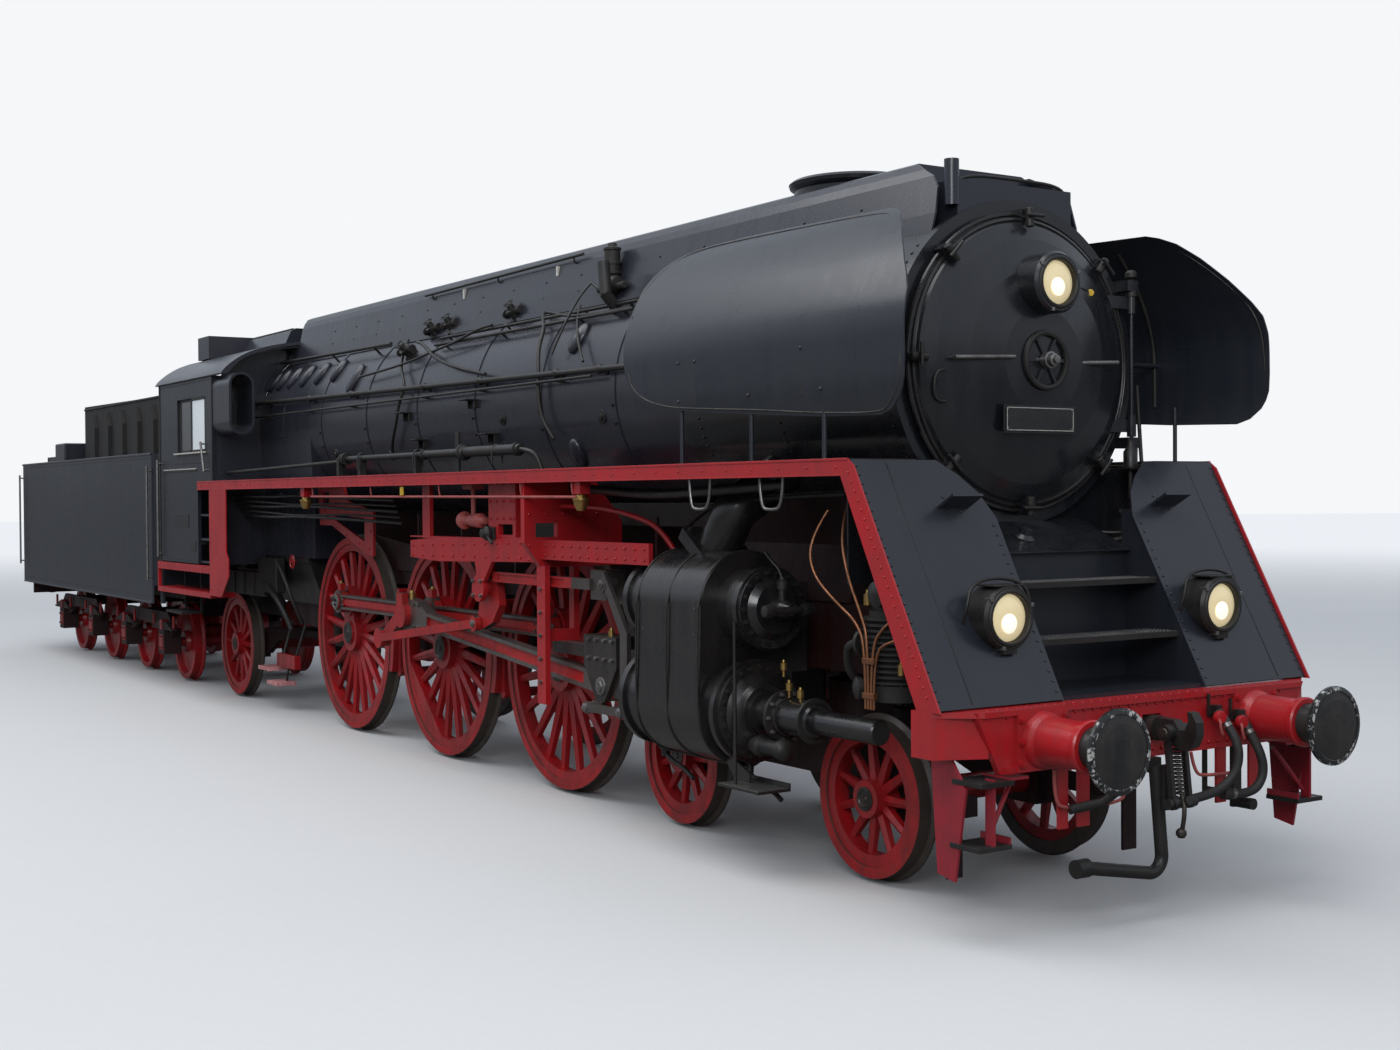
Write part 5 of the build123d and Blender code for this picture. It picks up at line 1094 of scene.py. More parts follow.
# %% Coupling details
# outline: reach, radius
THREAD_RING = [(0, 0.024), (0.007, 0.031), (0.014, 0.024)]
HANDLE_BALL = [(-0.03, 0), (-0.026, 0.018), (-0.01, 0.03), (0.01, 0.03), (0.026, 0.018), (0.03, 0)]
coupling = []
coupling.append(rod((11.745, -0.1, 1.078), (11.745, 0.1, 1.078), 0.03, 20))
for share in range(12):
    z = 0.73 + 0.022 * share
    coupling.append(turned(THREAD_RING, (11.784 - 0.0025 * share, 0, z), UPWARD, steps=14))
keep(coupling, "coupling_screw", dark_steel)
handle = bent_rod([
    (11.79, 0.0, 0.74), (11.83, -0.02, 0.7), (11.84, -0.03, 0.6), (11.81, -0.02, 0.52),
], 0.014)
keep(handle, "coupling_handle", dark_steel)
ball = turned(HANDLE_BALL, (11.808, -0.02, 0.515), UPWARD, steps=16)
keep(ball, "coupling_ball", dark_steel)

# %% [markdown]
# Each hose starts at a cock with a red head and a pink handle. Bent rods under the beam held the spare
# couplings.

# %% Cocks and bent rods
# outline: reach, radius
COCK_HEAD = [(0, 0), (0, 0.036), (0.02, 0.04), (0.036, 0.034), (0.04, 0)]
heads = [
    turned(COCK_HEAD, (11.655, y - 0.016, z), (1, -0.2, 0), steps=20)
    for y, z in ((0.486, 1.118), (0.679, 1.077), (-0.34, 1.15))
]
keep(heads, "cock_heads", red_paint)
handles = [
    bent_rod([
        (11.672, y - 0.05, z + 0.02), (11.692, y - 0.052, z + 0.0), (11.692, y - 0.05, z - 0.05),
        (11.69, y - 0.03, z - 0.08),
    ], 0.009)
    for y, z in ((0.5, 1.1), (0.69, 1.06))
]
keep(handles, "cock_handles", pink_paint)
hangers = [
    bent_rod([(11.6, -0.8, 0.92), (11.6, -0.8, 0.76), (11.61, -0.74, 0.69), (11.61, -0.5, 0.69)], 0.01),
    bent_rod([(11.61, -0.5, 0.69), (11.61, -0.3, 0.69), (11.62, -0.26, 0.74), (11.62, -0.26, 0.92)], 0.01),
    bent_rod([(11.6, 0.3, 0.92), (11.6, 0.33, 0.8), (11.61, 0.4, 0.77), (11.61, 0.66, 0.77)], 0.01),
]
keep(hangers, "beam_bent_rods", pink_paint)

# %% [markdown]
# A steel band clamps each end of a hose. It is a short turned ring whose axis follows the hose's own
# direction there, so that it sits square on the rubber.

# %% Hose bands
# outline: reach, radius
HOSE_BAND = [(-0.012, 0.027), (-0.012, 0.0305), (0.012, 0.0305), (0.012, 0.027)]
# hose: place of a band, direction of the hose there
BANDS = {
    "brake_hose_1": [
        ((11.688, 0.513, 1.067), (0.65, 0.14, -0.75)), ((11.682, 0.11, 0.662), (-0.07, -1, -0.04)),
    ],
    "brake_hose_2": [
        ((11.688, 0.707, 1.016), (0.52, 0.17, -0.84)), ((11.707, 0.54, 0.669), (-0.26, -0.96, 0.11)),
    ],
}
bands = []
for node, places in BANDS.items():
    for place, way in places:
        bands.append(turned(HOSE_BAND, place, way, steps=20))
keep(bands, "hose_bands", worn_steel)

# %% [markdown]
# ## Boiler fittings
# Along each side of the boiler run handrails on round knobs, small steps for climbing, feed valves
# with their pipes, and plugs for washing the boiler out. They sit on the cladding, so each place is
# worked out from the cladding's radius.

# %% Boiler fittings
BOILER_Z = 3.25
CLADDING = 0.96
RAIL_REAR, RAIL_FRONT = Vector((-1.04, -0.9898, 3.535)), Vector((7.426, -1.0189, 3.401))


def on_barrel(x, z, lift=0.0):
    """A point on the right-hand cladding at a height, and the direction straight out of it."""
    rise = z - BOILER_Z
    across = -math.sqrt((CLADDING + lift) ** 2 - rise ** 2)
    reach = CLADDING + lift
    return Vector((x, across, z)), Vector((0, across / reach, rise / reach))


def rail_point(x):
    """A point on the upper handrail, which falls and spreads a little towards the front."""
    share = (x - RAIL_REAR.x) / (RAIL_FRONT.x - RAIL_REAR.x)
    return RAIL_REAR.lerp(RAIL_FRONT, share)


print("the handrail is", round((RAIL_FRONT - RAIL_REAR).length, 3), "m long")

# %% [markdown]
# Round knobs carry the upper handrail. Each is a small ball on a tapered foot that points straight out
# of the barrel.

# %% Handrail knobs
# outline: reach, radius
RAIL_KNOB = [(-0.04, 0), (-0.034, 0.022), (-0.012, 0.037), (0.012, 0.037), (0.034, 0.022), (0.04, 0)]
KNOB_FOOT = [(0, 0.034), (0.014, 0.034), (0.022, 0.018), (0.045, 0.015)]
knobs = []
for x in (-0.7, 0.7, 1.9, 3.7, 4.9, 6.3, 7.0):
    point = rail_point(x)
    outward = Vector((0, point.y, point.z - BOILER_Z)).normalized()
    knobs.append(turned(RAIL_KNOB, point, AHEAD, steps=16))
    foot = point - outward * 0.07
    knobs.append(turned(KNOB_FOOT, foot, outward, steps=14))
keep_pair(knobs, "handrail_knobs", iron_black)

# %% [markdown]
# Small plates on two brackets let a fitter climb to the valves. Each starts at the cladding's surface
# at its height, so none hangs in the air and none is sunk in.

# %% Boiler steps
steps = []
for x, z in ((3.242, 3.238), (3.497, 2.975), (4.667, 3.289), (4.985, 2.98)):
    point, outward = on_barrel(x, z)
    steps.append(slab((x - 0.075, point.y - 0.125, z - 0.006), (x + 0.075, point.y + 0.01, z + 0.006)))
    steps.append(slab((x - 0.07, point.y - 0.035, z - 0.075), (x - 0.058, point.y + 0.02, z)))
    steps.append(slab((x + 0.058, point.y - 0.035, z - 0.075), (x + 0.07, point.y + 0.02, z)))
keep_pair(steps, "boiler_steps", iron_black)

# %% [markdown]
# Shut-off valves stand along the barrel: a flange, a body, a cross pipe with a union at each end, and
# a small handwheel. All are turned from outlines and set along the same outward direction.

# %% Boiler valves
# outline: reach, radius
VALVE_BODY = [
    (-0.02, 0.075), (0.018, 0.075), (0.024, 0.048), (0.075, 0.044), (0.08, 0.062), (0.105, 0.062),
    (0.11, 0.036), (0.15, 0.03), (0.158, 0),
]
UNION = [(0, 0), (0, 0.04), (0.02, 0.04), (0.024, 0)]
VALVE_WHEEL = [(-0.006, 0.045), (0, 0.038), (0.008, 0.045), (0, 0.053), (-0.006, 0.045)]
valves = []
for x, z in ((3.103, 4.002), (3.45, 4.02), (4.797, 4.012), (5.441, 4.115), (2.898, 3.818)):
    point, outward = on_barrel(x, z)
    valves.append(turned(VALVE_BODY, point, outward, steps=20))
    neck = point + outward * 0.075
    valves.append(rod(neck + Vector((-0.13, 0, -0.01)), neck + Vector((0.13, 0, 0.01)), 0.027))
    for step in (Vector((0.13, 0, 0.01)), Vector((-0.15, 0, -0.01))):
        valves.append(turned(UNION, neck + step, AHEAD, steps=14))
    wheel = point + outward * 0.165
    valves.append(turned(VALVE_WHEEL, wheel, outward, steps=18))
    valves.append(rod(wheel + Vector((-0.042, 0, 0)), wheel + Vector((0.042, 0, 0)), 0.006, 8))
keep_pair(valves, "boiler_valves", iron_black)

# %% [markdown]
# A tall ribbed canister stands on a valve body just behind the deflector. The ribs are only steps in
# its outline.

# %% Feed valve beside the deflector
# outline: reach, radius
RIBBED_CAN = [
    (0, 0), (0, 0.06), (0.015, 0.072), (0.03, 0.072), (0.036, 0.064), (0.085, 0.064), (0.09, 0.07),
    (0.11, 0.07), (0.115, 0.064), (0.2, 0.064), (0.206, 0.072), (0.222, 0.072), (0.235, 0.04),
    (0.262, 0.034), (0.266, 0),
]
FEED_BODY = [
    (-0.1, 0), (-0.098, 0.05), (-0.06, 0.075), (0.02, 0.086), (0.08, 0.07), (0.1, 0.048), (0.104, 0),
]
top_feed = [
    turned(RIBBED_CAN, (6.555, -0.64, 4.19), UPWARD), turned(FEED_BODY, (6.555, -0.65, 4.11), (1, 0, 0.15)),
    rod((6.555, -0.645, 4.02), (6.555, -0.645, 4.2), 0.046),
    rod((6.34, -0.64, 4.1), (6.76, -0.65, 4.1), 0.03), rod((6.36, -0.66, 4.11), (6.25, -0.66, 4.17), 0.012),
    bent_rod([
        (6.25, -0.66, 4.17), (6.22, -0.72, 4.1), (6.21, -0.8, 3.98), (6.2, -0.9, 3.8), (6.16, -0.985, 3.58),
    ], 0.01),
]
keep(top_feed, "top_feed_valve", iron_black)

# %% [markdown]
# The washout holes are closed by domed oval covers that lean forward. Each starts as a ball that is
# cut flat below, stretched to its length and width, and turned to the cladding's slope. That gives a
# soft edge all round, which a beveled box would not.

# %% Washout covers
def bulge(x, angle, length, width, height):
    """A smooth domed washout cover on the right-hand cladding, leaning forward."""
    turn, lean = math.radians(angle), math.radians(18)
    out = Vector((0, -math.cos(turn), math.sin(turn)))
    up = Vector((math.sin(lean), math.sin(turn) * math.cos(lean), math.cos(turn) * math.cos(lean)))
    clear()
    bpy.ops.mesh.primitive_uv_sphere_add(segments=24, ring_count=14, radius=0.5)
    piece = bpy.context.object
    for point in piece.data.vertices:
        point.co.z = max(point.co.z, -0.2)
    piece.scale = (length, width, 2 * height)
    bpy.ops.object.transform_apply(location=False, rotation=False, scale=True)
    side = out.cross(up)
    frame_turn = Matrix((up, side, out)).transposed().to_4x4()
    foot = Vector((x, 0, BOILER_Z)) + out * (CLADDING + 0.006)
    piece.matrix_world = Matrix.Translation(foot) @ frame_turn
    settle()
    bpy.ops.object.shade_smooth()
    return piece


# place along, angle above the middle, length, width
WASHOUTS = (
    (-0.96, 34, 0.25, 0.118), (-0.66, 34, 0.25, 0.118), (-0.29, 34, 0.25, 0.118),
    (0.11, 34, 0.25, 0.118), (0.553, 34, 0.25, 0.118), (1.045, 34, 0.25, 0.118),
    (1.69, 25, 0.31, 0.15), (6.39, 27.8, 0.24, 0.14), (6.334, -29.5, 0.24, 0.14),
)
washouts = [bulge(x, angle, length + 0.05, width + 0.03, 0.052) for x, angle, length, width in WASHOUTS]
keep_pair(washouts, "washout_covers", cladding_black_and_painted_sheen)

# %% [markdown]
# Thin pipes run in long bends from valve to valve, and a straight rail on small brackets follows the
# casing's edge, with two pale marks on it.

# %% Feed pipes and casing rail
feeds = [
    bent_rod([
        (3.1, -0.8, 3.93), (3.35, -0.86, 3.9), (3.75, -0.92, 3.72), (4.4, -0.975, 3.58),
        (4.95, -0.985, 3.5),
    ], 0.016),
    bent_rod([
        (4.66, -0.775, 3.96), (4.45, -0.8, 3.95), (4.1, -0.845, 3.86), (3.6, -0.87, 3.8), (2.9, -0.93, 3.7),
        (2.0, -0.95, 3.66),
    ], 0.013),
    bent_rod([
        (5.44, -0.66, 4.0), (5.62, -0.7, 3.99), (5.95, -0.76, 3.92), (6.45, -0.8, 3.88), (7.1, -0.8, 3.88),
    ], 0.013),
]
keep_pair(feeds, "feed_pipes", iron_black)

rail = [rod((2.785, -0.575, 4.419), (5.967, -0.575, 4.443), 0.013)]
for x in (2.95, 4.38, 5.8):
    z = 4.419 + 0.024 * (x - 2.785) / 3.182
    rail.append(
        bent_rod([
            (x, -0.52, z - 0.045), (x, -0.56, z - 0.06), (x, -0.575, z - 0.02), (x, -0.575, z),
        ], 0.009),
    )
keep_pair(rail, "casing_rail", iron_black)
marks = [
    slab((3.635, -0.575, 4.3), (3.665, -0.548, 4.395), 0.002),
    slab((5.485, -0.575, 4.31), (5.515, -0.548, 4.395), 0.002),
]
keep(marks, "casing_white_marks", pale_paint)

# %% [markdown]
# Screwed plugs close the smaller holes. Those on the firebox point straight sideways, and those on
# the barrel point out of its curve.

# %% Washout plugs
# outline: reach, radius
SIDE_PLUG = [(0, 0.045), (0.012, 0.045), (0.016, 0.025), (0.03, 0.022), (0.034, 0)]
BARREL_PLUG = [(-0.004, 0.055), (0.01, 0.053), (0.014, 0.028), (0.026, 0.026), (0.03, 0)]
plugs = [
    turned(SIDE_PLUG, (x, -0.901, z), TO_RIGHT, steps=16)
    for x, z in ((-0.55, 2.46), (0.05, 2.46), (0.45, 2.46))
]
for x, z in ((1.2, 2.9), (2.6, 2.85), (5.2, 3.1), (6.9, 3.05)):
    point, outward = on_barrel(x, z)
    plugs.append(turned(BARREL_PLUG, point, outward, steps=16))
keep_pair(plugs, "washout_plugs", iron_black)

NUT_ANGLE = 36
cover_nuts = []
for x in (-0.96, -0.66, -0.29, 0.11, 0.553, 1.045):
    turn = math.radians(NUT_ANGLE)
    reach = CLADDING + 0.04
    out = (0, -math.cos(turn), math.sin(turn))
    cover_nuts.append(((x + 0.015, reach * out[1], BOILER_Z + reach * out[2]), out))
keep(mirrored(copies(nut(0.018, 0.014), cover_nuts)), "cover_nuts", iron_black)

# %% [markdown]
# Each cladding band is drawn tight by two screws, and the casing's sheets are riveted in two rows.
# Their even spacing shows the scale of the long plain surfaces.

# %% Band screws and casing rivets
band_ends = []
for x in (-0.3, 0.9, 2.15, 3.4, 4.65, 5.9, 7.1):
    for z in (2.99, 3.13):
        point, outward = on_barrel(x, z, 0.008)
        band_ends.append((point, outward))
keep(mirrored(copies(nut(0.013, 0.012), band_ends)), "band_screws", iron_black)

seam_spots = []
for x in [0.35 + 0.62 * i for i in range(16)]:
    for y, z, out in ((-0.604, 4.14, (0, -0.98, 0.19)), (-0.576, 4.275, (0, -0.97, 0.25))):
        seam_spots.append(((x, y, z), out))
keep(mirrored(copies(rivet(0.01, 0.006), seam_spots)), "casing_rivets", cladding_black_and_painted_sheen)
top_rail = bent_rod([
    (10.418, -0.48, 4.33), (10.46, -0.44, 4.392), (10.46, 0.0, 4.4), (10.46, 0.44, 4.392),
    (10.418, 0.48, 4.33),
], 0.011)
keep(top_rail, "smokebox_top_rail", iron_black)

# %% [markdown]
# ## Smoke deflectors
# The bent sheets are stiffened by a thin half-round bead all round, which catches the light. It
# follows the sheet's outline, and its place across comes from the same curve as the sheet's bend.

# %% Deflector beads
# reach across, height
BEND = [
    (1.476, 2.86), (1.498, 2.95), (1.512, 3.08), (1.514, 3.24), (1.512, 3.4), (1.502, 3.47), (1.476, 3.556),
    (1.428, 3.666), (1.388, 3.743), (1.294, 3.891), (1.196, 4.014), (1.148, 4.063), (1.09, 4.11),
    (1.01, 4.17),
]
# place along, height
EDGE = [
    (8.211, 3.3), (8.15, 3.68), (8.128, 3.88), (8.19, 4.01), (8.34, 4.105), (8.54, 4.142), (9.07, 4.152),
    (10.56, 4.115), (10.74, 4.05), (11.0, 3.8), (11.175, 3.56), (11.195, 3.2), (11.17, 3.02),
    (11.06, 2.905), (10.96, 2.875), (10.4, 2.89), (9.839, 2.924), (9.29, 2.96), (8.805, 2.998),
    (8.56, 3.04), (8.39, 3.098), (8.28, 3.17),
]


def bend_across(z):
    """The sheet's place across at a height."""
    for (y0, z0), (y1, z1) in zip(BEND, BEND[1:]):
        if z0 <= z <= z1:
            return y0 + (y1 - y0) * (z - z0) / (z1 - z0)
    return BEND[0][0] if z < BEND[0][1] else BEND[-1][0]


def inset_edge(step):
    """The outline drawn in towards its middle by a step."""
    middle = Vector((9.75, 3.5))
    rows = []
    for x, z in EDGE:
        away = (middle - Vector((x, z))).normalized()
        rows.append((x + away.x * step, z + away.y * step))
    return rows


edge_points = [(x, -bend_across(z) - 0.001, z) for x, z in inset_edge(0.03)]
bead = bent_rod(edge_points + edge_points[:2], 0.0055)
keep(mirrored(bead), "deflector_beads", dark_steel)

# %% [markdown]
# A few rivets show where the inner ribs are fixed, and the ribs follow the sheet's bend on its inner
# side. Each rib is one curve.

# %% Deflector rivets and ribs
studs = [
    ((x, -bend_across(z) - 0.0005, z), TO_RIGHT)
    for x, z in ((8.9, 3.3), (9.1, 3.3), (10.25, 3.3), (10.44, 3.05), (9.7, 3.05), (8.9, 3.05))
]
keep(mirrored(copies(rivet(0.014, 0.008), studs)), "deflector_rivets", cladding_black_and_painted_sheen)
inner_frames = [
    bent_rod([
        (x, -1.5, 3.02), (x, -1.5, 3.24), (x, -1.488, 3.45), (x, -1.4, 3.7), (x, -1.27, 3.9),
        (x, -1.15, 4.04),
    ], 0.014)
    for x in (9.1, 10.25)
]
keep_pair(inner_frames, "deflector_ribs", iron_black)

# %% [markdown]
# ## Front apron
# The sloping front is plated: rivets run along its red edge, a seam runs down each side plate, and
# the two treads between the plates are chequered against slipping.

# %% Apron
SLOPE_DOWN = Vector((0.4824, 0, -0.876))
SLOPE_OUT = Vector((0.876, 0, 0.4824))


def slope_point(reach, across):
    """A point on the apron's slope: how far down it and how far across."""
    return Vector((10.713, across, 2.64)) + SLOPE_DOWN * reach


OUTER_EDGE, INNER_EDGE = 1.485, 0.618
apron_rivets = []
for side in (-1, 1):
    for i in range(26):
        apron_rivets.append((slope_point(0.05 + 0.058 * i, side * OUTER_EDGE), SLOPE_OUT))
    for i in range(18):
        apron_rivets.append((slope_point(0.45 + 0.062 * i, side * INNER_EDGE), SLOPE_OUT))
    for i in range(4):
        reach = 0.36 + (i // 2) * 0.09 - 0.09
        apron_rivets.append((slope_point(reach - 0.01, side * (0.83 + 0.1 * (i % 2))), SLOPE_OUT))
keep(copies(rivet(0.01, 0.006), apron_rivets), "apron_rivets", cladding_black_and_painted_sheen)

# %% [markdown]
# A thin seam runs down each side plate. The treads are chequered: one low diamond is modelled and
# copied in rows that are shifted by half a step, as on rolled plate.

# %% Seams and chequered treads
seams = [rod(slope_point(0.03, y), slope_point(1.54, y), 0.0035, 8) for y in (-1.26, 1.26)]
keep(seams, "apron_seams", iron_black)
studs = []
for x0, z, count in ((10.86, 1.911, 6), (11.02, 1.592, 6)):
    for i in range(count):
        for j in range(34):
            studs.append(((x0 + 0.04 * i + 0.01, -0.57 + 0.0345 * j + 0.017 * (i % 2), z), UPWARD))


def stud():
    """One low diamond of a chequered tread."""
    clear()
    bpy.ops.mesh.primitive_cone_add(
        vertices=4, radius1=0.011, radius2=0.005, depth=0.004, location=(0, 0, 0.002),
    )
    bpy.context.object.scale = (1.0, 0.6, 1.0)
    settle()
    return bpy.context.object


keep(copies(stud(), studs), "tread_chequer", tread_worn)
nosing = [
    slab((11.084, -0.585, 1.878), (11.092, 0.585, 1.914), 0.002),
    slab((11.254, -0.585, 1.559), (11.262, 0.585, 1.595), 0.002),
]
keep(nosing, "tread_nosings", iron_black)

# %% [markdown]
# The low steps at the front have a tread plate with round bars across, so that a shoe doesn't slip.

# %% Front steps and nuts
low_treads = []
for x0, x1, z in ((11.455, 11.685, 0.9048), (11.435, 11.665, 0.5598)):
    low_treads.append(slab((x0 - 0.004, -1.409, z - 0.024), (x1 + 0.004, -1.176, z + 0.004), 0.003))
    for i in range(6):
        x = x0 + 0.03 + 0.034 * i
        low_treads.append(rod((x, -1.395, z + 0.004), (x, -1.195, z + 0.004), 0.003, 6))
keep_pair(low_treads, "front_step_treads", iron_black)
foot_bolts = []
for side in (-1, 1):
    for across in (0.8, 0.96):
        for lift in (0.05, 0.12):
            foot_bolts.append((slope_point(0.325 - 0.012, side * across) + SLOPE_OUT * lift, -SLOPE_DOWN))
keep(copies(nut(0.012, 0.01), foot_bolts), "foot_nuts", iron_black)

# %% [markdown]
# A small oil can stands behind the left side plate, and two pipes run up to the smokebox past it.
# They stay clear of the door's swing.

# %% Lubricator and apron pipes
# outline: reach, radius
OIL_CAN = [(0, 0), (0, 0.046), (0.1, 0.046), (0.125, 0.03), (0.15, 0.02), (0.17, 0.02), (0.175, 0)]
can = [turned(OIL_CAN, (10.62, 0.86, 2.6), UPWARD, steps=20)]
can.append(slab((10.56, 0.8, 2.585), (10.68, 0.92, 2.6)))
can.append(rod((10.62, 0.86, 2.4), (10.62, 0.86, 2.6), 0.016))
keep(can, "lubricator_can", iron_black)
pipes = [
    bent_rod([
        (10.5, 0.72, 2.18), (10.6, 0.8, 2.17), (10.62, 0.92, 2.2), (10.52, 1.12, 2.24), (10.42, 1.18, 2.6),
        (10.4, 1.16, 3.15),
    ], 0.014),
    bent_rod([
        (10.5, 0.62, 2.14), (10.6, 0.7, 2.12), (10.68, 0.84, 2.16), (10.68, 1.0, 2.2), (10.66, 1.1, 2.26),
    ], 0.018),
]
keep(pipes, "apron_pipes", iron_black)

# %% [markdown]
# A plate leans from the apron's top up to the smokebox and closes the view to the frame. A cube is
# turned by the lean's own angle, so its ends land on the two given places.

# %% Plates behind the apron
# outline: reach, radius
DECK_CAP = [(0, 0.075), (0.02, 0.072), (0.04, 0.045), (0.075, 0.04), (0.08, 0)]


def leaning(start, end, half_width, thickness):
    """A plate across the engine that leans from one (x, z) place to another."""
    (x0, z0), (x1, z1) = start, end
    length = math.hypot(x1 - x0, z1 - z0)
    clear()
    bpy.ops.mesh.primitive_cube_add(
        size=1, location=((x0 + x1) / 2, 0, (z0 + z1) / 2), scale=(length, 2 * half_width, thickness),
        rotation=(0, math.atan2(z0 - z1, x1 - x0), 0),
    )
    return rounded(bpy.context.object, 0.003)


deck = [leaning((10.88, 2.075), (10.44, 2.27), 0.585, 0.012), slab((10.385, -1.28, 1.9), (10.4, 1.28, 2.6))]
deck.append(turned(DECK_CAP, (10.7, -0.16, 2.155), (0.4, 0, 0.9), steps=24))
keep(deck, "smokebox_deck", smokebox_black_and_painted_sheen)

# %% [markdown]
# ## Cylinders and pumps
# Each cylinder block is clad in sheet held by straps. Its covers are bolted on through studs, small
# brass oilers feed the glands, and the tail rod runs out of a long tube. The pump ahead of it is fed
# through thin copper pipes that gather in one clip.

# %% Cylinders
CYLINDER_Y, CYLINDER_Z = -1.15, 1.028
CHEST_Y, CHEST_Z = -1.135, 1.705


def strap(x):
    """A thin strap round the cladding of the cylinder and its valve chest."""
    reach = 0.3775
    points = []
    for degrees in range(0, 181, 30):
        a = math.radians(degrees)
        points.append((x, CHEST_Y - reach * math.cos(a), CHEST_Z + reach * math.sin(a)))
    for degrees in range(180, 361, 30):
        a = math.radians(degrees)
        points.append((x, CYLINDER_Y - reach * math.cos(a), CYLINDER_Z + reach * math.sin(a)))
    return bent_rod(points + points[:1], 0.007)


keep_pair([strap(x) for x in (8.345, 8.735, 9.118)], "cylinder_straps", iron_black)

# %% [markdown]
# The covers are held by studs with nuts in full circles. The rear cover's ring is open below,
# where the bogie's wheel comes near it when it swivels.

# %% Cover studs
studs = ring_spots((9.288, CYLINDER_Y, CYLINDER_Z), 0.289, 24)
studs += ring_spots((9.428, CHEST_Y, CHEST_Z), 0.232, 18)
studs += [
    spot
    for spot in ring_spots((8.062, CYLINDER_Y, CYLINDER_Z), 0.305, 16, sign=-1)
    if spot[0][2] > 1.06
]
keep(mirrored(copies(nut(0.017, 0.018), studs)), "cover_studs", iron_black)
screws = row_spots((8.735, -1.5005, 1.15), (8.735, -1.4915, 1.62), 4, TO_RIGHT)
screws += row_spots((9.05, -1.503, 1.03), (9.05, -1.491, 1.7), 5, TO_RIGHT)
screws += row_spots((8.41, -1.503, 1.03), (8.41, -1.491, 1.7), 5, TO_RIGHT)
keep(mirrored(copies(rivet(0.01, 0.007), screws)), "cladding_screws", worn_steel)

# %% [markdown]
# Stepped glands seal the rods where they leave the cylinder and the valve chest, and brass oilers
# drip on them. Each is one outline, turned.

# %% Glands and oilers
# outline: reach, radius
GLAND = [(0, 0.078), (0, 0.165), (0.03, 0.165), (0.034, 0.13), (0.06, 0.126), (0.064, 0.114)]
GLAND_RING = [(0, 0.112), (0, 0.142), (0.022, 0.142), (0.026, 0.112)]
SIDE_VALVE = [
    (0, 0), (0, 0.052), (0.05, 0.058), (0.06, 0.07), (0.09, 0.07), (0.1, 0.052), (0.28, 0.05),
    (0.29, 0.066), (0.34, 0.066), (0.36, 0.04), (0.365, 0),
]
PLUG_END = [(0, 0), (0, 0.038), (0.03, 0.044), (0.07, 0.036), (0.08, 0)]
TOP_PLUG = [(0, 0), (0, 0.036), (0.05, 0.036), (0.06, 0.02), (0.075, 0.018), (0.08, 0)]
OILER = [
    (-0.04, 0.01), (0, 0.01), (0.004, 0.022), (0.05, 0.022), (0.056, 0.012), (0.07, 0.01), (0.074, 0),
]
TUBE_MOUTH = [(-0.01, 0), (0.0006, 0.0005), (0.0006, 0.055), (0.0012, 0.06)]
glands = [
    turned(GLAND, (9.56, CYLINDER_Y, CYLINDER_Z)),
    turned(GLAND_RING, (9.878, CYLINDER_Y, CYLINDER_Z)),
    turned(SIDE_VALVE, (9.395, -1.26, 0.835)),
    rod((9.64, CHEST_Y - 0.155, CHEST_Z), (9.64, CHEST_Y + 0.155, CHEST_Z), 0.024),
    turned(PLUG_END, (9.64, CHEST_Y - 0.15, CHEST_Z), TO_RIGHT, steps=16),
    turned(PLUG_END, (9.64, CHEST_Y + 0.08, CHEST_Z), (0, 1, 0), steps=16),
    bent_rod([(9.53, -1.135, 1.84), (9.53, -1.135, 1.94), (9.42, -1.13, 2.0), (9.3, -1.1, 2.06)], 0.012),
    turned(TOP_PLUG, (9.53, -1.135, 1.835), UPWARD, steps=16),
]
keep_pair(glands, "cylinder_glands", iron_black)
keep(
    mirrored(copies(nut(0.014, 0.022), ring_spots((9.594, CYLINDER_Y, CYLINDER_Z), 0.148, 10))),
    "gland_nuts", worn_steel,
)
oilers = [
    turned(OILER, (x, y, z), UPWARD, steps=14)
    for x, y, z in ((9.43, -1.055, 1.3), (9.62, -1.15, 1.19), (9.74, -1.15, 1.155))
]
keep_pair(oilers, "cylinder_oilers", brass)
keep_pair([turned(TUBE_MOUTH, (10.536, CYLINDER_Y, CYLINDER_Z), steps=24)], "tail_rod_mouths", sooty_black)

# %% [markdown]
# The steam pipe's flange is bolted square to the slanting pipe, so its bolts are placed along and
# across the pipe's own direction. Drain cocks with bent outlets hang under the cylinder.

# %% Steam flanges and drain cocks
# outline: reach, radius
DRAIN_COCK = [(0, 0), (0, 0.03), (0.05, 0.034), (0.09, 0.022), (0.11, 0.02)]
flange_bolts = []
way, side = Vector((0.585, 0, 0.811)), Vector((0.811, 0, -0.585))
for a in (-0.16, 0.16):
    for b in (-0.16, 0.0, 0.16):
        flange_bolts.append(
            (Vector((8.71, -1.08, 2.063)) + way * 0.045 + Vector((0, b, 0)) + side * a, way),
        )
keep(mirrored(copies(nut(0.02, 0.024), flange_bolts)), "steam_flange_nuts", iron_black)
drains = []
for x in (8.15, 9.18):
    drains.append(turned(DRAIN_COCK, (x, -1.16, 0.6), UPWARD, steps=14))
    drains.append(bent_rod([
        (x, -1.16, 0.62), (x + 0.1, -1.18, 0.585), (x + 0.3, -1.2, 0.56), (x + 0.42, -1.2, 0.5),
    ], 0.016))
drains.append(rod((8.12, -1.195, 0.66), (9.22, -1.195, 0.66), 0.009))
keep_pair(drains, "drain_cocks", iron_black)
board = slab((9.25, -1.448, 0.5855), (9.695, -1.216, 0.59), 0.001)
keep(mirrored(board), "step_board", worn_steel)

# %% [markdown]
# Four thin copper pipes gather in two clips beside the pump and fan out above. Each is one smooth
# curve.

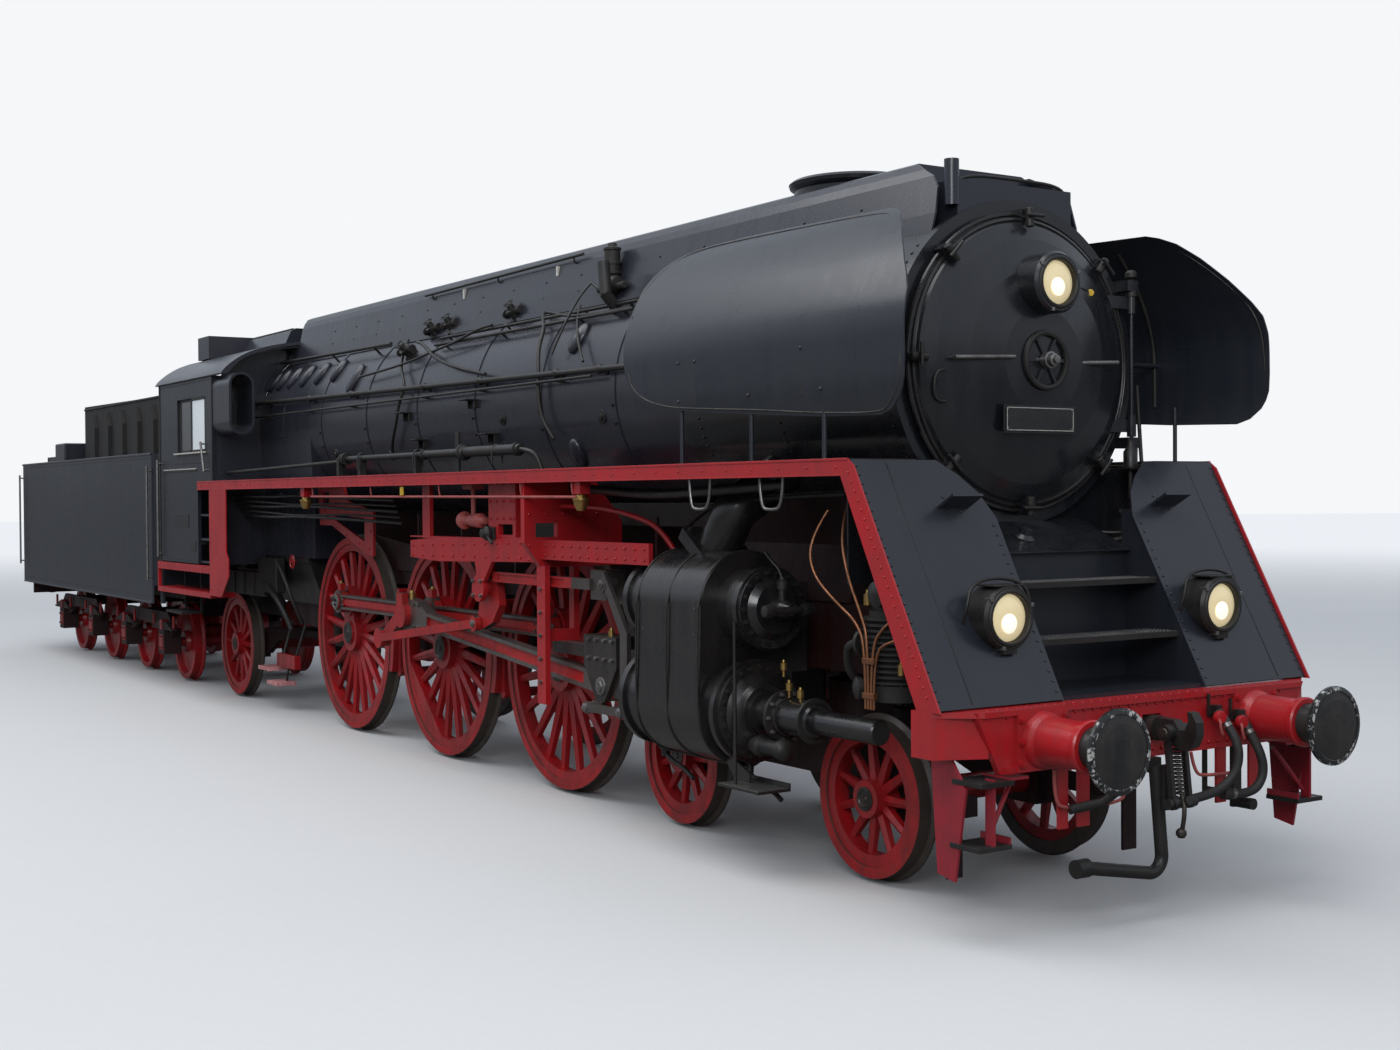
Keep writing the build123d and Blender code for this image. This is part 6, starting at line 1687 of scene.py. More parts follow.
# %% Copper pipes
copper_pipes = [
    bent_rod([
        (10.665, -1.366, 1.2), (10.665, -1.366, 1.56), (10.58, -1.366, 1.7), (10.38, -1.36, 1.8),
        (10.12, -1.34, 1.96), (10.04, -1.3, 2.16), (10.1, -1.2, 2.34),
    ], 0.009),
    bent_rod([
        (10.69, -1.366, 1.2), (10.69, -1.366, 1.6), (10.62, -1.36, 1.74), (10.45, -1.33, 1.96),
        (10.32, -1.28, 2.22), (10.26, -1.16, 2.42),
    ], 0.009),
    bent_rod([
        (10.715, -1.366, 1.2), (10.715, -1.366, 1.56), (10.8, -1.34, 1.68), (10.86, -1.24, 1.76),
        (10.84, -1.16, 1.84),
    ], 0.009),
    bent_rod([
        (10.74, -1.366, 1.2), (10.74, -1.366, 1.52), (10.86, -1.36, 1.6), (10.96, -1.3, 1.62),
    ], 0.008),
]
keep_pair(copper_pipes, "copper_pipes", copper)
clips = [slab((10.65, -1.382, z), (10.756, -1.35, z + 0.035)) for z in (1.26, 1.46)]
keep_pair(clips, "pipe_clips", copper)

# %% [markdown]
# The pump has nuts round its covers, a steam pipe to its top, an air pipe back from its side, and
# brass oilers.

# %% Pump fittings
# outline: reach, radius
PIPE_FLANGE = [(0, 0.052), (0, 0.085), (0.025, 0.085), (0.028, 0.052)]
PUMP_CUP = [(0, 0), (0, 0.045), (0.1, 0.045), (0.12, 0.02), (0.13, 0)]
PUMP_COVER = [(-0.02, 0), (-0.02, 0.05), (0, 0.075), (0.035, 0.075), (0.05, 0.03), (0.055, 0)]
PUMP_PORT = [(-0.02, 0), (-0.02, 0.05), (0, 0.065), (0.03, 0.065), (0.045, 0.03), (0.05, 0)]
PUMP_OILER = [(0, 0), (0, 0.024), (0.06, 0.024), (0.07, 0.012), (0.09, 0.01), (0.092, 0)]
pump_nuts = []
# middle along, height, radius of the ring, count
for x, z, radius, count in ((10.717, 2.025, 0.135, 8), (10.695, 1.335, 0.18, 10)):
    for i in range(count):
        a = math.tau * i / count
        pump_nuts.append(((x + radius * math.cos(a), -1.14 + radius * math.sin(a), z), UPWARD))
keep(mirrored(copies(nut(0.014, 0.018), pump_nuts)), "pump_nuts", iron_black)
pump_parts = [
    bent_rod([
        (10.717, -1.14, 2.07), (10.717, -1.14, 2.18), (10.6, -1.1, 2.26), (10.4, -1.02, 2.3),
        (10.2, -0.92, 2.38),
    ], 0.026),
    bent_rod([
        (10.56, -1.2, 1.56), (10.36, -1.2, 1.56), (10.24, -1.18, 1.5), (10.2, -1.1, 1.3),
        (10.18, -0.9, 1.22),
    ], 0.028),
    turned(PIPE_FLANGE, (10.44, -1.2, 1.56)), turned(PUMP_CUP, (10.9, -1.2, 1.8), UPWARD, steps=16),
    turned(PUMP_COVER, (10.72, -1.3, 1.86), TO_RIGHT, steps=18),
    turned(PUMP_PORT, (10.5, -1.27, 1.3), (-0.4, -1, 0), steps=18),
]
keep_pair(pump_parts, "pump_fittings", iron_black)
pump_oiler = [
    turned(PUMP_OILER, (x, y, z), UPWARD, steps=14)
    for x, y, z in ((10.8, -1.2, 2.02), (10.58, -1.28, 1.79), (10.86, -1.26, 1.4))
]
keep_pair(pump_oiler, "pump_oilers", brass)

# %% [markdown]
# ## Wheels and rods
# Axle ends show as dark ovals in the red hubs. The coupling rods' pins end in caps, their oil cups
# have brass lids, and the big ends, links and crossheads are held by nuts.

# %% Wheel and rod details
DRIVER_Z = 1.028
DRIVERS = {"axle_driver_1": 5.995, "axle_driver_2": 3.695, "axle_driver_3": 1.395}
# body: place along, height, reach across
CARRYING = {
    "axle_bogie_1": (9.995, 0.528, 0.842), "axle_bogie_2": (7.795, 0.528, 0.842),
    "axle_trailer": (-2.405, 0.653, 0.846),
}


def hub_cap(x, y, z, radius):
    """A stepped cap on an axle's end."""
    out = 1 if y > 0 else -1
    return turned([
        (-0.004, radius), (0.006, radius * 0.98), (0.01, radius * 0.72), (0.004, radius * 0.66),
        (0.004, radius * 0.3), (0.012, radius * 0.24), (0.013, 0.0),
    ], (x, y, z), (0, out, 0), steps=24)


for body, x in DRIVERS.items():
    pair = [hub_cap(x, side * 0.8665, DRIVER_Z, 0.112) for side in (-1, 1)]
    keep(pair, body + "_caps", dark_steel, body)
for body, (x, z, y) in CARRYING.items():
    pair = [hub_cap(x, side * y, z, 0.078) for side in (-1, 1)]
    keep(pair, body + "_caps", dark_steel, body)

# %% [markdown]
# Caps with three nuts close the coupling rods' pins. They turn with the wheels, while the oil lids
# and the rods' own nuts ride on the rods, so the two groups go on different bodies.

# %% Pin caps and rod nuts
# outline: reach, radius
PIN_CAP = [(-0.002, 0.086), (0.008, 0.084), (0.012, 0.06), (0.004, 0.054), (0.004, 0)]
OIL_LID = [(-0.004, 0.03), (0.006, 0.03), (0.012, 0.018), (0.026, 0.014), (0.028, 0)]
# side: sign across, crank pin's shift along, its height
PINS = {"right": (-1, -0.0115, 1.3578), "left": (1, -0.3298, 1.0165)}
for body in ("axle_driver_1", "axle_driver_3"):
    caps, cap_nuts = [], []
    for side, dx, z in PINS.values():
        x = DRIVERS[body] + dx
        caps.append(turned(PIN_CAP, (x, side * 0.996, z), (0, side, 0), steps=24))
        cap_nuts += ring_spots((x, side * 0.998, z), 0.034, 3, "Y", 0.5, side)
    keep(caps, body + "_pin_caps", worn_steel, body)
    keep(copies(nut(0.014, 0.016), cap_nuts), body + "_pin_nuts", dark_steel, body)
for name, (side, dx, z) in PINS.items():
    lids = []
    for body, lift in (("axle_driver_1", 0.118), ("axle_driver_2", 0.15), ("axle_driver_3", 0.118)):
        lids.append(turned(OIL_LID, (DRIVERS[body] + dx, side * 0.931, z + lift + 0.07), UPWARD, steps=16))
    keep(lids, "rod_oil_lids_" + name, brass, "rods_" + name)
    eye_nuts = []
    for body in ("axle_driver_1", "axle_driver_3"):
        x = DRIVERS[body] + dx
        eye_nuts += [
            ((x + a, side * 0.976, z + b), (0, side, 0))
            for a in (-0.16, 0.16)
            for b in (-0.03, 0.03)
        ]
    x = DRIVERS["axle_driver_2"] + dx
    eye_nuts += [
        ((x - 0.42 + a, side * 0.976, z + b), (0, side, 0))
        for a in (-0.05, 0.05)
        for b in (-0.05, 0.05)
    ]
    keep(copies(nut(0.014, 0.01), eye_nuts), "rod_nuts_" + name, worn_steel, "rods_" + name)

# %% [markdown]
# The big ends, crossheads and links are fixed in the photographed position, so their nuts, caps and
# brass lids ride on the engine. The slide bars' faces are bright where the crosshead rubs.

# %% Main rods and motion
# outline: reach, radius
MOTION_CAP = [(-0.002, 0.07), (0.01, 0.066), (0.014, 0.04), (0.022, 0.036), (0.024, 0)]
SMALL_CAP = [(0, 0.034), (0.01, 0.032), (0.014, 0.018), (0.022, 0.016), (0.024, 0)]
BIG_END_LID = [(-0.01, 0.04), (0.04, 0.04), (0.046, 0.024), (0.066, 0.02), (0.068, 0)]
CROSSHEAD_LID = [(-0.02, 0.026), (0.03, 0.026), (0.036, 0.016), (0.052, 0.014), (0.054, 0)]
fixed_nuts, fixed_caps, rod_lids = [], [], []
for side, dx, z in PINS.values():
    x = DRIVERS["axle_driver_2"] + dx
    head = x + 3.697
    fixed_nuts += [((x + a, side * 1.2, z + b), (0, side, 0)) for a in (0.2, 0.3) for b in (-0.1, 0.1)]
    fixed_nuts += [
        ((head + a, side * 1.245, DRIVER_Z + b), (0, side, 0))
        for a in (-0.17, -0.06, 0.06, 0.17)
        for b in (0.2, 0.34)
    ]
    fixed_nuts += [
        ((5.51 + a, side * 1.345, 1.68 + b), (0, side, 0))
        for a in (-0.07, 0.07)
        for b in (-0.06, 0.06)
    ]
    fixed_nuts += [((6.63, side * 1.345, 1.0 + 0.18 * i), (0, side, 0)) for i in range(5)]
    fixed_caps.append(turned(MOTION_CAP, (head, side * 1.245, DRIVER_Z), (0, side, 0)))
    for place in ((5.34, 1.375, 1.312), (7.3 - 0.01, 0.868, 1.33), (7.792, 0.88, 1.33), (7.49, 1.79, 1.3)):
        fixed_caps.append(turned(SMALL_CAP, (place[0], side * place[2], place[1]), (0, side, 0), steps=16))
    rod_lids.append(turned(BIG_END_LID, (x + 0.03, side * 1.15, z + 0.155), UPWARD, steps=16))
    rod_lids.append(turned(CROSSHEAD_LID, (head, side * 1.15, 1.402), UPWARD, steps=16))
keep(copies(nut(0.017, 0.018), fixed_nuts), "motion_nuts", worn_steel)
keep(fixed_caps, "motion_caps", worn_steel)
keep(rod_lids, "motion_oil_lids", brass)
bars = []
for x0, x1 in ((6.57, 7.05), (7.62, 8.05)):
    for side in (-1, 1):
        y = side * 1.15
        bars.append(slab((x0, y - 0.056, 1.3115), (x1, y + 0.056, 1.3135), 0.0008))
keep(bars, "slide_bar_faces", worn_steel)

# %% [markdown]
# ## Along the running boards
# The red edge strip has a brighter lip and rivets. Below it hang a thin rod, brass oilers, a yellow
# tag and the brackets of the reversing gear, and pipes run back to the cab.

# %% Running board fittings
VALANCE_Y = -1.525
lips = [slab((-1.64, -1.529, 2.628), (10.705, -1.524, 2.6425), 0.002)]
lips.append(slab((-1.64, -1.5275, 2.54), (10.64, -1.524, 2.548), 0.0015))
keep_pair(lips, "valance_lips", red_paint)
valance_rivets = row_spots((-1.5, VALANCE_Y, 2.59), (10.6, VALANCE_Y, 2.59), 44, TO_RIGHT)
for i in range(24):
    share = (i + 0.5) / 24
    valance_rivets.append(((10.7 + 0.7 * share, VALANCE_Y, 2.585 - 1.27 * share), TO_RIGHT))
valance_rivets += row_spots((-1.13, VALANCE_Y, 1.4), (-1.13, VALANCE_Y, 2.48), 9, TO_RIGHT)
valance_rivets += row_spots((-3.28, -1.52, 1.617), (-1.25, -1.52, 1.617), 12, TO_RIGHT)
keep(mirrored(copies(rivet(0.009, 0.005), valance_rivets)), "valance_rivets", red_paint)

# %% [markdown]
# The red motion brackets are riveted along their edges. Tables of line ends with a count place them
# in rows, and the single ones follow their gusset plates.

# %% Bracket rivets
BRACKET_Y = -1.345
bracket_rivets = []
for x0, x1, z0, z1 in (
    (4.2, 6.5, 2.01, 2.075), (4.2, 6.5, 1.925, 1.955), (6.72, 8.18, 2.06, 2.06), (6.72, 8.18, 1.985, 1.985),
):
    bracket_rivets += row_spots((x0, BRACKET_Y, z0), (x1, BRACKET_Y, z1), 12, TO_RIGHT)
bracket_rivets += [
    ((x, BRACKET_Y, z), TO_RIGHT)
    for x in (5.76, 5.88, 6.0, 6.12, 6.18)
    for z in (2.26, 2.4, 2.54)
]
bracket_rivets += [
    ((6.64, y, z), AHEAD)
    for y in (-1.45, -1.3, -1.15, -1.0, -0.85)
    for z in (1.95, 2.06, 2.3, 2.44, 2.56)
]
bracket_rivets += [
    ((x, -0.93, z), TO_RIGHT)
    for x, z in (
        (0.83, 2.2), (0.95, 2.3), (0.83, 2.45), (1.25, 2.12), (1.55, 2.05), (1.9, 1.97), (2.15, 1.92),
        (2.2, 2.1),
    )
]
keep(mirrored(copies(rivet(0.013, 0.01), bracket_rivets)), "bracket_rivets", red_paint)

# %% [markdown]
# A thin rod runs under the board's edge through small eyes, and two bell-shaped brass oilers hang
# from red brackets, with a yellow tag between them.

# %% Rod and oilers
# outline: reach, radius
BELL_OILER = [
    (-0.075, 0), (-0.07, 0.03), (-0.03, 0.052), (0, 0.056), (0.008, 0.062), (0.022, 0.062),
    (0.026, 0.04), (0.05, 0.032), (0.054, 0),
]
thin_rod = [rod((2.032, -1.488, 2.452), (7.469, -1.488, 2.43), 0.011)]
for x in (2.1, 3.6, 5.1, 6.6, 7.42):
    thin_rod.append(bent_rod([(x, -1.488, 2.45), (x, -1.5, 2.47), (x, -1.5, 2.54)], 0.007))
keep_pair(thin_rod, "edge_rod", pink_paint)
bells = [turned(BELL_OILER, (x, -1.45, 2.4), UPWARD, steps=20) for x in (7.469, 1.781)]
keep_pair(bells, "bell_oilers", brass)
bell_hangers = [slab((x - 0.05, -1.49, 2.45), (x + 0.05, -1.4, 2.545)) for x in (7.469, 1.781)]
keep_pair(bell_hangers, "oiler_brackets", red_paint)
tag = slab((4.3, -1.512, 2.455), (4.365, -1.5, 2.53), 0.002)
keep(tag, "yellow_tag", yellow_paint)

# %% [markdown]
# A long tapered valve hangs under the board. Its outline swells and narrows, which is why it is
# turned from ten rows and not built of cylinders.

# %% Tapered valve
# outline: reach, radius
TAPERED_VALVE = [
    (0, 0), (0, 0.07), (0.03, 0.076), (0.05, 0.045), (0.12, 0.04), (0.2, 0.055), (0.34, 0.062),
    (0.36, 0.04), (0.44, 0.03), (0.45, 0),
]
KNOB_STEM = [(0, 0), (0, 0.05), (0.02, 0.06), (0.05, 0.06), (0.07, 0.04), (0.09, 0.035), (0.1, 0)]
valve_body = [turned(TAPERED_VALVE, (5.15, -1.3, 2.24))]
valve_body.append(rod((5.35, -1.3, 2.24), (5.35, -1.3, 2.52), 0.02))
valve_body.append(slab((5.26, -1.36, 2.5), (5.44, -1.24, 2.54)))
keep_pair(valve_body, "tapered_valve", pink_paint)
knobs = [
    turned(KNOB_STEM, (5.777, -1.345, 2.14), TO_RIGHT), slab((5.7, -1.365, 2.09), (5.86, -1.345, 2.19)),
    rod((5.777, -1.4, 2.14), (5.9, -1.4, 2.06), 0.012),
]
keep_pair(knobs, "reversing_knob", iron_black)

# %% [markdown]
# Bundles of pipes run back to the cab under the board. They start side by side at one spacing and
# drift apart.

# %% Pipes along the board
# outline: reach, radius
SMALL_WHEEL = [(-0.008, 0.07), (0, 0.062), (0.01, 0.07), (0, 0.08), (-0.008, 0.07)]
back_pipes = []
for i in range(5):
    z = 2.47 - 0.055 * i
    bend = [
        (-1.0, -1.3 + 0.03 * i, z), (0.3, -1.32, z - 0.02), (1.1, -1.3, z - 0.05 * (i % 2)),
        (1.9 + 0.2 * i, -1.22, z - 0.03), (3.2, -1.1 + 0.02 * i, z - 0.06),
    ]
    back_pipes.append(bent_rod(bend, 0.011 if i % 2 else 0.015))
back_pipes.append(bent_rod([
    (6.7, -1.1, 2.5), (7.3, -1.16, 2.48), (8.1, -1.26, 2.44), (8.9, -1.3, 2.46), (9.8, -1.3, 2.5),
], 0.034))
keep_pair(back_pipes, "board_pipes", iron_black)
red_pipe = bent_rod([
    (6.7, -1.2, 2.36), (7.2, -1.2, 2.36), (7.7, -1.16, 2.3), (8.0, -1.08, 2.2), (8.1, -1.02, 2.0),
], 0.02)
keep(mirrored(red_pipe), "red_pipe", red_dusty)
supports = [
    bent_rod([
        (x, -1.46, 2.62), (x, -1.46, 2.36), (x + 0.1, -1.45, 2.34), (x + 0.22, -1.44, 2.36),
        (x + 0.22, -1.44, 2.62),
    ], 0.011)
    for x in (8.95, 9.75)
]
keep_pair(supports, "board_stirrups", worn_steel)
handwheel = [
    turned(SMALL_WHEEL, (-0.037, -0.95, 1.73), TO_RIGHT),
    rod((-0.105, -0.95, 1.73), (0.031, -0.95, 1.73), 0.007, 8),
    rod((-0.037, -0.95, 1.66), (-0.037, -0.95, 1.8), 0.007, 8),
    rod((-0.037, -0.9, 1.73), (-0.037, -0.965, 1.73), 0.012, 10),
]
keep_pair(handwheel, "ashpan_handwheel", red_paint)
cylinder_pipe = [bent_rod([
    (8.1, -0.95, 2.2), (8.3, -0.98, 2.3), (8.6, -1.0, 2.38), (9.2, -1.0, 2.42), (10.0, -0.98, 2.44),
], 0.022)]
keep_pair(cylinder_pipe, "cylinder_pipe", iron_black)

# %% [markdown]
# The long air reservoirs above the board have end rings, strap bands and one pipe. The rings take
# each reservoir's own radius.

# %% Reservoir fittings
reservoir_parts = [
    turned([(0.0, radius * 0.6), (0.0, radius), (0.022, radius), (0.026, radius * 0.6)], (x, -1.35, 2.812))
    for x, radius in ((2.545, 0.055), (5.275, 0.072), (6.26, 0.056), (4.46, 0.046))
]
for x in (3.02, 4.325, 5.9):
    reservoir_parts.append(bent_rod([
        (x, -1.395, 2.7), (x, -1.4, 2.83), (x, -1.35, 2.866), (x, -1.3, 2.83), (x, -1.305, 2.7),
    ], 0.008))
reservoir_parts.append(
    bent_rod([(6.3, -1.35, 2.81), (6.45, -1.34, 2.8), (6.52, -1.3, 2.74), (6.54, -1.28, 2.64)], 0.02),
)
keep_pair(reservoir_parts, "reservoir_fittings", iron_black)

# %% [markdown]
# ## Cab
# The cab's side window has a sliding frame with glass. A gutter runs along the roof's edge, handrails
# stand beside the entrance, and the sheets are riveted to their frames.

# %% Cab
# the side pane's pale glow is a painted reflection of the sky
keep_pair([slab((-1.87, -1.5, 3.015), (-1.352, -1.496, 3.6), 0.001)], "cab_side_glass", window_glass_painted_sky)
frames = []
for x0, x1 in ((-1.905, -1.335), (-2.435, -1.89)):
    y0, y1 = (-1.512, -1.488) if x0 > -2.0 else (-1.488, -1.472)
    frames += [
        slab((x0, y0, 2.985), (x0 + 0.032, y1, 3.625)), slab((x1 - 0.032, y0, 2.985), (x1, y1, 3.625)),
        slab((x0, y0, 2.985), (x1, y1, 3.017)), slab((x0, y0, 3.595), (x1, y1, 3.625)),
    ]
keep_pair(frames, "cab_window_frames", iron_black)
# these panes are painted dark, a painted shade of the cab behind them
keep_pair([slab((-2.405, -1.482, 3.015), (-1.925, -1.479, 3.6), 0.001)], "cab_rear_glass", shade_glass)
keep_pair([slab((-1.06, -1.438, 3.262), (-1.056, -1.252, 3.748), 0.001)], "cab_front_glass", shade_glass)

# %% [markdown]
# Pale sills, thin edge strips and two blank plates lie on the cab's side, and bright handrails stand
# off it on short posts.

# %% Cab trims and handrails
sills = [
    slab((-2.47, -1.56, 2.968), (-1.31, -1.5, 2.986), 0.005),
    slab((-3.05, -1.5165, 2.788), (-1.7, -1.5115, 2.8), 0.001),
]
keep_pair(sills, "cab_sills", pale_paint)
trims = [
    slab((-3.215, -1.535, 3.842), (-0.76, -1.512, 3.856), 0.003),
    slab((-3.05, -1.52, 2.76), (-1.7, -1.511, 2.785), 0.002),
    slab((-3.222, -1.52, 1.676), (-3.19, -1.511, 3.845), 0.003),
    slab((-1.1, -1.52, 2.6), (-1.066, -1.511, 3.845), 0.003),
]
keep_pair(trims, "cab_trims", iron_black)
cab_plates = [
    slab((-1.96, -1.518, 1.815), (-1.75, -1.5115, 1.945), 0.003),
    slab((-2.62, -1.518, 2.1), (-2.02, -1.5115, 2.26), 0.003),
]
keep_pair(cab_plates, "cab_blank_plates", plate_paint)
cab_rails = [
    rod((-1.277, -1.552, 2.747), (-1.395, -1.552, 3.098), 0.014),
    rod((-3.17, -1.56, 1.72), (-3.17, -1.56, 2.92), 0.016),
]
for x, z in ((-1.285, 2.77), (-1.388, 3.075), (-3.17, 1.76), (-3.17, 2.88)):
    cab_rails.append(rod((x, -1.508, z), (x, -1.556, z), 0.011))
keep_pair(cab_rails, "cab_handrails", worn_steel)

# %% [markdown]
# Rivets run along the cab sheet's edges. The roof's ventilator has slats under a frame, and three
# thin bars close the roof's rear.

# %% Cab rivets and roof
CAB_SIDE_Y = -1.512
cab_rivets = row_spots((-3.15, CAB_SIDE_Y, 1.71), (-1.7, CAB_SIDE_Y, 1.71), 22, TO_RIGHT)
cab_rivets += row_spots((-3.15, CAB_SIDE_Y, 3.81), (-1.12, CAB_SIDE_Y, 3.81), 30, TO_RIGHT)
cab_rivets += row_spots((-3.16, CAB_SIDE_Y, 1.78), (-3.16, CAB_SIDE_Y, 3.75), 28, TO_RIGHT)
cab_rivets += row_spots((-2.53, CAB_SIDE_Y, 2.86), (-1.25, CAB_SIDE_Y, 2.86), 16, TO_RIGHT)
keep(mirrored(copies(rivet(0.009, 0.005), cab_rivets)), "cab_rivets", cladding_black_and_painted_sheen)
roof_parts = [
    slab((-2.6, -0.52, 4.424), (-1.16, -0.5, 4.444)), slab((-2.6, 0.5, 4.424), (-1.16, 0.52, 4.444)),
]
roof_parts += [slab((-2.56 + 0.28 * i, -0.5, 4.424), (-2.5 + 0.28 * i, 0.5, 4.44)) for i in range(6)]
roof_parts += [slab((-3.07, -1.02, z), (-3.085, 1.02, z + 0.02)) for z in (4.24, 4.3, 4.36)]
keep(roof_parts, "roof_vent_slats", iron_black)

# %% [markdown]
# ## Tender
# The tank's plates are riveted in rows and columns. Handrails stand at its corners, a ladder and two
# tail lamps are at the rear, and the axle boxes have bolted covers.

# %% Tender
TANK_SIDE_Y = -1.5
tank_rivets = row_spots((-11.25, TANK_SIDE_Y, 1.2), (-3.72, TANK_SIDE_Y, 1.2), 64, TO_RIGHT)
tank_rivets += row_spots((-11.25, TANK_SIDE_Y, 2.96), (-3.72, TANK_SIDE_Y, 2.96), 64, TO_RIGHT)
for x in (-10.9, -9.65, -8.4, -7.15, -5.9, -4.65, -3.75):
    tank_rivets += row_spots((x, TANK_SIDE_Y, 1.28), (x, TANK_SIDE_Y, 2.88), 17, TO_RIGHT)
keep(mirrored(copies(rivet(0.009, 0.005), tank_rivets)), "tank_rivets", cladding_black_and_painted_sheen, "tender")
rear_rivets = row_spots((-11.405, -1.33, 2.96), (-11.405, 1.33, 2.96), 26, BACKWARD)
rear_rivets += row_spots((-11.405, -1.33, 1.42), (-11.405, 1.33, 1.42), 26, BACKWARD)
keep(copies(rivet(0.009, 0.005), rear_rivets), "tank_rear_rivets", cladding_black_and_painted_sheen, "tender")
edges = [
    slab((-11.3, -1.512, 3.0), (-3.66, -1.48, 3.03), 0.006),
    slab((-11.28, -1.508, 1.106), (-3.7, -1.49, 1.13), 0.004),
]
keep_pair(edges, "tank_edges", cladding_black_and_painted_sheen, "tender")
rims = [
    slab((-8.345, -1.215, 3.775), (-3.7, -1.185, 3.8), 0.005),
    slab((-3.712, -1.19, 3.77), (-3.69, 1.19, 3.795), 0.005),
]
keep_pair(rims, "bunker_rims", iron_black, "tender")

# %% [markdown]
# Handrails stand at the tank's corners on short posts, and a ladder of two rods and six rungs climbs
# the tank's rear. The photograph doesn't show the rear, so this is the usual arrangement.

# %% Tender handrails and ladder
grabs = []
for x in (-3.68, -11.28):
    grabs.append(rod((x, -1.555, 1.4), (x, -1.555, 2.85), 0.015))
    for z in (1.45, 2.8):
        grabs.append(rod((x, -1.495, z), (x, -1.558, z), 0.011))
keep_pair(grabs, "tender_handrails", worn_steel, "tender")
ladder = [rod((-11.5, y, 1.3), (-11.5, y, 3.15), 0.016) for y in (-1.05, -0.72)]
ladder += [rod((-11.5, -1.05, 1.45 + 0.28 * i), (-11.5, -0.72, 1.45 + 0.28 * i), 0.012) for i in range(6)]
ladder += [rod((-11.4, y, z), (-11.5, y, z), 0.012) for y in (-1.05, -0.72) for z in (1.5, 2.85)]
keep(ladder, "tender_ladder", iron_black, "tender")

# %% [markdown]
# The rear has two lamps with domed glasses, worn buffer rims with their collars, and a plain hook with
# one link. Their outlines are like those of the front.

# %% Tail lamps, buffers and hook
# outline: reach, radius
TAIL_LAMP = [
    (0, 0), (0, 0.11), (0.03, 0.135), (0.14, 0.14), (0.155, 0.13), (0.15, 0.112), (0.14, 0.112),
]
TAIL_LENS = [(0, 0.112), (0.008, 0.09), (0.014, 0.05), (0.016, 0)]
REAR_RIM = [(-0.034, 0.2275), (-0.028, 0.2292), (-0.02, 0.2285), (-0.0155, 0.222), (-0.0145, 0.212)]
REAR_COLLAR = [(0, 0.129), (0, 0.145), (0.03, 0.147), (0.04, 0.138), (0.042, 0.113)]
HOOK_PLATE = [(0, 0.05), (0, 0.1), (0.05, 0.095), (0.06, 0.05)]
for side, y in (("right", -0.95), ("left", 0.95)):
    shell = turned(TAIL_LAMP, (-11.42, y, 1.62), BACKWARD)
    keep(shell, "tail_lamp_" + side, iron_black, "tender")
    lens = turned(TAIL_LENS, (-11.56, y, 1.62), BACKWARD)
    keep(lens, "tail_glass_" + side, lamp_glass, "tender")
for side, y in BUFFERS:
    rim = turned(REAR_RIM, (-12.175, y, BUFFER_Z), BACKWARD, steps=48)
    keep(rim, "tender_buffer_rim_" + side, dark_steel, "tender")
    collar = turned(REAR_COLLAR, (-11.925, y, BUFFER_Z), BACKWARD, steps=32)
    keep(collar, "tender_buffer_collar_" + side, iron_black, "tender")
hook = [
    bent_rod([
        (-11.57, 0, 1.09), (-11.75, 0, 1.09), (-11.86, 0, 1.06), (-11.92, 0, 1.11), (-11.9, 0, 1.19),
        (-11.84, 0, 1.2),
    ], 0.034),
    turned(HOOK_PLATE, (-11.575, 0, 1.09), BACKWARD),
    bent_rod([
        (-11.7, -0.08, 1.09), (-11.74, -0.08, 0.9), (-11.74, -0.05, 0.74), (-11.74, 0.05, 0.74),
        (-11.74, 0.08, 0.9), (-11.7, 0.08, 1.09),
    ], 0.016),
]
keep(hook, "tender_hook", dark_steel, "tender")

# %% [markdown]
# Each axle box has a lid with four nuts, and hangers and a buckle for its spring. They ride on their
# bogie, so they are joined bogie by bogie.

# %% Axle boxes
# bogie: places of its axles along
AXLES = {"tender_bogie_1": (-4.625, -6.525), "tender_bogie_2": (-8.425, -10.325)}
for body, places in AXLES.items():
    lids, lid_nuts = [], []
    for x in places:
        for side in (-1, 1):
            lids.append(
                slab((x - 0.095, side * 1.13 - 0.012, 0.435), (x + 0.095, side * 1.13 + 0.012, 0.64), 0.01),
            )
            lid_nuts += [
                ((x + a, side * 1.142, 0.54 + b), (0, side, 0))
                for a in (-0.07, 0.07)
                for b in (-0.075, 0.075)
            ]
            lids.append(rod((x - 0.46, side * 1.095, 0.735), (x - 0.46, side * 1.095, 0.9), 0.018))
            lids.append(rod((x + 0.46, side * 1.095, 0.735), (x + 0.46, side * 1.095, 0.9), 0.018))
            lids.append(
                slab((x - 0.05, side * 1.095 - 0.045, 0.7), (x + 0.05, side * 1.095 + 0.045, 0.835), 0.008),
            )
    keep(lids, body + "_box_lids", red_dusty, body)
    keep(copies(nut(0.013, 0.012), lid_nuts), body + "_lid_nuts", iron_black, body)

# %% [markdown]
# Four filler handles and two tool boxes stand on the tank. They are guessed from such tenders and
# kept small.

# %% Tank top
# outline: reach, radius
FILLER = [(0, 0), (0, 0.16), (0.02, 0.17), (0.035, 0.15), (0.05, 0.05), (0.07, 0.04), (0.075, 0)]
filler = [turned(FILLER, (x, y, 3.138), UPWARD) for x in (-10.6, -9.75) for y in (-0.92, 0.92)]
keep(filler, "filler_handles", iron_black, "tender")
boxes = [
    slab((-9.2, -1.45, 3.02), (-8.6, -0.9, 3.3), 0.02), slab((-9.2, 0.9, 3.02), (-8.6, 1.45, 3.3), 0.02),
]
keep(boxes, "tender_tool_boxes", cladding_black_and_painted_sheen, "tender")

# %% [markdown]
# ## Under the cab
# Steps hang behind the cab's side, and the trailing truck's dark boxes and red step show below the
# firebox.

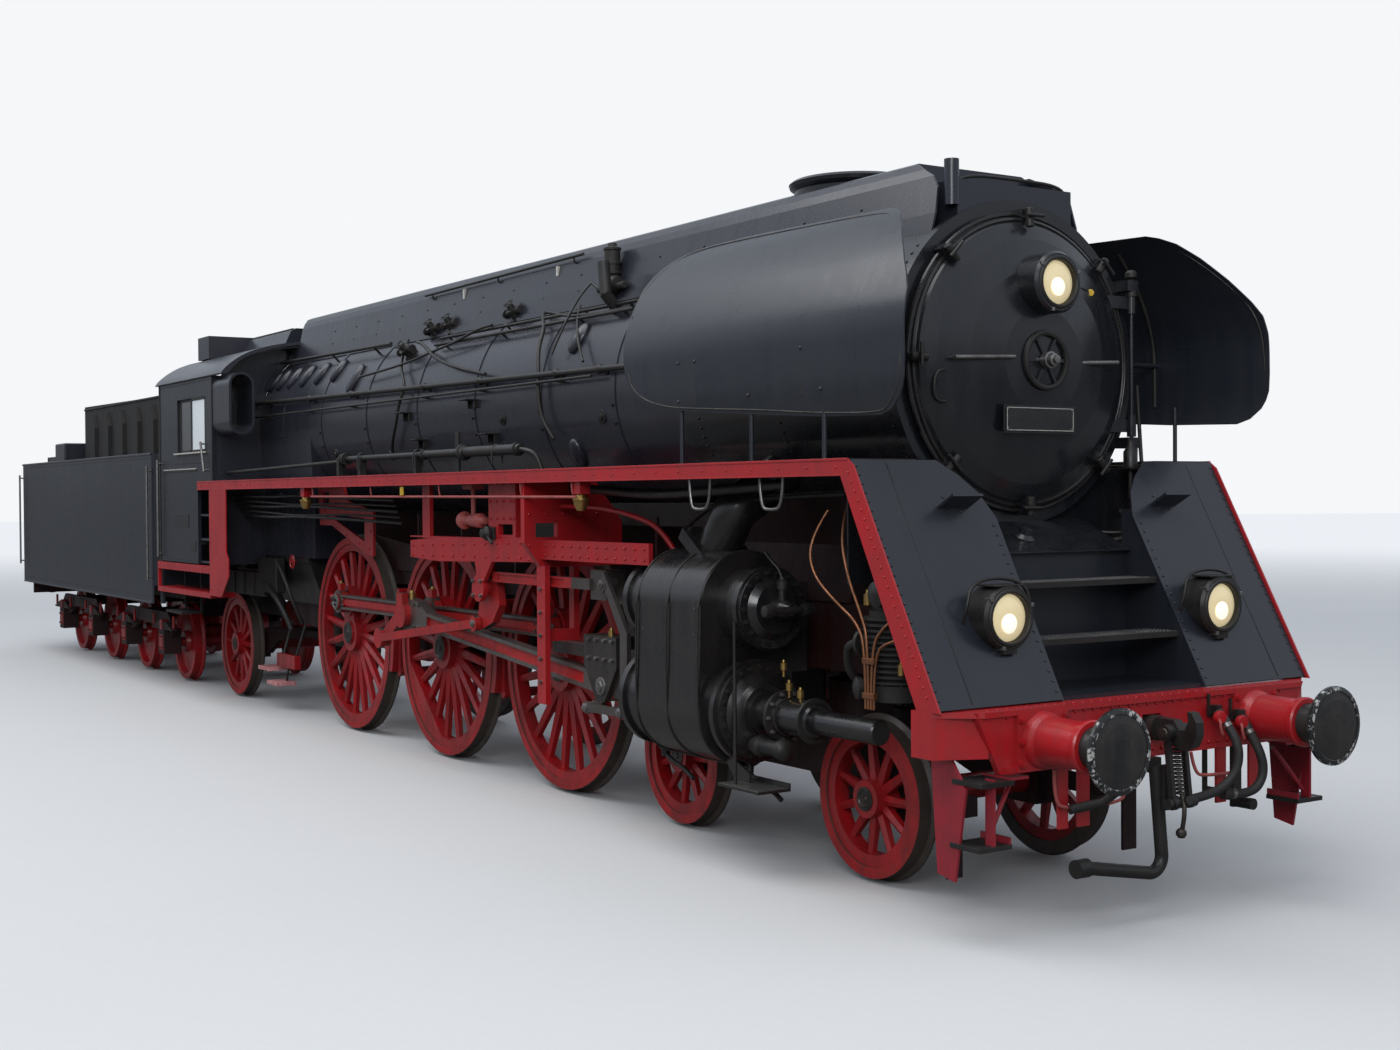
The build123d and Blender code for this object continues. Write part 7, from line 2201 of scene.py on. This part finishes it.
# %% Under the cab
under = [
    slab((-2.372, -0.98, 1.3), (-0.905, -0.9, 1.58), 0.01),
    slab((-1.0, -1.02, 1.36), (-0.4, -0.9, 1.76), 0.015),
]
under += [rod((-2.3 + 0.35 * i, -0.985, 1.32), (-2.3 + 0.35 * i, -0.985, 1.56), 0.014) for i in range(4)]
under.append(
    bent_rod([(-0.9, -0.98, 1.5), (-0.5, -1.06, 1.42), (-0.1, -1.04, 1.22), (0.0, -0.98, 0.98)], 0.03),
)
under.append(
    bent_rod([(-0.3, -1.02, 1.7), (0.0, -1.05, 1.55), (0.15, -1.02, 1.3), (0.12, -0.9, 1.05)], 0.022),
)
keep_pair(under, "firebox_boxes", sooty_black)
# Thin sooty black sheets fill the gaps under the boiler, by the firebox and between the cylinders: dark
# sheets put where there is shade.
shade_sheets = [
    slab((-2.75, -0.52, 1.02), (-1.55, -0.5, 1.46)), slab((6.3, -0.6, 2.2), (8.1, -0.588, 2.38)),
    slab((4.9, -0.6, 2.04), (5.7, -0.588, 2.26)),
]
keep_pair(shade_sheets, "frame_shade_sheets", sooty_black)
keep(slab((7.95, -0.012, 0.9), (8.48, 0.012, 1.4)), "saddle_shade_sheet", sooty_black)
step = [slab((-0.85, -0.86, 0.5), (-0.26, -0.78, 0.655), 0.006)]
keep_pair(step, "red_step_block", red_dusty)
ramps = [
    slab((-1.24 + 0.3 * i, -0.95, 0.44 - 0.15 * i), (-0.88 + 0.3 * i, -0.72, 0.485 - 0.15 * i), 0.006)
    for i in range(2)
]
keep_pair(ramps, "step_treads", chalky_pink)
hangers = [
    rod((-0.75, -0.82, 0.6), (-0.75, -0.7, 1.02), 0.016),
    rod((-0.35, -0.82, 0.6), (-0.3, -0.7, 1.02), 0.016),
    rod((-1.06, -0.8, 0.44), (-0.8, -0.8, 0.56), 0.012), rod((-0.7, -0.8, 0.3), (-0.6, -0.8, 0.52), 0.012),
]
keep_pair(hangers, "step_hangers", iron_black)

# %% [markdown]
# ## Finish
# The view layer is brought up to date.

# %% Finish
bpy.context.view_layer.update()
